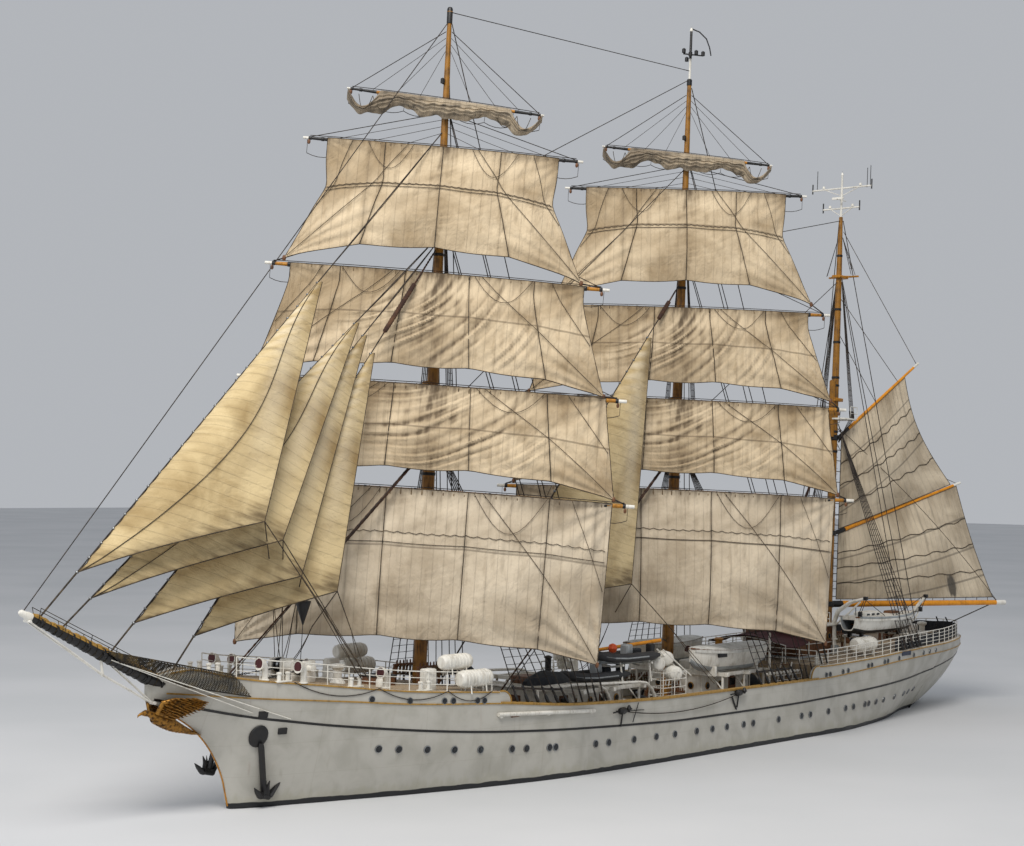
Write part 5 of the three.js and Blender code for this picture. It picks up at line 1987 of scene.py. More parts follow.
@dataclass(frozen=True)
class Mast:
    """A mast with its top, cap, crosstrees and truck."""

    plan: MastPlan
    rung: float = 0.42
    # Bent bar and lanterns at the main masthead, in the mast's frame
    bracket: tuple[Point, ...] = (
        (0, 0, 48.55), (-0.4, 0.4, 48.35), (-0.75, 0.75, 47.9), (-0.92, 0.92, 47.3), (-1.0, 1.0, 46.75),
    )
    lanterns: tuple[Point, ...] = (
        (0.3, -0.35, 47.0), (0.28, 0.2, 46.7), (-0.25, 0.3, 46.9), (0.0, -0.3, 46.45), (-0.6, 0.62, 46.85),
    )

    def truck(self, shape: Shape, top: float) -> None:
        """Adds what stands at the masthead: aerials, a lantern and a lightning rod.

        Args:
            shape: what it is added to.
            top: height of the truck.
        """
        shape.tube([(0, 0, top - 0.05), (0, 0, top + 0.12)], 0.02, STEEL, 6)
        if self.plan.name == "mizzen":
            self.aerials(shape)
            return
        lamp = [(0.05, -0.16), (0.13, -0.14), (0.13, 0.12), (0.04, 0.18)]
        shape.turned(lamp, BLACK, 12, (0.35, 0, 40.9))
        if self.plan.name == "main":
            shape.turned([(0.11, 44.55), (0.18, 44.6), (0.18, 44.98), (0.11, 45.04)], BLACK, 16)
            shape.turned([(0.02, 46.44), (0.095, 46.45), (0.085, 48.5), (0.02, 48.62)], BLACK, 12)
            shape.tube(self.bracket, 0.045, BLACK, 6)
            shape.tube([(0.3, -0.4, 46.8), (0, 0, 46.75), (-0.6, 0.65, 46.7)], 0.05, BLACK, 6)
            for place in self.lanterns:
                shape.turned(lamp, BLACK, 12, place)
        shape.tube([(0.1, 0, 40.7), (0.35, 0, 40.74)], 0.03, BLACK, 6)

    def aerials(self, shape: Shape) -> None:
        """Adds the mizzen's two short yards with their whips and lamps.

        Args:
            shape: what it is added to.
        """
        for z, half in ((39.9, 2.6), (38.35, 1.6)):
            shape.tube([(0, -half, z), (0, half, z)], 0.065, WHITE, 8)
            shape.tube([(0, -half * 0.6, z), (0, 0, z - 0.6), (0, half * 0.6, z)], 0.035, WHITE, 6)
            for side in (-1, 1):
                shape.tube([(0, side * half, z - 0.25), (0, side * half, z + 0.5)], 0.05, BLACK, 6)
                globe = [(0.0, -0.05), (0.12, 0.0), (0.1, 0.16), (0.0, 0.2)]
                shape.turned(globe, WHITE, 10, (0, side * half * 0.62, z + 0.1))
        shape.tube([(-0.6, 0, 39.0), (0.7, 0, 39.0)], 0.05, WHITE, 8)
        shape.box((0.45, -0.5, 38.95), (0.62, 0.5, 39.12), WHITE, 0.03)
        for x, y in ((-0.5, 1.9), (0.0, -2.2), (0.2, 2.6)):
            shape.tube([(x, y, 39.9), (x, y, 41.4)], 0.025, BLACK, 5)

    def pole(self, shape: Shape, top: float) -> None:
        """Adds the mast's own spar with its painted head.

        Args:
            shape: what it is added to.
            top: height of the truck.
        """
        plan = self.plan
        foot, stage, trees = plan.foot(), plan.top, plan.trees
        marks = [foot, foot + 0.3, 12, stage, stage + 1.5, stage + 1.55, 27, trees - 1, trees + 1, 36, 39.5]
        marks = [z for z in marks if z < top - 0.3] + [top - 0.25, top - 0.2, top]
        profile = [(plan.thick(z), z) for z in marks]
        profile[-2:] = [(plan.thick(top) * 1.5, top - 0.2), (plan.thick(top) * 0.8, top)]
        pale = min(plan.white, top) - 0.02
        r = plan.thick(pale)
        lower = [row for row in profile if row[1] < pale] + [(r, pale), (r * 0.6, pale + 0.01)]
        upper = [(r * 0.6, pale)] + [(wide * 0.8, z) for wide, z in profile if z > pale + 0.2]
        shape.turned(lower, MAST_OCHRE, 24)
        if len(upper) > 2:
            shape.turned(upper, WHITE, 16)
        else:
            cap = [(r, -0.9), (r + 0.05, -0.85), (r + 0.05, 0), (r, 0.1), (0.02, 0.14)]
            shape.turned([(wide, pale + rise) for wide, rise in cap], BLACK, 16)

    def build(self) -> None:
        """Builds the mast."""
        plan = self.plan
        shape = Shape()
        shape.frame = mast_frame(plan.x)
        top_z = plan.taper[-1][1]
        self.pole(shape, top_z)
        outline = rounded(-1.3, 0.55, -1.35, 1.35, 0.5, 5)
        shape.slab(outline, plan.top, plan.top + 0.12, WHITE, 0.03)
        shape.box((-0.55, -0.4, plan.top + 1.4), (0.5, 0.4, plan.top + 1.65), OCHRE)
        shape.box((-0.75, -1.3, plan.trees), (-0.6, 1.3, plan.trees + 0.12), OCHRE)
        shape.box((-0.8, -0.34, plan.trees - 0.1), (0.45, 0.34, plan.trees + 0.1), OCHRE)
        for z in (plan.top - 2.4, plan.top - 0.9, plan.top + 2.6, 25.4, 28.1, 30.6, plan.trees + 1.6):
            r = plan.thick(z)
            shape.turned([(r, -0.09), (r + 0.035, -0.07), (r + 0.035, 0.07), (r, 0.09)], BLACK, 18,
                         (0, 0, z))
        r = plan.thick(plan.top)
        shape.turned([(r * 0.8, 0), (r * 0.82, 4.2), (r * 0.5, 4.3)], MAST_OCHRE, 16,
                     (r * 1.35, 0, plan.top - 1.3))
        for side in (-1, 1):
            rail = [(-1.25, side * 0.9, 0), (-1.2, side * 1.25, 0), (-0.2, side * 1.3, 0)]
            for high in (0.5, 1.0):
                shape.tube([(x, y, plan.top + high) for x, y, _ in rail], 0.025, WHITE, 6)
            for x, y, _ in rail:
                shape.tube([(x, y, plan.top + 0.1), (x, y, plan.top + 1.0)], 0.025, WHITE, 6)
            shape.tube([(0.4, side * 0.3, plan.trees),
                        (-0.72, side * 1.25, plan.trees + 0.05)], 0.04, OCHRE, 6)
        for z in np.arange(plan.foot() + 3, plan.top - 0.6, self.rung):
            r = plan.thick(float(z))
            bow = [(-r * 0.9, -0.16, z), (-r - 0.14, -0.16, z), (-r - 0.14, 0.16, z), (-r * 0.9, 0.16, z)]
            shape.tube(bow, 0.018, STEEL, 5)
        self.truck(shape, top_z)
        enter(shape.piece(f"{plan.name}_mast_spar"), Body.SHIP, Slot.SPAR, f"{plan.name}_mast")


@dataclass(frozen=True)
class ShroudPlan:
    """Lower shrouds and backstays of one mast, as places along the ship, and heights on the mast."""

    mast: MastPlan
    first: float
    last: float
    hounds: float
    backstays: tuple[tuple[float, float], ...]
    count: int = 6

    def foot(self, x: float, side: float) -> Vector:
        """Gives the lower end of a shroud or backstay."""
        return Vector(FORM.edge(x, 0.11, 0.12, side))


SHROUDS = (
    ShroudPlan(
        MASTS["fore"], 18.3, 14.2, 19.85,
        ((13.5, 32.6), (12.9, 32.9), (12.2, 39.0), (11.6, 39.2), (10.9, 44.4))
    ),
    ShroudPlan(
        MASTS["main"], -5.6, -9.9, 19.85,
        ((-10.7, 32.6), (-11.3, 32.9), (-12.0, 39.0), (-13.0, 39.2), (-13.7, 44.4))
    ),
    ShroudPlan(MASTS["mizzen"], -24.7, -27.9, 21.9, ((-25.0, 32.6), (-26.3, 32.9), (-27.6, 37.4))),
)


@dataclass(frozen=True)
class StandingRigging:
    """Shrouds with their ratlines, backstays and stays."""

    wire: float = 0.032
    rat: float = 0.017
    spacing: float = 0.42

    def net(self, lines: Lines, wires: list[tuple[Vector, Vector]], low: float, high: float) -> None:
        """Adds ratlines across a gang of wires.

        Args:
            lines: what they are added to.
            wires: the ends of each wire.
            low: height of the lowest ratline.
            high: height of the highest.
        """
        z = low
        while z < high:
            row = []
            for a, b in wires:
                share = (z - a.z) / (b.z - a.z)
                if 0 <= share <= 1:
                    row.append(a.lerp(b, share))
            if len(row) > 1:
                lines.run(row, self.rat)
            z += self.spacing

    def lower(self, plan: ShroudPlan, side: float) -> tuple[bpy.types.Object, list[tuple[Vector, Vector]]]:
        """Makes one side's lower shrouds with ratlines, shear pole and futtock shrouds.

        Args:
            plan: the mast's shrouds.
            side: port or starboard.

        Returns:
            The piece and the ends of its wires.
        """
        lines = Lines()
        mast = plan.mast
        head = mast_frame(mast.x) @ Vector((-0.05, side * (mast.thick(plan.hounds) + 0.05), plan.hounds))
        wires = []
        for k in range(plan.count):
            x = plan.first + (plan.last - plan.first) * k / (plan.count - 1)
            foot = plan.foot(x, side)
            wires.append((foot, head))
            lines.run([foot, head], self.wire)
            lines.run([foot, foot.lerp(head, 0.045)], 0.07)
        low = wires[0][0].z
        for share in (0.048, 0.052):
            lines.run([a.lerp(b, share) for a, b in wires], 0.035)
        self.net(lines, wires, low + 1.2, plan.hounds - 0.9)
        lines.frame = mast_frame(mast.x)
        top = []
        for k in range(4):
            edge = Vector((-0.15 - 0.17 * k, side * 1.3, mast.top + 0.14))
            root = Vector((-0.16 - 0.04 * k, side * (mast.thick(18) + 0.01), mast.top - 1.7))
            lines.run([root, edge], 0.026)
            high = Vector((-0.06 - 0.035 * k, side * (mast.thick(mast.trees) + 0.02), mast.trees - 0.4))
            lines.run([edge, high], self.wire * 0.9)
            lines.run([edge, edge.lerp(high, 0.05)], 0.055)
            top.append((edge, high))
        self.net(lines, top, mast.top + 1.0, mast.trees - 1.6)
        truck = mast.taper[-1][1]
        upper = min(36.1, truck - 1.2)
        gallant = []
        for k in range(3):
            edge = Vector((-0.02 - 0.12 * k, side * (1.05 + 0.1 * k), mast.trees + 0.12))
            high = Vector((-0.05, side * (mast.thick(upper) + 0.02), upper))
            lines.run([edge, high], self.wire * 0.75)
            gallant.append((edge, high))
        self.net(lines, gallant, mast.trees + 0.6, upper - 0.9)
        label = "port" if side > 0 else "starboard"
        return lines.piece(f"{mast.name}_rigging_{label}", TARRED), wires

    def backstays(self) -> bpy.types.Object:
        """Makes the backstays of the three masts.

        Returns:
            The piece.
        """
        lines = Lines()
        for plan in SHROUDS:
            for x, height in plan.backstays:
                for side in (PORT, STARBOARD):
                    hounds = Vector((-0.05, side * (plan.mast.thick(height) + 0.03), height))
                    head = mast_frame(plan.mast.x) @ hounds
                    foot = plan.foot(x, side)
                    lines.run([foot, head], self.wire)
                    lines.run([foot, foot.lerp(head, 0.028)], 0.06)
        return lines.piece("backstays", TARRED)

    def stays(self) -> bpy.types.Object:
        """Makes the plain stays, those that carry sails among them.

        Returns:
            The piece.
        """
        lines = Lines()
        for plan in STAYSAILS:
            lines.run([plan.on_stay(0.0), plan.on_stay(1.0)], 0.036)
        fore, main, mizzen = MASTS["fore"], MASTS["main"], MASTS["mizzen"]
        spans = (
            ((48.0, 0, 10.85), fore.at(44.6)), (fore.at(20.6), main.at(38.9)),
            (fore.at(33.3), main.at(45.0)),
            (main.at(20.6), mizzen.at(32.8)), (main.at(33.2), mizzen.at(37.4)),
            (fore.at(45.1), main.at(45.6)),
            ((35.6, 0.35, 6.8), fore.at(19.6)), ((16.2, 0.35, 2.3), main.at(19.6)),
        )
        for a, b in spans:
            lines.run([a, b], 0.028)
        return lines.piece("plain_stays", TARRED)

    def wrapped(self) -> bpy.types.Object:
        """Makes the three heavy lower stays, served with hide against chafe.

        Returns:
            The piece.
        """
        shape = Shape()
        spans = (((35.8, 6.55), (20.45, 19.3)), ((16.4, 2.3), (-3.45, 19.3)),
                 ((-10.6, 2.3), (-23.5, 21.85)))
        for plan in STAYSAILS[3:]:
            a, b = plan.on_stay(plan.cloth[1] + 0.03), plan.on_stay(0.97)
            shares = np.linspace(0, 1, 60)
            thick = 0.05 + 0.09 * (shares < 0.62) * (shares > 0.03) + 0.015 * np.sin(shares * 190)
            shape.tube([a.lerp(b, float(s)) for s in shares], thick, WRAPPED, 10)
        for (x0, z0), (x1, z1) in spans:
            a, b = Vector((x0, 0, z0)), Vector((x1, 0, z1))
            shares = np.linspace(0, 1, 120)
            thick = 0.05 + 0.045 * (shares > 0.42) * (shares < 0.97) + 0.012 * np.sin(shares * 260)
            shape.tube([a.lerp(b, float(s)) for s in shares], thick, WRAPPED, 10)
        return shape.piece("wrapped_stays")

    def build(self) -> None:
        """Builds the standing rigging."""
        screws = Copies()
        for plan in SHROUDS:
            for side, label in ((PORT, "port"), (STARBOARD, "starboard")):
                rig, wires = self.lower(plan, side)
                enter(rig, Body.SHIP, Slot.WIRE, f"{plan.mast.name}_shrouds_{label}")
                for foot, head in wires:
                    screws.put(foot.lerp(head, 0.012), head - foot)
        screw = Shape()
        profile = [(0.05, -0.25), (0.1, -0.2), (0.1, 0.15), (0.06, 0.3), (0.06, 0.6), (0.1, 0.7),
                   (0.04, 0.8)]
        screw.turned(profile, BLACK, 8)
        enter(screws.piece("rigging_screws", screw, BLACK), Body.SHIP, Slot.BLACK)
        enter(self.backstays(), Body.SHIP, Slot.WIRE)
        enter(self.stays(), Body.SHIP, Slot.WIRE)
        enter(self.wrapped(), Body.SHIP, Slot.WIRE, "fore_stay", "main_stay", "mizzen_stay")


# Heights on the mast where the yards' lifts meet it
LIFTS = {"course": 21.4, "lower_topsail": 27.3, "upper_topsail": 33.2, "topgallant": 39.0, "royal": 43.9}
# How deep the clewed-up royal hangs, by the share of the yard's half length
ROYAL_DEPTH = Fair((
    (0, 1.0), (0.1, 0.9), (0.2, 1.08), (0.34, 0.7), (0.46, 0.6), (0.58, 0.95), (0.68, 1.2), (0.8, 1.35),
    (0.9, 1.1), (0.99, 0.4),
))


@dataclass(frozen=True)
class YardGear:
    """Footropes, lifts, bunt lines and lashings that go round with the yards of one mast."""

    rig: SquareRig
    # Footropes: how far behind the yard and how far below it they hang
    behind: float = 0.34
    below: float = 0.82

    def footropes(self, lines: Lines, plan: YardPlan) -> None:
        """Adds the jackstay, the footropes and their stirrups.

        Args:
            lines: what they are added to.
            plan: the yard.
        """
        half = plan.length / 2
        lines.frame = self.rig.place() @ plan.frame()
        rail = [(plan.thick(y) * 0.75, y, plan.thick(y) + 0.07)
                for y in np.linspace(-half * 0.95, half * 0.95, 25)]
        lines.run(rail, 0.022)
        for side in (-1, 1):
            count = max(3, round(half / 2.1))
            spots = np.linspace(0.13, 0.97, count + 1) * half * side
            for a, b in zip(spots[:-1], spots[1:]):
                lines.hang((-self.behind, a, -self.below), (-self.behind, b, -self.below), 0.2, 0.02, 5)
            for y in spots:
                stirrup = [(-plan.thick(y), y, 0.05), (-0.32, y, -0.4), (-self.behind, y, -self.below)]
                lines.run(stirrup, 0.014)

    def lifts(self, lines: Lines, plan: YardPlan) -> None:
        """Adds the lifts and, over the royal yard, the lines that fan down from the masthead.

        Args:
            lines: what they are added to.
            plan: the yard.
        """
        lines.frame = self.rig.place()
        half = plan.length / 2
        high = LIFTS[plan.name]
        mast = self.rig.mast
        frame = plan.frame()
        for side in (-1, 1):
            arm = frame @ Vector((-0.1, side * half * 0.955, plan.thick(half * 0.95)))
            head = Vector((0.05, side * (mast.thick(high) + 0.03), high))
            lines.run([arm, head], 0.024)
            if plan.name in ("royal", "topgallant"):
                for share, drop in ((0.26, 1.2), (0.5, 0.8), (0.74, 0.4)):
                    low = frame @ Vector((0.12, side * half * share, plan.thick(half * share)))
                    lines.run([low, Vector((0.1, side * 0.16, high - drop))], 0.015)

    def bunts(self, lines: Lines, plan: YardPlan) -> None:
        """Adds the bunt, leech and clew lines that lie on the face of a sail.

        Args:
            lines: what they are added to.
            plan: the yard that the sail hangs from.
        """
        cut = CUTS[plan.name]
        lines.frame = self.rig.place() @ plan.frame()

        def over(us: np.ndarray, vs: np.ndarray, proud: float) -> list[tuple[float, float, float]]:
            """Gives places that stand a little off the sail's face.

            Args:
                us: places across, from -1 to 1.
                vs: places down, from 0 to 1.
                proud: how far they stand off.

            Returns:
                The places in the yard's frame.
            """
            points = cut.surface(plan, us, vs)
            points[:, 0] += proud
            return [tuple(p) for p in points]

        steps = np.linspace(0, 1, 15)
        for u in cut.bunts:
            lines.run(over(np.full(15, u), steps, 0.06), 0.027)
        for side in (-1, 1):
            lines.run(over(side * np.linspace(0.99, 0.3, 15), np.linspace(0.985, 0.0, 15), 0.1), 0.019)
            lines.run(over(side * np.linspace(0.99, 0.78, 12), np.linspace(0.55, 0.0, 12), 0.08), 0.017)
            loop = np.linspace(0, 1, 12)
            lines.run(over(side * (0.25 + 0.4 * loop), 0.26 * np.sin(math.pi * loop), 0.11), 0.017)
            edge = np.linspace(0, 1, 24)
            lines.run(over(np.full(24, side * 1.0), edge, 0.0), 0.028)
        for k, v in enumerate(cut.reefs):
            across = np.linspace(-0.985, 0.985, 97)
            wave = 0.0 if k else 0.006
            lines.run(over(across, v + wave * np.sin(np.arange(97) * 2.1), 0.07), 0.02)
        wide = np.linspace(-1, 1, 41)
        lines.run(over(wide, np.ones(41), 0.0), 0.028)
        lines.run(over(wide, np.zeros(41), 0.0), 0.028)

    def sheets(self, lines: Lines) -> None:
        """Adds the short sheets from each clew to the yard below.

        Args:
            lines: what they are added to.
        """
        plans = YARDS[self.rig.mast.name]
        lines.frame = self.rig.place()
        for low, plan in zip(plans[:-2], plans[1:-1]):
            cut = CUTS[plan.name]
            for side in (-1, 1):
                clew = plan.frame() @ Vector((cut.lead, side * cut.foot, -plan.drop))
                arm = low.frame() @ Vector((0, side * low.length * 0.478, low.thick(low.length * 0.478)))
                lines.run([clew, arm], 0.04)

    def lashings(self) -> bpy.types.Object:
        """Makes the lashings that hold the sails' heads to the jackstays.

        Returns:
            The piece.
        """
        spots = Copies()
        for plan in YARDS[self.rig.mast.name]:
            if plan.name not in CUTS:
                continue
            spots.frame = self.rig.place() @ plan.frame()
            head = CUTS[plan.name].head
            for y in np.linspace(-head, head, int(head * 3.4)):
                spots.put((plan.thick(y) * 0.3, y, -plan.thick(y) * 0.1), (0, 1, 0),
                          size=plan.thick(y) / 0.2)
        band = Shape()
        band.turned([(0.2, -0.03), (0.235, -0.02), (0.235, 0.02), (0.2, 0.03)], HEMP, 8)
        return spots.piece(f"{self.rig.mast.name}_head_lashings", band, HEMP)

    def blocks(self) -> bpy.types.Object:
        """Makes the wooden blocks at the yardarms, slings and clews.

        Returns:
            The piece.
        """
        spots = Copies()
        for plan in YARDS[self.rig.mast.name]:
            spots.frame = self.rig.place() @ plan.frame()
            half = plan.length / 2
            for side in (-1, 1):
                for share in (0.955, 0.5, 0.12):
                    y = side * half * share
                    spots.put((0.12, y, -plan.thick(y) - 0.16), (0, 0, 1), size=0.8)
                if plan.name in CUTS:
                    cut = CUTS[plan.name]
                    spots.put((cut.lead, side * cut.foot, -plan.drop), (0, 0, 1))
        block = Shape()
        cheeks = [(0, 0, z) for z in (-0.17, -0.13, 0, 0.13, 0.17)]
        block.tube(cheeks, (0.03, 0.09, 0.12, 0.09, 0.03), TEAK, 8, 0.6)
        return spots.piece(f"{self.rig.mast.name}_yard_blocks", block, TEAK)

    def royal(self) -> bpy.types.Object:
        """Makes the royal, clewed up in folds below its yard.

        Returns:
            The piece.
        """
        plan = YARDS[self.rig.mast.name][-1]
        half = plan.length / 2
        columns, front = 170, 30
        rows = []
        for j in range(columns):
            y = (-0.985 + 1.97 * j / (columns - 1)) * half
            share = abs(y) / half
            gap = 0.95 * math.sin(math.pi * min(max((share - 0.66) / 0.33, 0), 1))
            depth = ROYAL_DEPTH(share + 0.03 * math.sin(y * 1.3)) * (1 + 0.08 * math.sin(y * 4.7))
            sag = max(depth - gap, 0.32)
            r = plan.thick(y)
            hold = 1 - min(gap / 0.25, 1)
            row = [(-r * hold - 0.05, -r * 0.4 * hold), (-r * hold - 0.04, r * 0.6 * hold)]
            row += [(0, (r + 0.04) * hold), (r + 0.04, r * 0.7 * hold)]
            for i in range(front):
                q = i / (front - 1)
                phase = q * 4.6 * 2 * math.pi + 0.9 * math.sin(y * 1.9) + y * 0.35
                crest = (0.5 + 0.5 * math.sin(phase)) ** 2
                swell = 0.13 * crest * math.sin(math.pi * min(q + 0.12, 1))
                x = r + 0.07 + 0.2 * math.sin(math.pi * q) + swell
                row.append((x - 0.12 * q, -0.02 - sag * q + 0.03 * math.sin(y * 9 + q * 5)))
            row += [(0.0, -sag * 0.97), (-r - 0.08, -sag * 0.7), (-r - 0.12, -sag * 0.45)]
            row.append((-r - 0.06, -(r * 0.9 * hold + 0.05)))
            rows.append([(x, y, z - gap) for x, z in row])
        points = np.array(rows).transpose(1, 0, 2)
        steps = np.linalg.norm(np.diff(points, axis=0), axis=2)
        down = np.concatenate([np.zeros((1, columns)), np.cumsum(steps, axis=0)])
        flat = np.stack([points[..., 1], down], axis=-1)
        shape = Shape()
        shape.frame = self.rig.place() @ plan.frame()
        grime = np.clip(0.2 + 0.5 * np.abs(np.sin(down * 4.2 + points[..., 1])) ** 3, 0, 1)
        shape.sheet(points, 0.018, ROYAL_CLOTH, flat, grime)
        return shape.piece(f"{self.rig.mast.name}_royal_sail")

    def build(self) -> None:
        """Builds the gear."""
        name, body = self.rig.mast.name, self.rig.body
        lines = Lines()
        for plan in YARDS[name]:
            self.footropes(lines, plan)
            self.lifts(lines, plan)
        self.sheets(lines)
        enter(lines.piece(f"{name}_yard_wires", TARRED, 4), body, Slot.WIRE)
        ropes = Lines()
        for plan in YARDS[name]:
            if plan.name in CUTS:
                self.bunts(ropes, plan)
        royal = YARDS[name][-1]
        ropes.frame = self.rig.place() @ royal.frame()
        for side in (-1, 1):
            for share, wide, sag in ((0.3, 0.2, 0.5), (0.62, 0.22, 0.75), (0.8, 0.14, 0.9)):
                a, b = ((share + way * wide / 2) * royal.length / 2 * side for way in (-1, 1))
                ropes.hang((0.26, a, -0.3), (0.26, b, -0.3), sag, 0.02, 10)
        enter(ropes.piece(f"{name}_sail_lines", DARK_ROPE, 4), body, Slot.WIRE)
        enter(self.lashings(), body, Slot.CANVAS)
        enter(self.blocks(), body, Slot.SPAR)
        sail = enter(self.royal(), body, Slot.CANVAS)
        wide = 0.97 * royal.length * METRE


@dataclass(frozen=True)
class SailLines:
    """Sheets, hanks and edge ropes of the staysails and the spankers."""

    gear: SpankerGear = SpankerGear()
    edge: float = 0.03
    line: float = 0.022
    whip: float = 0.024
    # Lines in the swung frame: place along the upper or lower gaff, and height on the mast
    upper_brails: tuple[tuple[float, float], ...] = ((3.9, 28.6), (6.0, 31.4), (7.8, 36.6))
    lower_brails: tuple[tuple[float, float], ...] = ((4.2, 20.4), (8.4, 20.9), (12.3, 21.4))
    reefs: tuple[float, ...] = (0.24, 0.47, 0.7)

    def borders(self, lines: Lines, plan: StaysailPlan | SpankerPlan, count: int, head: bool) -> None:
        """Adds the ropes along the edges of a sail.

        Args:
            lines: what they are added to.
            plan: the sail.
            count: points along an edge.
            head: whether it has a fourth edge.
        """
        steps, low, high = np.linspace(0, 1, count), np.zeros(count), np.ones(count)
        edges = [(high, steps), (steps, low), (low, steps), (steps, high)]
        for us, vs in edges if head else edges[:3]:
            lines.run([tuple(p) for p in plan.surface(us, vs)], self.edge)

    def staysail_ropes(self) -> bpy.types.Object:
        """Makes the edge ropes, sheets, halyards and downhauls of the staysails.

        Returns:
            The piece.
        """
        ropes = Lines()
        steps = np.linspace(0, 1, 40)
        for plan in STAYSAILS:
            self.borders(ropes, plan, 40, False)
            clew = Vector(plan.clew)
            lead = -1.0 if plan.name.startswith("main") else 28.4
            for side in (PORT, STARBOARD):
                foot = Vector(FORM.edge(lead, 0.3, 0.5, side))
                middle = clew.lerp(foot, 0.45)
                ropes.run([clew, middle], self.edge)
                ropes.hang(middle, foot, 0.05 if side > 0 else 0.5, self.line)
                ropes.hang(middle, foot + Vector((0.5, 0, 0)), 0.1 if side > 0 else 0.6, self.line)
            ropes.run([plan.on_stay(0.0), plan.on_stay(plan.cloth[0])], 0.05)
            ropes.hang(plan.on_stay(plan.cloth[1]), plan.on_stay(0.99), 0.1, 0.02)
            if plan.name in ("flying_jib", "outer_jib"):
                down = plan.surface(0.62 * np.sin(math.pi * steps) ** 0.8, 1 - steps)
                ropes.run([(x, y + 0.07, z) for x, y, z in down], self.line)
        return ropes.piece("staysail_ropes", DARK_ROPE)

    def hanks(self) -> bpy.types.Object:
        """Makes the hanks that hold the staysails to their stays.

        Returns:
            The piece.
        """
        spots = Copies()
        for plan in STAYSAILS:
            for k in range(plan.hanks + 1):
                share = plan.cloth[0] + (plan.cloth[1] - plan.cloth[0]) * 0.97 * k / plan.hanks
                spots.put(plan.on_stay(share), plan.on_stay(1) - plan.on_stay(0))
        hank = Shape()
        hank.turned([(0.045, -0.05), (0.09, -0.03), (0.09, 0.03), (0.045, 0.05)], STEEL, 8)
        return spots.piece("staysail_hanks", hank, STEEL)

    def spanker_ropes(self) -> bpy.types.Object:
        """Makes the edge ropes, reef lines, brails and topping lifts of the spankers.

        Returns:
            The piece.
        """
        gear = self.gear
        wires = Lines()
        wires.frame = gear.place()
        steps = np.linspace(0, 1, 30)
        for plan in SPANKERS:
            self.borders(wires, plan, 30, True)
            for v in np.linspace(0.04, 0.97, 9):
                luff = Vector(plan.surface(np.array(0.0), np.array(float(v))))
                wires.run([luff, (-gear.mast.thick(luff.z) - 0.035, 0, luff.z)], self.edge)
            for reef in self.reefs:
                row = plan.surface(steps, np.full(30, reef) + 0.012 * np.sin(steps * 40))
                row[:, 1] += 0.03
                wires.run([tuple(p) for p in row], 0.032)
                row[:, 1] -= 0.06
                wires.run([tuple(p) for p in row], 0.032)
        boom, low, high = SPARS["spanker_boom"], SPARS["lower_gaff"], SPARS["upper_gaff"]
        for aft, height in self.upper_brails:
            wires.run([high.on(aft, high.thick(aft)), (-0.33, -0.04, height)], self.whip)
        for aft, height in self.lower_brails:
            wires.run([low.on(aft) + Vector((0, -0.12, 0.05)), (-0.4, -0.05, height)], self.whip)
        end = boom.on(16.9)
        wires.run([end + Vector((0, -0.14, 0.1)), (-0.4, -0.1, 21.6)], 0.026)
        path = []
        masthead = Vector((-0.4, 0.1, 21.6))
        for s in np.linspace(0, 1, 14):
            bow = Vector((0, math.sin(math.pi * s) ** 0.9, 0))
            path.append(end.lerp(masthead, s) + bow)
        wires.run(path, self.whip)
        for aft in np.linspace(1.2, 15.8, 14):
            wires.run([boom.on(aft, boom.thick(aft)), boom.on(aft, boom.thick(aft) + 0.28)], 0.025)
        return wires.piece("spanker_ropes", DARK_ROPE)

    def tackle(self) -> None:
        """Builds the boom's sheet, which is drawn out between the deck and the boom."""
        boom = SPARS["spanker_boom"]
        high = self.gear.place() @ boom.on(15.9, -boom.thick(15.9) * 1.25)
        low = Vector((-39.9, 1.1, FORM.deck(-39.9) + 0.9))
        tackle = Lines()
        for shift in (-0.09, 0.0, 0.09):
            tackle.run([high + Vector((shift, 0, 0)), low + Vector((shift, 0, 0))], self.edge)
        rope = tackle.piece("boom_sheet_tackle", DARK_ROPE)
        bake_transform(rope)

    def build(self) -> None:
        """Builds the lines."""
        enter(self.staysail_ropes(), Body.SHIP, Slot.WIRE)
        enter(self.hanks(), Body.SHIP, Slot.WIRE)
        enter(self.spanker_ropes(), Body.SPANKER_GEAR, Slot.WIRE)
        self.tackle()


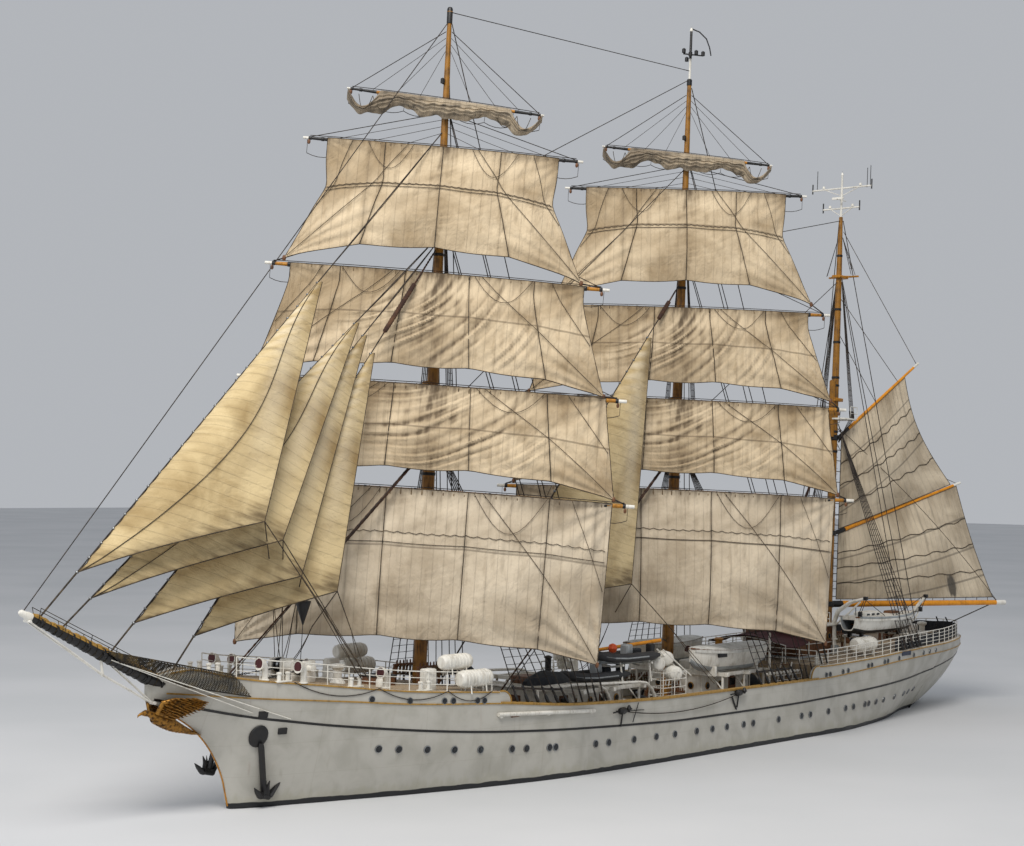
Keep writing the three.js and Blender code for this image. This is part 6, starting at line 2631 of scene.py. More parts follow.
@dataclass(frozen=True)
class HeadGear:
    """Bowsprit with its netting and stays, the gilded bird under it, and the anchors."""

    heel: Point = (38.2, 0, 6.1)
    tip: Point = (48.2, 0, 10.9)
    cap: float = 0.935
    sides: int = 24
    # The netting's upper and lower edges on one side, from the tip aft
    net_top: tuple[Point, ...] = ((43.3, 0.3, 8.75), (39.6, 0.98, 7.95), (36.4, 1.72, 7.25))
    net_foot: tuple[Point, ...] = ((42.6, 0.38, 8.15), (38.8, 1.0, 6.72), (35.4, 2.02, 6.05))

    def along(self, share: float, side: float = 0.0, above: float = 0.0) -> Vector:
        """Gives a place on the bowsprit."""
        return Vector(self.heel).lerp(Vector(self.tip), share) + Vector((0, side, above))

    def thick(self, share: float) -> float:
        """Gives the bowsprit's radius."""
        return float(np.interp(share, (0, 0.53, 1), (0.36, 0.3, 0.16)))

    def bowsprit(self) -> bpy.types.Object:
        """Makes the bowsprit, black with an ochre back which also paints the light on its top, with its iron
        bands, cleats and white cap.

        Returns:
            The piece.
        """
        shape = Shape()
        turn = turned_to(self.along(1) - self.along(0), (0, 1, 0))
        step = 2 * math.pi / self.sides
        around = [turn @ Vector((math.cos(k * step), math.sin(k * step), 0)) for k in range(self.sides)]
        rings = []
        for share in np.linspace(0, self.cap, 24):
            rings.append([tuple(self.along(share) + way * self.thick(share)) for way in around])
        # Faces that look upward get the gold finish: a gilt back, and a painted highlight where light falls
        # on the spar's top
        finishes = []
        for k in range(self.sides):
            upward = (turn @ Vector((math.cos((k + 0.5) * step), math.sin((k + 0.5) * step), 0))).z
            finishes.append(GOLD_LINE if upward > 0.35 else BLACK)
        shape.loft(np.array(rings), finishes, BLACK)
        spine, lumps = [], []
        for k, q in enumerate(np.linspace(0.12, 0.92, 60)):
            spine.append(self.along(float(q), 0.02 * math.sin(q * 60), self.thick(float(q)) + 0.02))
            lumps.append(0.1 + 0.025 * math.sin(k * 1.9) + 0.02 * math.sin(k * 0.7))
        shape.tube(spine, lumps, GOLD_LINE, 8)
        ahead = self.along(1) - self.along(0)
        r = self.thick(self.cap)
        profile = [(r * 0.8, 0), (r + 0.03, 0.03), (r + 0.03, 0.3), (r * 0.95, 0.36), (r * 0.85, 0.66),
                   (r * 0.5, 0.74)]
        shape.turned(profile, WHITE, 20, self.along(self.cap - 0.005), ahead)
        for share in (0.16, 0.25, 0.34, 0.43, 0.52, 0.61, 0.7, 0.79, 0.88):
            r = self.thick(share)
            band = [(r * 0.95, -0.07), (r + 0.03, -0.05), (r + 0.03, 0.05), (r * 0.95, 0.07)]
            shape.turned(band, BLACK, 18, self.along(share), ahead)
            for side in (PORT, STARBOARD):
                at = self.along(share, side * (r + 0.04), 0.02)
                shape.box(at - Vector((0.1, 0.05, 0.06)), at + Vector((0.1, 0.05, 0.06)), BLACK)
            shape.box(self.along(share + 0.02, 0, r - 0.02) - Vector((0.12, 0.1, 0.02)),
                      self.along(share + 0.02, 0, r) + Vector((0.12, 0.1, 0.07)), GOLD_LINE)
        return shape.piece("bowsprit_spar")

    def netting(self) -> bpy.types.Object:
        """Makes the netting between the bowsprit and the rails on both bows, with its head ropes.

        Returns:
            The piece.
        """
        lines = Lines()
        columns, rows = 44, 7

        def knot(i: float, j: float, side: float) -> Vector:
            """Gives the place of a knot.

            Args:
                i: its place along the net.
                j: its place down the net.
                side: port or starboard.

            Returns:
                The place in the ship's frame.
            """
            s = i / columns
            ends = []
            for a, b, c in (self.net_top, self.net_foot):
                first = Vector(a).lerp(Vector(b), min(s * 2, 1))
                last = Vector(b).lerp(Vector(c), max(s * 2 - 1, 0))
                ends.append(first if s < 0.5 else last)
            place = ends[0].lerp(ends[1], j / rows)
            place.y = (place.y + 0.12 * math.sin(math.pi * j / rows)) * side
            return place

        for side in (PORT, STARBOARD):
            for start in range(-rows, columns + 1):
                for way in (1, -1):
                    path = [knot(start + j, j if way > 0 else rows - j, side) for j in range(rows + 1)
                            if 0 <= start + j <= columns]
                    if len(path) > 1:
                        lines.run(path, 0.02)
            for j in (0, rows):
                lines.run([knot(i, j, side) for i in range(0, columns + 1, 2)], 0.03)
            for share in (0.3, 0.45, 0.6, 0.75, 0.9):
                lines.run([self.along(share, side * 0.2, 0.1), self.along(share, side * 0.36, 0.62)], 0.02)
            lines.run([self.along(s, side * 0.36, 0.62) for s in (0.2, 0.9)], 0.02)
            for share in np.linspace(0.2, 0.9, 22):
                lines.ring(self.along(float(share)), self.thick(float(share)) + 0.012, 0.018,
                           (0.9, 0, 0.43), 12)
        return lines.piece("bowsprit_netting", NET)

    def stays(self) -> bpy.types.Object:
        """Makes the white striker, the doubled bobstays and the guys.

        Returns:
            The piece.
        """
        shape = Shape()
        shape.tube([(43.42, 0, 8.4), (43.3, 0, 7.6), (43.27, 0, 7.5)], (0.075, 0.075, 0.11), WHITE, 10)
        for side in (PORT, STARBOARD):
            bobstay = [(47.75, side * 0.16, 10.45), (43.27, side * 0.1, 7.55), (40.2, side * 0.1, 5.92)]
            shape.tube(bobstay, 0.038, WHITE)
            shape.tube([(42.9, side * 0.08, 8.1), (40.25, side * 0.08, 5.98)], 0.03, WHITE)
            for foot in ((35.06, 1.78, 5.16), (32.94, 2.36, 4.72)):
                shape.tube([(43.0, side * 0.3, 8.3), (foot[0], side * foot[1], foot[2])], 0.026, WHITE)
        shape.tube([(40.16, -0.2, 5.94), (40.16, 0.2, 5.94)], 0.09, WHITE)
        shape.tube([(47.7, -0.28, 10.42), (47.7, 0.28, 10.42)], 0.07, WHITE)
        edge = [(x, 0, FORM.bottom(x) - 0.015) for x in np.linspace(39.3, 35.15, 40)]
        shape.tube(edge, 0.05, OCHRE)
        return shape.piece("bowsprit_stays")

    def bird(self) -> bpy.types.Object:
        """Makes the gilded seabird, feather by feather.

        Returns:
            The piece.
        """
        shape = Shape()
        spine = ((37.15, 4.1, 0.05), (37.6, 4.2, 0.12), (38.2, 4.42, 0.22), (38.9, 4.72, 0.33),
                 (39.5, 4.98, 0.37),
                 (39.95, 5.18, 0.3), (40.2, 5.32, 0.2), (40.42, 5.42, 0.17), (40.62, 5.46, 0.18),
                 (40.78, 5.45, 0.12))
        shape.tube([(x, 0, z) for x, z, _ in spine], [r for _, _, r in spine], GOLD, 20, 0.92)
        beak = [(40.74, 0, 5.46), (40.92, 0, 5.43), (41.06, 0, 5.36), (41.1, 0, 5.26)]
        shape.tube(beak, (0.1, 0.07, 0.045, 0.01), GOLD, 10)
        for side in (PORT, STARBOARD):
            shape.turned([(0.035, 0), (0.03, 0.02), (0.0, 0.03)], BLACK, 8, (40.64, side * 0.15, 5.52),
                         (0.3, side, 0.3))
            lead = [(40.1, 0.3, 5.4), (40.0, 0.62, 5.98), (39.45, 0.9, 6.12), (38.7, 1.2, 6.08)]
            lead = [Vector(p) for p in lead]
            trail = [(39.0, 0.48, 5.0), (38.45, 1.0, 5.25), (38.0, 1.42, 5.55), (37.75, 1.52, 5.9)]
            trail = [Vector(p) for p in trail]
            for way in (lead, trail):
                for point in way:
                    point.y *= side
            shape.tube(lead, (0.12, 0.13, 0.1, 0.04), GOLD, 10)
            drop = Vector((0, side * 0.04, 0.03))
            base = [[tuple(a.lerp(b, q) - drop) for a, b in zip(lead, trail)] for q in (0, 0.3, 0.6, 0.85)]
            shape.sheet(np.array(base), 0.07, GOLD)
            layers = ((1.0, 13, 0.15), (0.62, 11, 0.15), (0.36, 9, 0.14))
            for layer, (reach, count, broad) in enumerate(layers):
                for k in range(count):
                    s = k / (count - 1) * 2.999
                    i, t = int(s), s - int(s)
                    root, tip = lead[i].lerp(lead[i + 1], t), trail[i].lerp(trail[i + 1], t)
                    tip = root.lerp(tip, reach)
                    lift = Vector((0.02, side * 0.05 * layer, 0.045 * layer))
                    path = [root.lerp(tip, q) + lift for q in (0, 0.3, 0.75, 0.95, 1.0)]
                    shape.tube(path, (0.05, broad, broad, broad * 0.6, 0.015), GOLD, 8, 0.32)
            for k in range(5):
                root = Vector((37.9, side * 0.04 * k, 4.32))
                tip = Vector((37.0 + 0.07 * k, side * 0.085 * k, 4.0 + 0.02 * k))
                shape.tube([root.lerp(tip, q) for q in (0, 0.4, 0.9, 1.0)],
                           (0.05, 0.07, 0.06, 0.015), GOLD, 8, 0.35)
        return shape.piece("figurehead_bird")

    def plumage(self) -> bpy.types.Object:
        """Makes the small feathers of the bird's breast.

        Returns:
            The piece.
        """
        feathers = Copies()
        for row in range(11):
            share = row / 10
            x, z = 40.15 - 1.95 * share, 5.2 - 0.72 * share
            r = 0.27 + 0.12 * math.sin(math.pi * share) - 0.1 * share
            for k in range(9):
                angle = math.radians(-80 + 20 * k + 10 * (row % 2))
                out = Vector((0.35 * math.cos(angle) * 0.4, math.sin(angle), -math.cos(angle)))
                root = Vector((x, 0, z)) + out.normalized() * r * 0.93
                feathers.put(root, Vector((-0.92, 0, -0.39)) + out * 0.22, out)
        leaf = Shape()
        quill = [(0, 0, z) for z in (0, 0.1, 0.2, 0.24)]
        leaf.tube(quill, (0.02, 0.055, 0.045, 0.008), GOLD, 7, 0.4)
        return feathers.piece("figurehead_plumage", leaf, GOLD)

    def anchor(self, side: float) -> bpy.types.Object:
        """Makes a hawse plate with its anchor hauled up against it.

        Args:
            side: port or starboard.

        Returns:
            The piece.
        """
        shape = Shape()
        out = FORM.outward(34.4, 3.9, side)
        plate = Vector((34.48, side * FORM.side(34.48, 3.9), 3.9))
        oval = Matrix.Rotation(-side * 0.35, 4, "Z") @ Matrix.Diagonal((1, 1.2, 1, 1))
        shape.frame = Matrix.Translation(plate) @ turned_to(out) @ oval
        lip = [(0.4, -0.12), (0.5, -0.02), (0.52, 0.06), (0.46, 0.13), (0.3, 0.16), (0.05, 0.17)]
        shape.turned(lip, BLACK, 28)
        shape.frame = Matrix.Identity(4)
        high = plate + out * 0.2 - Vector((0.12, 0, 0.3))
        if side > 0:
            low = Vector((33.68, FORM.side(33.68, 0.7) + 0.22, 0.62))
        else:
            low = Vector((35.3, -1.45, 1.75))
        shape.tube([high, high.lerp(low, 0.08), high.lerp(low, 0.9), low],
                   (0.12, 0.17, 0.17, 0.22), BLACK, 8, 0.75)
        shape.tube([low + Vector((0.32, 0, 0.12)), low - Vector((0.32, 0, 0.02))], 0.22, BLACK, 10, 0.9)
        for way, reach in ((1, 0.8), (-1, 1.15)):
            root = low + Vector((0.3 * way, side * 0.06, 0.02))
            tip = low + Vector((way * reach, side * 0.14, 0.55 + 0.38 * (way < 0)))
            middle = root.lerp(tip, 0.55)
            path = [root - Vector((way * 0.05, 0, 0.08)), root, middle, tip]
            shape.tube(path, (0.16, 0.26, 0.19, 0.03), BLACK, 8, 0.55)
            toe = low + Vector((way * 0.12, side * 0.3, 0.85))
            claw = [low + Vector((way * 0.16, side * 0.1, 0)), low.lerp(toe, 0.6), toe]
            shape.tube(claw, (0.15, 0.11, 0.02), BLACK, 8, 0.6)
        for x, z in ((34.46, 5.05), (33.24, 4.1)):
            face = FORM.outward(x, z, side)
            shape.frame = Matrix.Translation((x, side * FORM.side(x, z), z)) @ turned_to(face)
            shape.box((-0.26, -0.18, -0.06), (0.26, 0.18, 0.07), BLACK, 0.03)
            shape.frame = Matrix.Identity(4)
        return shape.piece("anchor_gear_port" if side > 0 else "anchor_gear_starboard")

    def build(self) -> None:
        """Builds the head gear."""
        enter(self.bowsprit(), Body.SHIP, Slot.SPAR, "bowsprit")
        enter(self.netting(), Body.SHIP, Slot.WIRE)
        enter(self.stays(), Body.SHIP, Slot.WHITE, "martingale")
        enter(self.bird(), Body.SHIP, Slot.GILT, "figurehead")
        enter(self.plumage(), Body.SHIP, Slot.GILT)
        enter(self.anchor(PORT), Body.SHIP, Slot.BLACK, "anchor_port")
        enter(self.anchor(STARBOARD), Body.SHIP, Slot.BLACK, "anchor_starboard")


# A boat's half breadth and the rise of its keel, from the stern to the bow, as shares
BOAT_WIDTH = Fair(((0, 0.6), (0.22, 0.9), (0.55, 1), (0.8, 0.76), (0.93, 0.4), (1, 0.06)))
BOAT_KEEL = Fair(((0, 0.26), (0.2, 0), (0.78, 0.03), (0.92, 0.2), (1, 0.55)))


@dataclass(frozen=True)
class BoatPlan:
    """A boat: middle of its keel, length, half breadth and depth."""

    x: float
    y: float
    z: float
    length: float
    half: float
    depth: float
    bow: float = 1.0

    def ring(self, share: float, inset: float = 0.0, low: float = 0.0) -> list[tuple[float, float, float]]:
        """Gives a section at a share of the length from the stern.

        Args:
            share: place along the boat.
            inset: how far inside the skin it lies.
            low: how far above the keel it starts.

        Returns:
            Its points from rail to rail, below.
        """
        width = BOAT_WIDTH(share) * self.half
        keel = BOAT_KEEL(share) * self.depth
        sheer = self.depth * (1 + 0.14 * (2 * share - 1) ** 2)
        x = self.x + self.bow * (share - 0.5) * self.length
        points = []
        for k in range(17):
            t = k / 8 - 1
            down = (1 - abs(t) ** 2.6) ** 0.75
            wide = max(width - inset, 0.02) * math.copysign(min(abs(t) ** 0.62, 1), t)
            points.append((x, self.y + wide, self.z + sheer - (sheer - keel - low) * down))
        return points

    def hull(self, shape: Shape, finish: Finish, bottom: Finish, inside: Finish) -> None:
        """Adds an open hull with its skin, rubbing strakes, keel and thwarts.

        Args:
            shape: what it is added to.
            finish: finish of the topsides.
            bottom: finish below.
            inside: finish of the inside.
        """
        rings = []
        shares = np.linspace(0, 1, 22)
        for share in shares:
            rings.append(self.ring(float(share)) + self.ring(float(share), 0.06, 0.08)[::-1])
        outer = [finish] * 3 + [bottom] * 10 + [finish] * 3
        shape.loft(np.array(rings), outer + [finish] + [inside] * 16 + [finish], finish)
        for end in (0, 16):
            shape.tube([self.ring(float(s))[end] for s in shares], 0.055, TEAK, 8)
        shape.tube([self.ring(float(s))[8] for s in np.linspace(0.1, 1, 14)], 0.06, bottom, 6)
        for share in (0.2, 0.4, 0.6, 0.78):
            ring = self.ring(share, 0.06)
            a, b = Vector(ring[1]), Vector(ring[15])
            shape.box((a.x - 0.14, a.y, a.z - 0.12), (a.x + 0.14, b.y, a.z - 0.06), TEAK)

    def lid(self, shape: Shape, finish: Finish, crown: float, ends: Point = (0.0, 1.0)) -> None:
        """Adds a crowned cover over the boat, drawn in below the rubbing strake.

        Args:
            shape: what it is added to.
            finish: its finish.
            crown: how high its ridge stands over the rails.
            ends: shares of the length that it covers.
        """
        rings = []
        for share in np.linspace(ends[0], ends[1], 26):
            ring = self.ring(float(share))
            a, b = Vector(ring[0]), Vector(ring[16])
            half = (b.y - a.y) / 2 + 0.05
            tuck = 0.03 * math.sin(share * 90)
            row = [(a.x, self.y - half, a.z - 0.22)]
            for k in range(9):
                t = k / 4 - 1
                rise = crown * (1 - abs(t) ** 1.7) * (1 - abs(2 * share - 1) ** 3)
                row.append((a.x, self.y + half * t, a.z + 0.06 + rise + tuck * (1 - t * t)))
            row += [(a.x, self.y + y, a.z - 0.22) for y in (half, half - 0.1, 0.1 - half)]
            rings.append(row)
        shape.loft(np.array(rings), finish)


@dataclass(frozen=True)
class Boats:
    """Cutters over the main house, launches in their davits, and the two rubber boats."""

    cutter_y: float = 2.75
    launch_y: float = 3.8
    # Rise of a rubber boat's tube at the corners of its outline
    tube_rise: tuple[float, ...] = (0, 0, 0.06, 0.16, 0.22, 0.16, 0.06, 0, 0)

    def cutter(self, side: float) -> bpy.types.Object:
        """Makes a covered cutter on its chocks.

        Args:
            side: port or starboard.

        Returns:
            The piece.
        """
        y = side * self.cutter_y
        plan = BoatPlan(-5.9, y, 4.74, 8.1, 1.15, 1.45)
        shape = Shape()
        plan.hull(shape, WHITE, GREY, GREY)
        plan.lid(shape, COVER, 0.24, (0.02, 0.97))
        for x in (-8.4, -3.6):
            shape.box((x - 0.09, y - 0.9, 4.5), (x + 0.09, y + 0.9, 5.15), WHITE)
        shape.box((-4.6, y + side - 0.08, 5.75), (-3.7, y + side + 0.08, 6.0), BLACK)
        return shape.piece("cutter_boat_port" if side > 0 else "cutter_boat_starboard")

    def launch(self, side: float) -> bpy.types.Object:
        """Makes a launch with its cabin and engine box.

        Args:
            side: port or starboard.

        Returns:
            The piece.
        """
        y = side * self.launch_y
        plan = BoatPlan(-24.3, y, 6.4, 9.2, 1.12, 1.15, -1)
        shape = Shape()
        plan.hull(shape, WHITE, BLACK, GREY)
        plan.lid(shape, WHITE, 0.12, (0.04, 0.96))
        shape.slab(rounded(-23.6, -21.2, y - 0.5, y + 0.5, 0.2), 7.4, 8.0, WHITE, 0.08)
        for k in range(3):
            shape.box((-23.3 + 0.68 * k, y - 0.52, 7.7), (-22.9 + 0.68 * k, y + 0.52, 7.88), GLASS)
        shape.slab(rounded(-26.4, -25.3, y - 0.4, y + 0.4, 0.15), 7.4, 7.9, TEAK, 0.06)
        for share in (0.12, 0.9):
            ring = plan.ring(share)
            shape.tube([ring[8], (ring[8][0], y, 8.35)], 0.04, STEEL)
        shape.tube([plan.ring(s)[16 if side > 0 else 0] for s in np.linspace(0.05, 0.95, 12)], 0.09, GREY, 8)
        return shape.piece("launch_boat_port" if side > 0 else "launch_boat_starboard")

    def davits(self, side: float) -> bpy.types.Object:
        """Makes a launch's pair of gantry davits with their falls and braces.

        Args:
            side: port or starboard.

        Returns:
            The piece.
        """
        shape = Shape()
        fore = [(2.45, 4.6), (2.4, 7.2), (2.75, 8.05), (3.8, 8.75), (5.05, 9.1)]
        after = [(3.3, 4.6), (3.35, 6.5), (3.8, 7.35), (4.5, 8.25), (5.1, 8.95)]
        for x, bend in ((-20.1, fore), (-28.7, after)):
            shape.tube([(x, side * y, z) for y, z in bend], (0.2, 0.21, 0.24, 0.2, 0.12), WHITE, 12, 0.7)
            (hy, hz), (my, mz) = bend[-1], bend[-2]
            brace = [(x, side * (my - 0.1), mz - 0.75), (x, side * (hy - 0.45), hz - 0.28)]
            shape.tube([(x, side * (bend[1][0] + 0.1), bend[1][1] - 0.2)] + brace, 0.07, WHITE)
            clamp = [(0.18, -0.06), (0.25, -0.04), (0.25, 0.04), (0.18, 0.06)]
            for z in (5.0, 6.0):
                shape.turned(clamp, WHITE, 12, (x, side * bend[0][0], z))
            shape.tube([(x + 0.6, side * (bend[0][0] + 0.3), 4.75), (x + 0.05, side * bend[1][0], 6.3)],
                       0.07, WHITE)
            for dy in (-0.08, 0.08):
                shape.tube([(x, side * (hy + dy), hz), (x, side * (hy - 0.45 + dy), 8.0)], 0.028, TARRED, 5)
            shape.box((x - 0.1, side * (hy - 0.45) - 0.14, 7.75),
                      (x + 0.1, side * (hy - 0.45) + 0.14, 8.1), BLACK)
            shape.box((x - 0.14, side * hy - 0.14, hz - 0.12), (x + 0.14, side * hy + 0.14, hz + 0.12), BLACK)
            shape.box((x - 0.25, side * bend[0][0] - 0.22, 5.0),
                      (x + 0.25, side * bend[0][0] + 0.22, 5.55), GREY)
            way = 1 if x < -24 else -1
            shape.tube([(x, side * (hy - 0.45), 7.8), (x + way * 0.9, side * 3.75, 7.6)], 0.035, TARRED, 5)
            shape.tube([(x, side * (hy - 0.2), hz), (x + way * 3.6, side * 4.6, 7.6)], 0.025, TARRED, 5)
        for x in (-26.6, -21.3):
            shape.tube([(x, side * 2.4, 6.15), (x, side * 4.95, 6.15)], 0.08, WHITE)
            for y in (2.6, 4.9):
                shape.tube([(x, side * y, 4.6), (x, side * y, 6.15)], 0.07, WHITE)
            for y in (3.0, 4.0):
                shape.box((x - 0.15, side * y - 0.12, 6.1), (x + 0.15, side * y + 0.12, 6.6), BLACK)
        return shape.piece("davits_port" if side > 0 else "davits_starboard")

    def rubber_boat(self, name: str, x: float, y: float, z: float) -> bpy.types.Object:
        """Makes a rubber boat on its cradle, with its steering stand and engine.

        Args:
            name: name of the piece.
            x: its middle along the ship.
            y: its middle across the ship.
            z: height of its tubes.

        Returns:
            The piece.
        """
        shape = Shape()
        loop = [(-2.6, -0.8), (0.9, -0.82), (1.9, -0.66), (2.5, -0.36), (2.68, 0), (2.5, 0.36), (1.9, 0.66)]
        loop += [(0.9, 0.82), (-2.6, 0.8)]
        corners = [Vector((x + dx, y + dy, z + rise)) for (dx, dy), rise in zip(loop, self.tube_rise)]
        curve = []
        for a, b in zip(corners[:-1], corners[1:]):
            curve += [a.lerp(b, t) for t in np.linspace(0, 1, 5, endpoint=False)]
        curve.append(corners[-1])
        radii = [0.12] + [0.28] * (len(curve) - 2) + [0.12]
        shape.tube(curve, radii, RUBBER, 16)
        fender = [(p.x, p.y + 0.26 * float(np.sign(round(p.y - y, 4))), p.z) for p in curve[2:-2]]
        shape.tube(fender, 0.05, GREY, 6)
        rings = []
        for share in np.linspace(0, 1, 12):
            wide = 0.75 * (1 - max(share - 0.6, 0) ** 2 * 5)
            keel = -0.5 + 0.45 * max(share - 0.55, 0)
            px = x - 2.5 + 4.9 * share
            rings.append([(px, y - wide, z - 0.12), (px, y, z + keel), (px, y + wide, z - 0.12),
                          (px, y, z - 0.05)])
        shape.loft(np.array(rings), GREY)
        shape.box((x - 0.6, y - 0.3, z - 0.05), (x + 0.05, y + 0.3, z + 0.75), GREY, 0.08)
        shape.box((x - 1.5, y - 0.3, z - 0.05), (x - 0.9, y + 0.3, z + 0.45), DARK_CLOTH, 0.08)
        shape.slab(rounded(x - 3.0, x - 2.45, y - 0.22, y + 0.22, 0.12), z - 0.1, z + 0.65, BLACK, 0.08)
        shape.tube([(x - 2.75, y, z - 0.1), (x - 2.75, y, z - 0.8)], 0.09, BLACK)
        for px in (x - 1.7, x + 1.2):
            for dy in (-0.9, 0.9):
                shape.tube([(px, y + dy, 4.85), (px, y + dy * 0.75, z - 0.25)], 0.06, WHITE)
            shape.tube([(px, y - 0.95, z - 0.42), (px, y, z - 0.58), (px, y + 0.95, z - 0.42)], 0.07, WHITE)
        return shape.piece(name)

    def build(self) -> None:
        """Builds the boats."""
        for side, label in ((PORT, "port"), (STARBOARD, "starboard")):
            enter(self.cutter(side), Body.SHIP, Slot.WHITE, f"cutter_{label}")
            enter(self.launch(side), Body.SHIP, Slot.WHITE, f"launch_{label}")
            enter(self.davits(side), Body.SHIP, Slot.WHITE)
        enter(self.rubber_boat("rubber_work_boat", 9.1, 3.4, 5.42), Body.SHIP, Slot.RUBBER, "work_boat")
        enter(self.rubber_boat("rubber_dinghy", 6.3, 3.6, 6.45), Body.SHIP, Slot.RUBBER)


@dataclass(frozen=True)
class DeckWorks:
    """Deck houses, boat beams, windlass, ventilators, raft canisters, rails and all loose gear on deck."""

    fore_house: tuple[float, ...] = (4.6, 12.4, 2.2, 4.6)
    main_house: tuple[float, ...] = (-9.6, -3.9, 2.2, 4.45)
    chart_house: tuple[float, ...] = (-20.2, -15.4, 2.3, 7.0)
    boom_post: float = 8.6
    cage: tuple[float, float, float] = (4.1, 2.9, 1.7)
    ladder_half: float = 0.42
    # Port side's canisters: middle, length, radius, and 1 where they slant outward
    rafts: tuple[tuple[float, ...], ...] = (
        (22.4, 4.25, 7.2, 2.3, 0.42, 0), (21.35, 4.75, 6.25, 2.5, 0.47, 0), (3.3, 3.9, 5.85, 1.25, 0.42, 1),
        (2.15, 3.7, 6.1, 1.25, 0.42, 1), (2.2, 4.4, 5.2, 1.3, 0.45, 1), (-20.4, 4.75, 5.75, 2.6, 0.52, 0),
    )
    # Covered heaps: ends along the ship, middle and half breadth across it, foot and top
    heaps: tuple[tuple[float, ...], ...] = (
        (12.2, 16.0, 3.9, 0.7, 5.35, 6.1), (0.4, 3.4, 1.9, 0.9, 2.25, 3.5),
        (13.0, 15.6, 1.2, 1.0, 2.25, 3.4), (-12.0, -10.6, 1.2, 0.9, 2.25, 4.0),
    )
    winches: tuple[Point, ...] = ((19.0, 1.9, 2.2), (-3.8, 2.9, 2.2), (13.4, 2.9, 2.2), (-24.6, 1.6, 5.05))

    def barrel(self, shape: Shape, middle: Point, length: float, radius: float,
               along: Point = (1, 0, 0)) -> None:
        """Adds a raft canister with its seam, straps and cradle.

        Args:
            shape: what it is added to.
            middle: middle of the canister.
            length: its length.
            radius: its radius.
            along: direction of its axis.
        """
        axis = Vector(along).normalized()
        start = Vector(middle) - axis * length / 2
        marks = [(0.72, 0.0), (0.9, 0.05), (0.98, 0.14)]
        profile = [(radius * r, length * s * 0.6) for r, s in marks]
        hoop = ((0, -0.045), (0.03, -0.03), (0.03, 0.03), (0, 0.045))
        for k in range(7):
            at = length * (0.16 + 0.68 * k / 6)
            profile += [(radius + out, at + shift) for out, shift in hoop]
        profile += [(radius * r, length * (1 - s * 0.6)) for r, s in marks[::-1]]
        shape.turned(profile, WHITE, 20, start, axis)
        across = axis.cross(Vector((0, 0, 1))).normalized()
        for share in (0.25, 0.75):
            at = start + axis * length * share
            feet = [at + across * s * radius * 0.9 - Vector((0, 0, radius + 0.35)) for s in (1, -1)]
            rest = [at + across * s * radius * 0.75 - Vector((0, 0, radius * 0.75)) for s in (1, -1)]
            shape.tube([feet[0], rest[0]], 0.04, WHITE, 6)
            shape.tube([feet[1], rest[1]], 0.04, WHITE, 6)
            shape.tube([rest[0], at - Vector((0, 0, radius + 0.04)), rest[1]], 0.045, WHITE, 6)

    def cowl(self, shape: Shape, place: Point, height: float, radius: float, facing: float = 1.0) -> None:
        """Adds a cowl ventilator.

        Args:
            shape: what it is added to.
            place: where it stands.
            height: height of its mouth.
            radius: its radius.
            facing: 1 to face ahead, -1 to face astern.
        """
        x, y, z = place
        bend = [(x, y, z), (x, y, z + height * 0.6), (x + 0.04 * facing, y, z + height * 0.8),
                (x + 0.18 * facing, y, z + height), (x + 0.42 * facing, y, z + height * 1.04)]
        shape.tube(bend, [radius * share for share in (0.6, 0.55, 0.65, 0.9, 1.15)], WHITE, 14)
        mouth = [(radius * 0.95, 0), (radius * 0.95, 0.012), (0, 0.02)]
        shape.turned(mouth, MAROON, 14, bend[-1], (facing, 0, 0.08))
        shape.turned([(radius * 0.8, 0), (radius * 0.8, 0.05), (radius * 0.62, 0.08)], WHITE, 14, place)

    def bollards(self, shape: Shape, place: Point, finish: Finish, size: float = 1.0) -> None:
        """Adds a pair of bollards on their bed.

        Args:
            shape: what they are added to.
            place: where they stand.
            finish: its finish.
            size: its scale.
        """
        x, y, z = place
        shape.box((x - 0.5 * size, y - 0.16 * size, z), (x + 0.5 * size, y + 0.16 * size, z + 0.07), finish)
        post = [(0.12, 0.05), (0.11, 0.4), (0.15, 0.44), (0.15, 0.5), (0.08, 0.53)]
        for dx in (-0.3, 0.3):
            shape.turned(post, finish, 14, (x + dx * size, y, z))

    def light(self, shape: Shape, place: Point, facing: Point) -> None:
        """Adds a round light in a wall, with its brass rim."""
        shape.turned([(0.24, -0.05), (0.25, 0.03), (0.2, 0.05)], BRASS, 16, place, facing)
        shape.turned([(0.18, -0.05), (0.18, 0.055), (0, 0.06)], GLASS, 16, place, facing)

    def ladder(self, shape: Shape, y: float, treads: Iterable[Point], rail: Sequence[Point]) -> None:
        """Adds a ladder between two decks.

        Args:
            shape: what it is added to.
            y: its middle across the ship.
            treads: place along the ship and height of each tread.
            rail: ends of its sides, as places along the ship and heights.
        """
        for x, z in treads:
            shape.box((x - 0.13, y - 0.4, z), (x + 0.1, y + 0.4, z + 0.04), TEAK)
        for dy in (-self.ladder_half, self.ladder_half):
            shape.tube([(x, y + dy, z) for x, z in rail], 0.05, WHITE, 6)

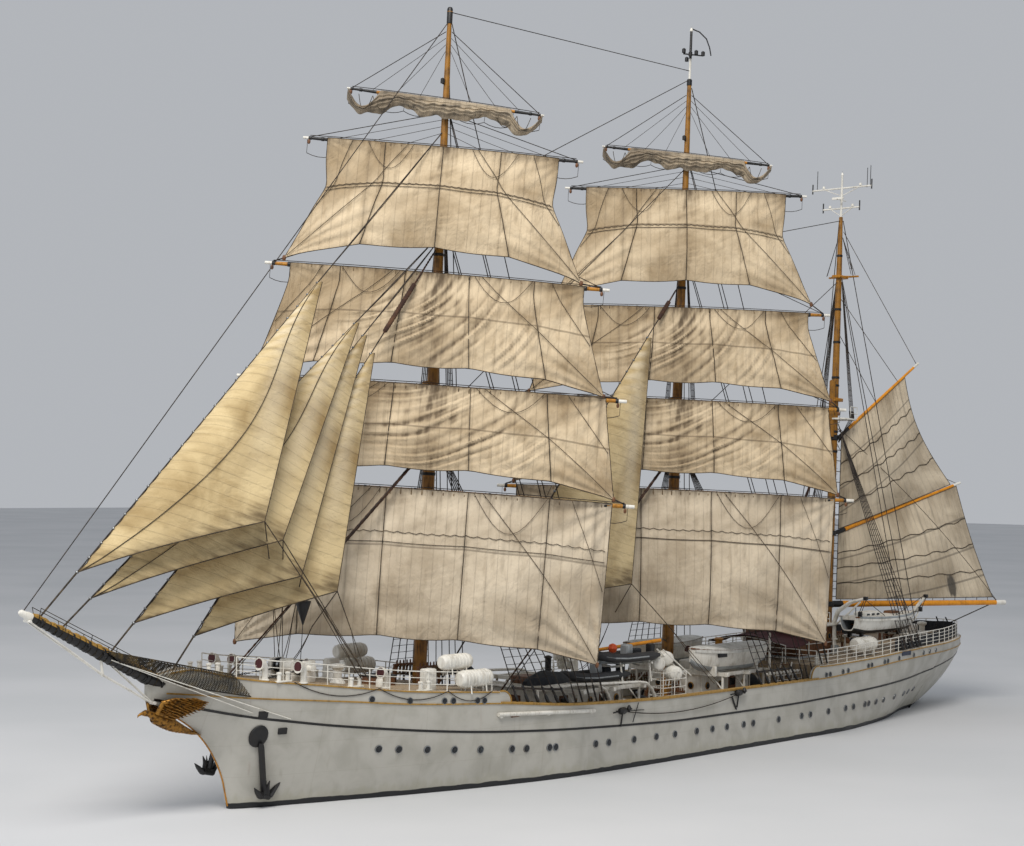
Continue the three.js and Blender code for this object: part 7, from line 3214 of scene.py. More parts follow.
    def house(self, x0: float, x1: float, half: float, low: float, roof: float, walls: Finish) -> Shape:
        """Makes a deck house with plinth, roof, doors, handrail and corner posts.

        Args:
            x0: after end.
            x1: fore end.
            half: half its breadth.
            low: height of the deck.
            roof: height of its roof.
            walls: finish of its walls.

        Returns:
            Its shape.
        """
        shape = Shape()
        shape.slab(rounded(x0, x1, -half, half, 0.25), low, roof, walls, 0.02)
        shape.slab(rounded(x0 - 0.05, x1 + 0.05, -half - 0.05, half + 0.05, 0.27), low, low + 0.2, GREY, 0.04)
        shape.slab(rounded(x0 - 0.2, x1 + 0.2, -half - 0.2, half + 0.2, 0.35), roof - 0.01, roof + 0.1,
                   WHITE, 0.04)
        count = max(2, round((x1 - x0) / 1.3))
        for side in (PORT, STARBOARD):
            for k in range(count):
                x = x0 + (x1 - x0) * (k + 0.5) / count
                y = side * half
                if k % 3 == 1:
                    shape.box((x - 0.42, y - 0.04, low + 0.2), (x + 0.42, y + 0.04, low + 2.0), TEAK, 0.03)
                    shape.box((x - 0.34, y - 0.055, low + 1.35),
                              (x + 0.34, y + 0.055, low + 1.85), GLASS, 0.03)
                    shape.box((x + 0.28, y - 0.08, low + 1.05), (x + 0.33, y + 0.08, low + 1.2), BRASS)
                else:
                    self.light(shape, (x, y, low + 1.5), (0, side, 0))
            rail = [(x0 + 0.3, side * (half + 0.07), low + 1.05),
                    (x1 - 0.3, side * (half + 0.07), low + 1.05)]
            shape.tube(rail, 0.025, WHITE, 6)
            for x in (x0 + 0.05, x1 - 0.05):
                shape.tube([(x, side * (half + 0.02), low), (x, side * (half + 0.02), roof)], 0.05, walls, 8)
        for x, way in ((x0, -1), (x1, 1)):
            shape.box((x - 0.04, -0.4, low + 0.2), (x + 0.04, 0.4, low + 2.0), TEAK, 0.03)
            for y in (-half * 0.62, half * 0.62):
                self.light(shape, (x, y, low + 1.5), (way, 0, 0))
        return shape

    def beams(self, shape: Shape, places: Sequence[float], reach: float, roof: float) -> None:
        """Adds the boat beams over a house, with their edge rails and pillars.

        Args:
            shape: what they are added to.
            places: places of the beams along the ship.
            reach: how far they reach to each side.
            roof: height of the house's roof.
        """
        for x in places:
            shape.box((x - 0.12, -reach, roof), (x + 0.12, reach, roof + 0.25), WHITE, 0.03)
            for side in (PORT, STARBOARD):
                y = side * (reach - 0.5)
                shape.tube([(x, y, WAIST_DECK), (x, y, roof + 0.05)], 0.09, WHITE, 10)
                shape.tube([(x, y - side * 0.9, roof), (x, y, roof - 0.9)], 0.05, WHITE, 8)
        first, last = min(places) - 0.1, max(places) + 0.1
        for side in (PORT, STARBOARD):
            y = side * (reach - 0.5)
            shape.box((first, y - 0.1, roof + 0.02), (last, y + 0.1, roof + 0.24), WHITE, 0.03)

    def midships(self) -> None:
        """Builds both houses in the waist with what stands on them."""
        x0, x1, half, roof = self.fore_house
        shape = self.house(x0, x1, half, WAIST_DECK, roof, WHITE)
        self.beams(shape, (6, 9, 11.9), 5.1, roof)
        self.cowl(shape, (5.2, -1.2, roof + 0.1), 1.3, 0.3)
        self.cowl(shape, (5.2, 1.2, roof + 0.1), 1.3, 0.3)
        shape.slab(rounded(10.4, 12.0, -0.9, 0.9, 0.2), roof + 0.1, roof + 0.7, TEAK, 0.08)
        shape.turned([(0.24, 0), (0.2, 0.2), (0.2, 1.5), (0.3, 1.6), (0.1, 1.7)], BLACK, 16,
                     (8.3, -0.9, roof))
        enter(shape.piece("fore_deck_house"), Body.SHIP, Slot.WHITE, "fore_house")
        x0, x1, half, roof = self.main_house
        shape = self.house(x0, x1, half, WAIST_DECK, roof, WHITE)
        self.beams(shape, (-9.2, -6.9, -4.4), 4.1, roof)
        shape.slab(rounded(-8.6, -5.2, -0.7, 0.7, 0.2), roof + 0.1, roof + 0.75, WHITE, 0.08)
        self.cowl(shape, (-4.6, 0.9, roof + 0.1), 1.4, 0.32)
        self.cowl(shape, (-4.6, -0.9, roof + 0.1), 1.4, 0.32)
        shape.turned([(0.3, 0), (0.26, 0.4), (0.26, 1.9), (0.36, 2.0), (0.2, 2.1)], OCHRE, 18,
                     (-9.0, 0, roof))
        enter(shape.piece("main_deck_house"), Body.SHIP, Slot.WHITE, "main_house")

    def frames(self) -> bpy.types.Object:
        """Makes the white arches, cages and ladders of the waist, and the boat booms on the sides.

        Returns:
            The piece.
        """
        shape = Shape()
        for side in (PORT, STARBOARD):
            y = side * 5.05
            arch = [(16.2, 5.2), (13.2, 5.3), (10.4, 5.16), (6.6, 5.0), (5.9, 4.9), (5.35, 4.5),
                    (5.0, 4.05), (4.95, 2.3)]
            shape.tube([(x, y, z) for x, z in arch], 0.15, WHITE, 10, 0.6)
            shape.tube([(10.6, y, 5.1), (9.95, y, 4.8), (9.5, y, 4.2), (9.4, y, 2.3)], 0.13, WHITE, 10, 0.6)
            shape.tube([(16.2, y, 5.2), (16.2, y, 2.3)], 0.08, WHITE, 8)
            inner, top = y - side * 1.1, 5.35
            for x in self.cage:
                for py in (y, inner):
                    shape.tube([(x, py, 2.3), (x, py, top)], 0.035, WHITE, 6)
            fore, aft = self.cage[0], self.cage[-1]
            for z in (3.9, 4.4, 4.9, top):
                ring = [(fore, y), (aft, y), (aft, inner), (fore, inner), (fore, y)]
                shape.tube([(px, py, z) for px, py in ring], 0.03, WHITE, 6)
            for dy in (0, -0.5):
                shape.tube([(3.3, side * (4.4 + dy), 6.75), (1.1, side * (5.0 + dy), 5.0)], 0.045, WHITE, 6)
            boom = [(19.93, side * 5.36, 4.13), (16, side * 5.76, 3.96), (12.05, side * 5.96, 3.76)]
            shape.tube(boom, 0.12, WHITE, 12)
            for x, rest, z in ((19.7, 5.28, 4.0), (16.0, 5.64, 3.88), (12.3, 5.84, 3.7)):
                low, high = sorted((side * (rest - 0.1), side * (rest + 0.16)))
                shape.box((x - 0.1, low, z - 0.08), (x + 0.1, high, z + 0.1), WHITE)
            post = [(-self.boom_post, side * 4.5, z) for z in (2.25, 7.1, 7.2)]
            shape.tube(post, (0.09, 0.08, 0.05), WHITE, 10)
            shape.turned([(0.09, -0.03), (0.13, 0), (0.09, 0.03)], WHITE, 10,
                         (-self.boom_post, side * 4.5, 4.0))
            for z in (3.9, 4.25):
                shape.tube([(-8.9, side * 4.75, z), (-12.2, side * 4.75, z)], 0.03, WHITE, 6)
            for x in (-8.9, -10.0, -11.1, -12.2):
                shape.tube([(x, side * 4.75, 2.25), (x, side * 4.75, 4.25)], 0.035, WHITE, 6)
        return shape.piece("waist_frames")

    def canisters(self) -> bpy.types.Object:
        """Makes the raft canisters of the forecastle, the waist and the poop.

        Returns:
            The piece.
        """
        shape = Shape()
        for side in (PORT, STARBOARD):
            for x, y, z, length, radius, out in self.rafts:
                self.barrel(shape, (x, side * y, z), length, radius, (0.7 if out else 1.0, side * out, 0))
            shape.box((23.8, side * 3.9 - 0.3, 5.45), (24.6, side * 3.9 + 0.3, 6.9), WHITE, 0.06)
        return shape.piece("raft_canisters")

    def windlass(self) -> bpy.types.Object:
        """Makes the anchor windlass with its drums, wheels and motor box.

        Returns:
            The piece.
        """
        shape = Shape()
        x, z = 30.8, FORM.deck(30.8)
        for y in (-1.28, -0.45, 0.45, 1.28):
            shape.slab(rounded(x - 0.5, x + 0.45, y - 0.09, y + 0.09, 0.08), z, z + 1.15, WHITE, 0.05)
        shape.tube([(x, -1.7, z + 0.75), (x, 1.7, z + 0.75)], 0.1, STEEL, 14)
        flange = [(0.36, -0.05), (0.42, -0.03), (0.42, 0.03), (0.36, 0.05)]
        for y in (-0.86, 0.86):
            for dy in (-0.2, 0.2):
                shape.turned(flange, BLACK, 24, (x, y + dy, z + 0.75), (0, 1, 0))
            wheel = [(0.3, -0.18), (0.24, -0.06), (0.24, 0.06), (0.3, 0.18)]
            shape.turned(wheel, STEEL, 20, (x, y, z + 0.75), (0, 1, 0))
        head = [(0.2, 0), (0.16, 0.06), (0.15, 0.28), (0.22, 0.36), (0.1, 0.4)]
        for side in (PORT, STARBOARD):
            shape.turned(head, WHITE, 16, (x, side * 1.36, z + 0.75), (0, side, 0))
        drum = [(0.34, -0.38), (0.36, -0.3), (0.36, 0.3), (0.34, 0.38)]
        shape.turned(drum, WHITE, 24, (x, 0, z + 0.75), (0, 1, 0))
        shape.box((x - 1.3, -0.5, z), (x - 0.6, 0.5, z + 0.8), WHITE, 0.06)
        return shape.piece("anchor_windlass")

    def cone(self) -> bpy.types.Object:
        """Makes the black cone that hangs over the forecastle, with its lines.

        Returns:
            The piece.
        """
        shape = Shape()
        shape.turned([(0.03, -0.66), (0.44, 0.6), (0.42, 0.66), (0.03, 0.68)], BLACK, 24, (30.06, 0, 10.02))
        shape.tube([(30.06, 0, 11.28), (30.06, 0, 10.66)], 0.025, BLACK, 6)
        shape.tube([(30.06, 0, 9.4), (30.3, 0, 5.6)], 0.02, BLACK, 6)
        return shape.piece("day_cone")

    def chains(self) -> bpy.types.Object:
        """Makes the anchor chains between the windlass and the pipes in the deck.

        Returns:
            The piece.
        """
        chain = Copies()
        for side in (PORT, STARBOARD):
            start = Vector((31.2, side * 0.86, FORM.deck(30.8) + 0.62))
            end = Vector((33.6, side * 1.15, FORM.deck(33.6) + 0.08))
            for k in range(22):
                chain.put(start.lerp(end, k / 21), end - start, (0, 1, 0) if k % 2 else (0, 0, 1))
        link = Shape()
        oval = [(0.045 * math.cos(a), 0.08 * math.sin(a), 0) for a in np.linspace(0, 2 * math.pi, 11)]
        link.frame = Matrix.Rotation(math.radians(90), 4, "X")
        link.tube(oval, 0.018, BLACK, 6)
        return chain.piece("anchor_chains", link, BLACK)

    def forecastle(self) -> None:
        """Builds the gear on the forecastle."""
        enter(self.windlass(), Body.SHIP, Slot.WHITE, "windlass")
        enter(self.cone(), Body.SHIP, Slot.BLACK)
        enter(self.chains(), Body.SHIP, Slot.BLACK)
        shape = Shape()
        for side in (PORT, STARBOARD):
            for bx, by in ((36.9, 0.75), (33.5, 2.35), (29.2, 3.3), (24.8, 4.2)):
                self.bollards(shape, (bx, side * by, FORM.deck(bx)), WHITE)
            for bx, by in ((34.4, 1.9), (32.4, 2.7), (26.6, 3.0)):
                self.cowl(shape, (bx, side * by, FORM.deck(bx)), 0.85, 0.3)
            hood = [(0.28, 0), (0.28, 0.35), (0.2, 0.5), (0.3, 0.62), (0.3, 0.68), (0.1, 0.75)]
            shape.turned(hood, WHITE, 18, (25.9, side * 1.9, FORM.deck(26)))
            treads = [(19.45 - 0.11 * k, 2.3 + 0.29 * k) for k in range(11)]
            self.ladder(shape, side * 3.4, treads, [(19.55, 5.5), (18.3, 2.3)])
        capstan = [(0.45, 0), (0.42, 0.1), (0.24, 0.3), (0.26, 0.75), (0.4, 0.9), (0.4, 1.05), (0.1, 1.1)]
        shape.turned(capstan, WHITE, 20, (27.4, 0, FORM.deck(27.4)))
        shape.slab(rounded(23.6, 25.0, -0.8, 0.8, 0.12), 5.4, 6.2, TEAK, 0.06)
        shape.slab(rounded(23.55, 25.05, -0.85, 0.85, 0.14), 6.2, 6.28, DARK_CLOTH, 0.03)
        for y in (-4.3, -2.2, 0.0, 2.2, 4.3):
            shape.turned([(0.2, -0.02), (0.2, 0.06), (0, 0.07)], GLASS, 14, (19.62, y, 4.1), (-1, 0, 0))
        enter(shape.piece("forecastle_gear"), Body.SHIP, Slot.WHITE)

    def poop(self) -> None:
        """Builds the chart house, the steering gear and what else stands on the poop."""
        x0, x1, half, roof = self.chart_house
        shape = self.house(x0, x1, half, 4.75, roof, TEAK)
        shape.slab(rounded(x0 - 0.3, x1 + 0.3, -half - 0.3, half + 0.3, 0.35), roof - 0.02, roof + 0.14,
                   WHITE, 0.05)
        aft, fore, inner = x0 + 0.2, x1 - 0.2, half - 0.2
        for x in (aft, fore):
            for y in (-inner, inner):
                shape.tube([(x, y, roof), (x, y, roof + 0.9)], 0.035, WHITE, 6)
        ring = [(aft, -inner), (fore, -inner), (fore, inner), (aft, inner), (aft, -inner)]
        for z in (0.45, 0.9):
            shape.tube([(x, y, roof + z) for x, y in ring], 0.03, WHITE, 6)
        self.cowl(shape, (-16.4, 1.2, roof + 0.1), 0.9, 0.26)
        self.cowl(shape, (-16.4, -1.2, roof + 0.1), 0.9, 0.26)
        shape.slab(rounded(-34.6, -32.2, -1.2, 1.2, 0.25), 4.95, 6.3, WHITE, 0.1)
        shape.slab(rounded(-28.4, -26.6, -1.0, 1.0, 0.12), 5.0, 5.6, TEAK, 0.05)
        for k in range(5):
            shape.box((-28.2 + 0.36 * k, -0.85, 5.58), (-27.95 + 0.36 * k, 0.85, 5.68), GLASS)
        binnacle = [(0.3, 0), (0.26, 0.1), (0.22, 0.75), (0.3, 0.9), (0.3, 1.05), (0.18, 1.25), (0.05, 1.3)]
        shape.turned(binnacle, TEAK, 20, (-30.9, 0, 5.15))
        for side in (PORT, STARBOARD):
            shape.turned([(0.1, -0.1), (0.14, 0), (0.1, 0.1)], RED_LEAD, 12, (-30.9, side * 0.36, 6.05))
            for x in (-13.6, -29.9, -36.2, -38.2):
                self.bollards(shape, (x, side * (FORM.half(x) - 0.75), FORM.deck(x)), WHITE)
            treads = [(-11.4 - 0.06 * k, 2.3 + 0.27 * k) for k in range(10)]
            self.ladder(shape, side * 3.6, treads, [(-11.2, 2.3), (-12.1, 4.95)])
        capstan = [(0.42, 0), (0.4, 0.1), (0.22, 0.3), (0.24, 0.7), (0.38, 0.85), (0.38, 1.0), (0.1, 1.05)]
        shape.turned(capstan, WHITE, 20, (-37.2, 0, 5.25))
        enter(shape.piece("poop_gear"), Body.SHIP, Slot.WHITE)
        enter(self.wheels(), Body.SHIP, Slot.SPAR)

    def wheels(self) -> bpy.types.Object:
        """Makes the two steering wheels on their shaft.

        Returns:
            The piece.
        """
        shape = Shape()
        height, rim, spokes = 6.15, 0.72, 10
        for x in (-31.9, -32.05):
            turns = np.linspace(0, 2 * math.pi, 33)
            shape.tube([(x, rim * math.cos(a), height + rim * math.sin(a)) for a in turns], 0.045, TEAK, 8)
            for k in range(spokes):
                a = 2 * math.pi * k / spokes
                tip = (x, 0.98 * math.cos(a), height + 0.98 * math.sin(a))
                shape.tube([(x, 0, height), tip], (0.04, 0.025), TEAK, 8)
        hub = [(0.14, -0.12), (0.17, 0), (0.14, 0.3), (0.06, 0.34)]
        shape.turned(hub, BRASS, 16, (-32.1, 0, height), (1, 0, 0))
        for y in (-0.28, 0.28):
            shape.tube([(-32.2, y, 4.95), (-31.98, y * 0.4, 6.1)], 0.06, TEAK, 8)
        return shape.piece("steering_wheels")

    def awning(self) -> None:
        """Builds the dark awning in front of the chart house, and its frame."""
        u, v = mesh_grid(26, 40, -1.0)
        x = -12.3 - 3.2 * v
        y = u * 3.3
        z = 6.55 + 0.15 * v - 0.62 * np.abs(u) ** 1.8 - 0.14 * np.sin(math.pi * v) * (1 - 0.5 * np.cos(u * 9))
        cover = Shape()
        cover.sheet(np.stack([x, y, z], axis=-1), 0.02, MAROON)
        sheet = enter(cover.piece("poop_awning"), Body.SHIP, Slot.CANVAS)
        frame = Shape()
        bow = [(-3.28, 6.0), (-1.6, 6.28), (0, 6.42), (1.6, 6.28), (3.28, 6.0)]
        for px, top in ((-12.4, 6.0), (-15.4, 6.1)):
            for side in (PORT, STARBOARD):
                frame.tube([(px, side * 3.28, 4.75), (px, side * 3.28, top)], 0.04, WHITE, 8)
            frame.tube([(px, py, pz) for py, pz in bow], 0.035, WHITE, 8)
        posts = enter(frame.piece("awning_frame"), Body.SHIP, Slot.WHITE)

    def covered_gear(self) -> bpy.types.Object:
        """Makes the dark humps of covered gear stowed beside the boats.

        Returns:
            The piece.
        """
        shape = Shape()
        for side in (PORT, STARBOARD):
            for x0, x1, y, half, low, high in self.heaps:
                rings = []
                for share in np.linspace(0, 1, 15):
                    swell = math.sin(math.pi * min(max(share, 0.03), 0.97)) ** 0.45
                    ring = []
                    for k in range(13):
                        a = math.pi * k / 12
                        lump = 1 + 0.07 * math.sin(a * 5 + share * 9)
                        out = side * y + half * swell * math.cos(a) * lump
                        up = low + (high - low) * swell * math.sin(a) ** 0.8 * lump
                        ring.append((x0 + (x1 - x0) * share, out, up))
                    rings.append(ring)
                shape.loft(np.array(rings), DARK_CLOTH)
        return shape.piece("covered_gear")

    def derrick(self) -> bpy.types.Object:
        """Makes the yellow derrick boom, the buoy and the gear that hangs over the rail.

        Returns:
            The piece.
        """
        shape = Shape()
        shape.tube([(7.6, 2.1, 6.75), (7.2, 2.1, 6.78), (0.3, 1.9, 7.0)], (0.09, 0.11, 0.12), YELLOW, 14)
        shape.tube([(0.3, 1.9, 7.0), (-1.4, 0.9, 6.9), (-2.3, 0.45, 6.7)], 0.05, BLACK)
        shape.turned([(0.05, -0.3), (0.22, -0.22), (0.3, 0), (0.22, 0.22), (0.05, 0.3)], ORANGE, 16,
                     (7.3, 3.5, 7.0))
        for side in (PORT, STARBOARD):
            for x, z in ((9.5, 3.55), (-2.6, 3.72)):
                y = side * (FORM.half(x) + 0.16)
                bundle = [(0.08, -0.32), (0.2, -0.26), (0.22, 0), (0.2, 0.26), (0.08, 0.32)]
                shape.turned(bundle, BLACK, 12, (x, y, z), (1, 0.2, 0))
                ball = [(0.06, -0.2), (0.15, 0), (0.06, 0.2)]
                shape.turned(ball, BLACK, 12, (x - 0.5, y + side * 0.1, z + 0.12), (0, 0, 1))
                shape.tube([(x, y, z - 0.1), (x + 0.05, y - side * 0.1, z - 0.95)], 0.05, BLACK, 8)
                shape.tube([(x - 0.9, y, z + 0.05), (x + 0.9, y, z - 0.05)], 0.045, BLACK, 8)
            shape.tube([(-1.9, side * 6.12, 3.5), (-2.5, side * 6.05, 2.65)], 0.055, BLACK, 8)
            for dx in (-0.55, 0.55):
                high, low = (9.0 + dx * 2, 3.75 - dx * 0.3), (7.9 - dx, 3.1 + dx * 0.6)
                shape.tube([(x, side * 6.05, z) for x, z in (high, low)], 0.03, BLACK, 6)
        shape.box((-41.0, -0.5, 4.9), (-40.5, 0.5, 5.1), BLACK)
        for side in (PORT, STARBOARD):
            shape.tube([(-40.5, side * 0.42, 5.0), (-40.8, side * 0.46, 5.9), (-40.3, side * 0.42, 6.5)],
                       0.06, BLACK, 8)
            shape.tube([(-40.9, side * 0.45, 5.0), (-41.1, side * 0.5, 5.35)], 0.07, BLACK, 8)
            shape.tube([(-41.0, side * 0.4, 5.0), (-40.6, side * 0.5, 3.4)], 0.04, BLACK, 6)
            plate = Matrix.Translation((-25.0, side * FORM.half(-25), 4.89))
            shape.frame = plate @ turned_to(FORM.outward(-25, 4.3, side))
            shape.box((-0.75, -0.16, -0.02), (0.75, 0.16, 0.05), NAVY, 0.02)
            shape.frame = Matrix.Identity(4)
        return shape.piece("rail_gear")

    def railings(self) -> bpy.types.Object:
        """Makes the railings of forecastle and poop.

        Returns:
            The piece.
        """
        lines = Lines()
        for side in (PORT, STARBOARD):
            fore = [Vector(FORM.edge(float(x), 0.3, 0, side)) for x in np.linspace(35.9, 20.1, 26)]
            aft = [Vector(FORM.edge(float(x), 0.3, 0, side)) for x in np.linspace(-12.8, -40.2, 44)]
            self.railing(lines, fore, 1.05, 3)
            self.railing(lines, aft, 1.05, 4)
        corners = ((-40.2, 1.3), (-40.55, 0.8), (-40.7, 0), (-40.55, -0.8), (-40.2, -1.3))
        self.railing(lines, [Vector((x, y, FORM.deck(-40.2))) for x, y in corners], 1.05, 4)
        for x, half in ((20.0, 4.9), (-12.75, 5.6)):
            across = [Vector((x, y, FORM.deck(x))) for y in np.linspace(-half, half, 9)]
            self.railing(lines, across, 1.0, 3)
        return lines.piece("deck_railings", WHITE, 6)

    def weather_cloth(self) -> None:
        """Builds the dark cloth that is laced to the rail round the stern."""
        path = [FORM.edge(float(x), 0.36, 0.02, PORT) for x in np.linspace(-23.8, -40.1, 40)]
        path += [(-40.45, 0.8, path[-1][2]), (-40.6, 0, path[-1][2]), (-40.45, -0.8, path[-1][2])]
        path += [FORM.edge(float(x), 0.36, 0.02, STARBOARD) for x in np.linspace(-40.1, -23.8, 40)]
        rows = []
        for h in (1.0, 0.66, 0.33, 0.03):
            row = []
            for k, (x, y, z) in enumerate(path):
                row.append((x, y, z + 0.86 * h + 0.03 * math.sin(k * 1.9) * h))
            rows.append(row)
        cloth = Shape()
        cloth.sheet(np.array(rows), 0.015, DARK_CLOTH)
        dodger = enter(cloth.piece("stern_weather_cloth"), Body.SHIP, Slot.CANVAS)

    def side_ropes(self) -> bpy.types.Object:
        """Makes the short bights of rope along the sides.

        Returns:
            The piece.
        """
        ropes = Lines()
        for side in (PORT, STARBOARD):
            a, b = [(x, side * (FORM.half(x) + 0.12), z) for x, z in ((9.3, 3.5), (-2.6, 3.65))]
            ropes.hang(a, b, 0.55, 0.03, 12)
            for x0, x1 in ((33, 28), (28, 23.5), (23.5, 20.4)):
                high = [(x, side * (FORM.half(x) + 0.07), FORM.deck(x) + 0.02) for x in (x0, x1)]
                ropes.hang(high[0], high[1], 0.55, 0.026, 10)
            ropes.run([(-40.6, side * 0.5, 6.1), (-40.2, side * 0.5, 5.2)], 0.03)
        return ropes.piece("side_ropes", TARRED, 5)

    def lamps(self) -> bpy.types.Object:
        """Makes the row of lamps in the waist.

        Returns:
            The piece.
        """
        lamps = Copies()
        for side in (PORT, STARBOARD):
            for k in range(11):
                lamps.put((-7.9 - 0.42 * k, side * 4.75, 4.32))
        lamp = Shape()
        lamp.turned([(0.03, -0.02), (0.1, 0.05), (0.12, 0.12), (0.08, 0.2), (0.02, 0.23)], WHITE, 10)
        return lamps.piece("waist_lamps", lamp, WHITE)

    def railing(self, lines: Lines, path: list[Vector], height: float, bars: int) -> None:
        """Adds bars and stanchions along a path.

        Args:
            lines: what they are added to.
            path: points on the deck.
            height: height of the top bar.
            bars: number of bars.
        """
        for k in range(1, bars + 1):
            lift = Vector((0, 0, height * k / bars))
            lines.run([p + lift for p in path], 0.034 if k == bars else 0.022)
        reach, since = Vector((0, 0, height)), 9.0
        for a, b in zip(path[:-1], path[1:]):
            if since > 1.2:
                lines.run([a, a + reach], 0.034)
                since = 0.0
            since += (b - a).length
        lines.run([path[-1], path[-1] + reach], 0.034)

    def pins(self) -> None:
        """Builds the pin rails inside the bulwarks, with belaying pins and coiled ropes."""
        racks, pegs, coils = Shape(), Copies(), Copies()
        for side in (PORT, STARBOARD):
            for x0, x1 in ((18.9, 10.4), (-5.0, -12.2)):
                y = side * (FORM.half((x0 + x1) / 2) - 0.42)
                z = FORM.rail((x0 + x1) / 2) - 0.42
                racks.box((x1, y - 0.1, z), (x0, y + 0.1, z + 0.08), TEAK, 0.02)
                for x in np.arange(x1 + 0.2, x0 - 0.1, 0.3):
                    pegs.put((float(x), y, z + 0.04))
                for k, x in enumerate(np.arange(x1 + 0.2, x0 - 0.1, 0.6)):
                    coils.put((float(x), y - side * 0.14, z - 0.28 - 0.03 * (k % 3)),
                              (0.1 * (k % 2), -side, 0.1))
        for mast in MASTS.values():
            foot = mast.foot()
            for side in (PORT, STARBOARD):
                y = side * 0.95
                racks.box((mast.x - 1.0, y - 0.09, foot + 1.0), (mast.x + 0.9, y + 0.09, foot + 1.1), TEAK)
                for x in (mast.x - 0.9, mast.x + 0.8):
                    racks.box((x - 0.09, y - 0.07, foot), (x + 0.09, y + 0.07, foot + 1.05), TEAK)
                for k in range(6):
                    pegs.put((mast.x - 0.75 + 0.28 * k, y, foot + 1.06))
                    coils.put((mast.x - 0.75 + 0.28 * k, side * 1.1, foot + 0.72), (0.1, side, 0.1))
        enter(racks.piece("pin_rails"), Body.SHIP, Slot.SPAR)
        peg = Shape()
        profile = [(0.02, -0.28), (0.025, -0.02), (0.045, 0.02), (0.05, 0.16), (0.03, 0.24), (0.01, 0.25)]
        peg.turned(profile, TEAK, 8)
        enter(pegs.piece("belaying_pins", peg, TEAK), Body.SHIP, Slot.SPAR)
        coil = Shape()
        turns = np.linspace(0, 2 * math.pi, 15)
        for out in (0, 0.03):
            loop = [((0.12 + out) * math.cos(a), (0.24 + out) * math.sin(a), out) for a in turns]
            coil.tube(loop, 0.035, HEMP, 5)
        enter(coils.piece("rope_coils", coil, HEMP), Body.SHIP, Slot.WIRE)

    def hatches(self) -> bpy.types.Object:
        """Makes the hatches of the waist and the winches beside the masts.

        Returns:
            The piece.
        """
        shape = Shape()
        top = WAIST_DECK + 0.6
        for x0, x1, half in ((14.2, 16.6, 1.3), (0.0, 2.8, 1.4)):
            shape.slab(rounded(x0, x1, -half, half, 0.15), WAIST_DECK, top, WHITE, 0.05)
            cover = rounded(x0 + 0.05, x1 - 0.05, -half + 0.05, half - 0.05, 0.15)
            shape.slab(cover, top, WAIST_DECK + 0.68, COVER, 0.03)
        drum = [(0.2, -0.5), (0.14, -0.4), (0.14, 0.4), (0.2, 0.5)]
        for x, y, z in self.winches:
            for side in (PORT, STARBOARD):
                for dy in (-0.35, 0.35):
                    shape.box((x - 0.3, side * y + dy - 0.05, z), (x + 0.3, side * y + dy + 0.05, z + 0.85),
                              BLACK, 0.03)
                shape.turned(drum, STEEL, 16, (x, side * y, z + 0.6), (0, 1, 0))
                shape.turned([(0.3, -0.03), (0.3, 0.03)], BLACK, 18, (x, side * y + 0.3, z + 0.6),
                             (0, 1, 0))
        return shape.piece("hatches_and_winches")

    def build(self) -> None:
        """Builds everything on deck."""
        self.midships()
        enter(self.frames(), Body.SHIP, Slot.WHITE)
        enter(self.canisters(), Body.SHIP, Slot.WHITE)
        self.forecastle()
        self.poop()
        self.awning()
        enter(self.covered_gear(), Body.SHIP, Slot.CANVAS)
        enter(self.derrick(), Body.SHIP, Slot.BLACK)
        enter(self.railings(), Body.SHIP, Slot.WHITE)
        self.weather_cloth()
        enter(self.side_ropes(), Body.SHIP, Slot.WIRE)
        enter(self.lamps(), Body.SHIP, Slot.WHITE)
        self.pins()
        enter(self.hatches(), Body.SHIP, Slot.WHITE)


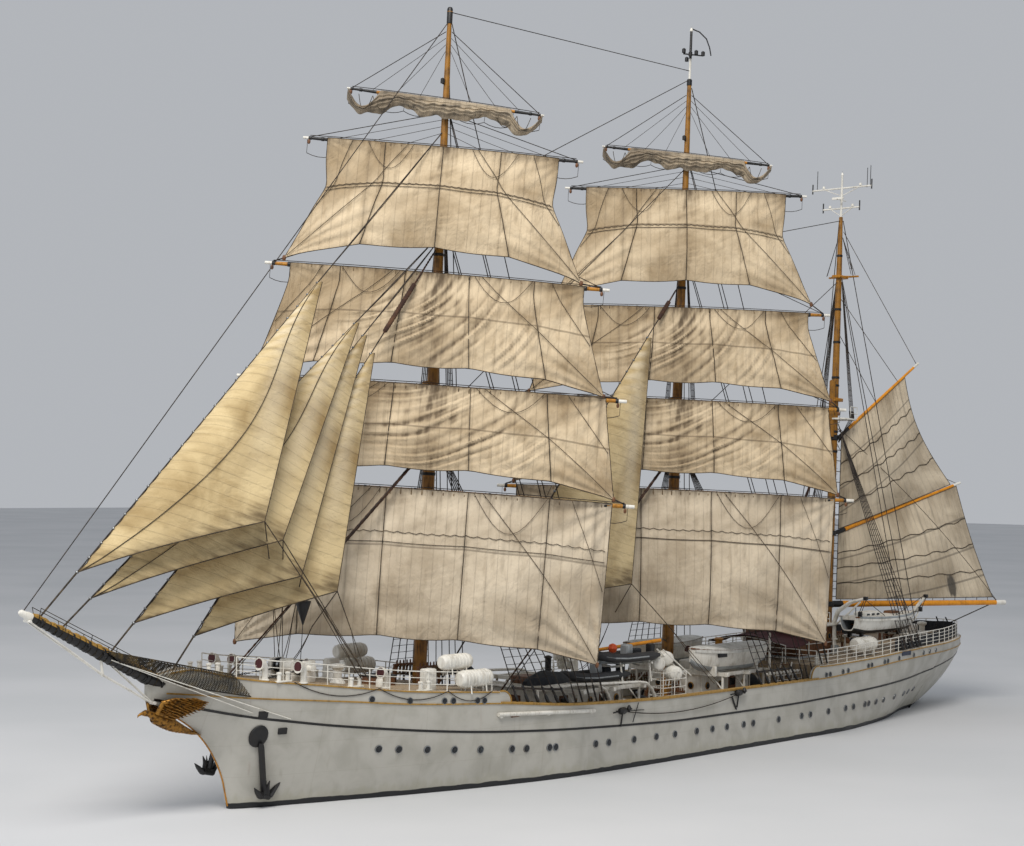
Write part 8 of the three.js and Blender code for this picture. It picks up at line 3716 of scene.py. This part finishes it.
@dataclass(frozen=True)
class SternGear:
    """Rudder and propeller below the counter."""

    # The rudder's sections: height, fore edge and after edge
    sections: tuple[Point, ...] = (
        (-4.9, -33.15, -34.9), (-4.6, -33.15, -35.2), (-3.0, -33.15, -35.3), (-1.6, -33.15, -35.1),
        (-0.95, -33.2, -34.6),
    )
    blades: int = 3

    def rudder(self) -> bpy.types.Object:
        """Makes the rudder blade with its stock and pintles.

        Returns:
            The piece.
        """
        shape = Shape()
        rings = []
        for z, fore, aft in self.sections:
            ring = []
            for k in range(16):
                a = 2 * math.pi * k / 16
                share = (1 - math.cos(a)) / 2
                thick = 0.15 * math.sqrt(share + 0.02) * (1 - share) * 2.2 + 0.03
                y = math.copysign(thick, math.sin(a)) if k % 8 else 0.0
                ring.append((fore + (aft - fore) * share, y, z))
            rings.append(ring)
        shape.loft(np.array(rings), RED_LEAD)
        shape.tube([(-33.55, 0, -5.0), (-33.55, 0, -0.85)], 0.13, BLACK, 12)
        for z in (-4.5, -3.2, -1.9):
            shape.box((-34.6, -0.17, z - 0.08), (-33.3, 0.17, z + 0.08), RED_LEAD, 0.03)
        return shape.piece("rudder_blade")

    def propeller(self) -> bpy.types.Object:
        """Makes the three-bladed propeller.

        Returns:
            The piece.
        """
        shape = Shape()
        shape.frame = Matrix.Translation((-32.25, 0, -2.6)) @ Matrix.Rotation(math.radians(90), 4, "Y")
        shape.turned([(0.2, -0.3), (0.24, -0.2), (0.24, 0.12), (0.16, 0.26), (0.03, 0.32)], BRASS, 20)
        for blade in range(self.blades):
            turn = Matrix.Rotation(2 * math.pi * blade / self.blades, 4, "Z")
            rows = []
            for r in np.linspace(0.18, 1.22, 12):
                wide = 0.62 * math.sin(math.pi * min((r / 1.25) ** 0.75, 0.985)) + 0.06
                pitch = math.atan2(1.35, 2 * math.pi * max(r, 0.2)) + 0.25
                row = []
                for t in np.linspace(-0.5, 0.5, 9):
                    along, rise = t * wide * math.cos(pitch), t * wide * math.sin(pitch)
                    angle = along / max(r, 0.25)
                    row.append(tuple(turn @ Vector((r * math.cos(angle), r * math.sin(angle), rise))))
                rows.append(row)
            shape.sheet(np.array(rows), 0.045, BRASS)
        return shape.piece("screw_blades")

    def build(self) -> None:
        """Builds the stern gear."""
        enter(self.rudder(), Body.RUDDER, Slot.BLACK, "rudder")
        enter(self.propeller(), Body.PROPELLER, Slot.BRONZE, "propeller")


@dataclass(frozen=True)
class Studio:
    """Camera, soft light and floor, in model metres."""

    place: Point = (10.092, 7.778, 1.786)
    yaw: float = math.radians(221.53)
    pitch: float = math.radians(1.471)
    roll: float = math.radians(0.843)
    lens: float = 67.28
    sensor: float = 36.0
    floor: float = 60.0

    def camera(self) -> None:
        """Sets the camera where the photographer stood."""
        level = math.cos(self.pitch)
        ahead = Vector((level * math.cos(self.yaw), level * math.sin(self.yaw), math.sin(self.pitch)))
        right = ahead.cross(Vector((0, 0, 1))).normalized()
        up = right.cross(ahead)
        x = right * math.cos(self.roll) + up * math.sin(self.roll)
        y = up * math.cos(self.roll) - right * math.sin(self.roll)
        data = bpy.data.cameras.new("camera")
        data.lens = self.lens
        data.sensor_width = self.sensor
        data.sensor_fit = "HORIZONTAL"
        data.clip_end = 200
        camera = bpy.data.objects.new("camera", data)
        turn = Matrix((x, y, -ahead)).transposed().to_4x4()
        camera.matrix_world = Matrix.Translation(self.place) @ turn
        bpy.context.scene.collection.objects.link(camera)
        bpy.context.scene.camera = camera

    def lamp(self, name: str, place: Point, size: float, power: float, colour: Point) -> None:
        """Sets a large soft lamp that looks at the ship.

        Args:
            name: name of the lamp.
            place: where it hangs, in model metres.
            size: width of its disc.
            power: its power in watts.
            colour: red, green and blue of its light.
        """
        data = bpy.data.lights.new(name, "AREA")
        data.shape = "DISK"
        data.size = size
        data.energy = power
        data.color = colour
        lamp = bpy.data.objects.new(name, data)
        aim = turned_to(Vector(place) - Vector((0, 0, 1.8)))
        lamp.matrix_world = Matrix.Translation(place) @ aim
        bpy.context.scene.collection.objects.link(lamp)

    def build(self) -> None:
        """Builds the studio."""
        self.camera()
        world = bpy.data.worlds.new("studio")
        world.use_nodes = True
        back = world.node_tree.nodes["Background"]
        back.inputs["Color"].default_value = (0.80, 0.83, 0.88, 1)
        back.inputs["Strength"].default_value = 0.56
        bpy.context.scene.world = world
        bpy.context.scene.view_settings.view_transform = "Standard"
        self.lamp("key", (9.5, 5.5, 14), 8, 1980, (1.0, 0.96, 0.9))
        self.lamp("fill", (14, -2, 7), 9, 360, (0.93, 0.96, 1.0))
        mesh = bpy.data.meshes.new("floor")
        corners = [(x * self.floor, y * self.floor, 0) for x, y in ((-1, -1), (1, -1), (1, 1), (-1, 1))]
        mesh.from_pydata(corners, [], [(0, 1, 2, 3)])
        nodes = Nodes("studio_floor")
        cloud = nodes.between(nodes.noise(nodes.place(), 0.4, 3), 0.3, 0.7)
        nodes.surface(Base_Color=nodes.mix(cloud, tint("c4c6c8"), tint("cdced0")), Roughness=0.8)
        mesh.materials.append(nodes.material)
        shown("floor", mesh)


def main() -> None:
    """Builds the ship piece by piece."""
    logging.basicConfig(level=logging.INFO, format="%(message)s")
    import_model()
    Workshop.open()
    Studio().build()
    Hull().build()
    for plan in MASTS.values():
        Mast(plan).build()
    rigs = [SquareRig(MASTS["fore"], Body.FORE_YARDS), SquareRig(MASTS["main"], Body.MAIN_YARDS)]
    for rig in rigs:
        rig.build()
    Headsails().build()
    SpankerGear().build()
    StandingRigging().build()
    for rig in rigs:
        YardGear(rig).build()
    SailLines().build()
    HeadGear().build()
    Boats().build()
    DeckWorks().build()
    SternGear().build()


if __name__ == "__main__":
    main()
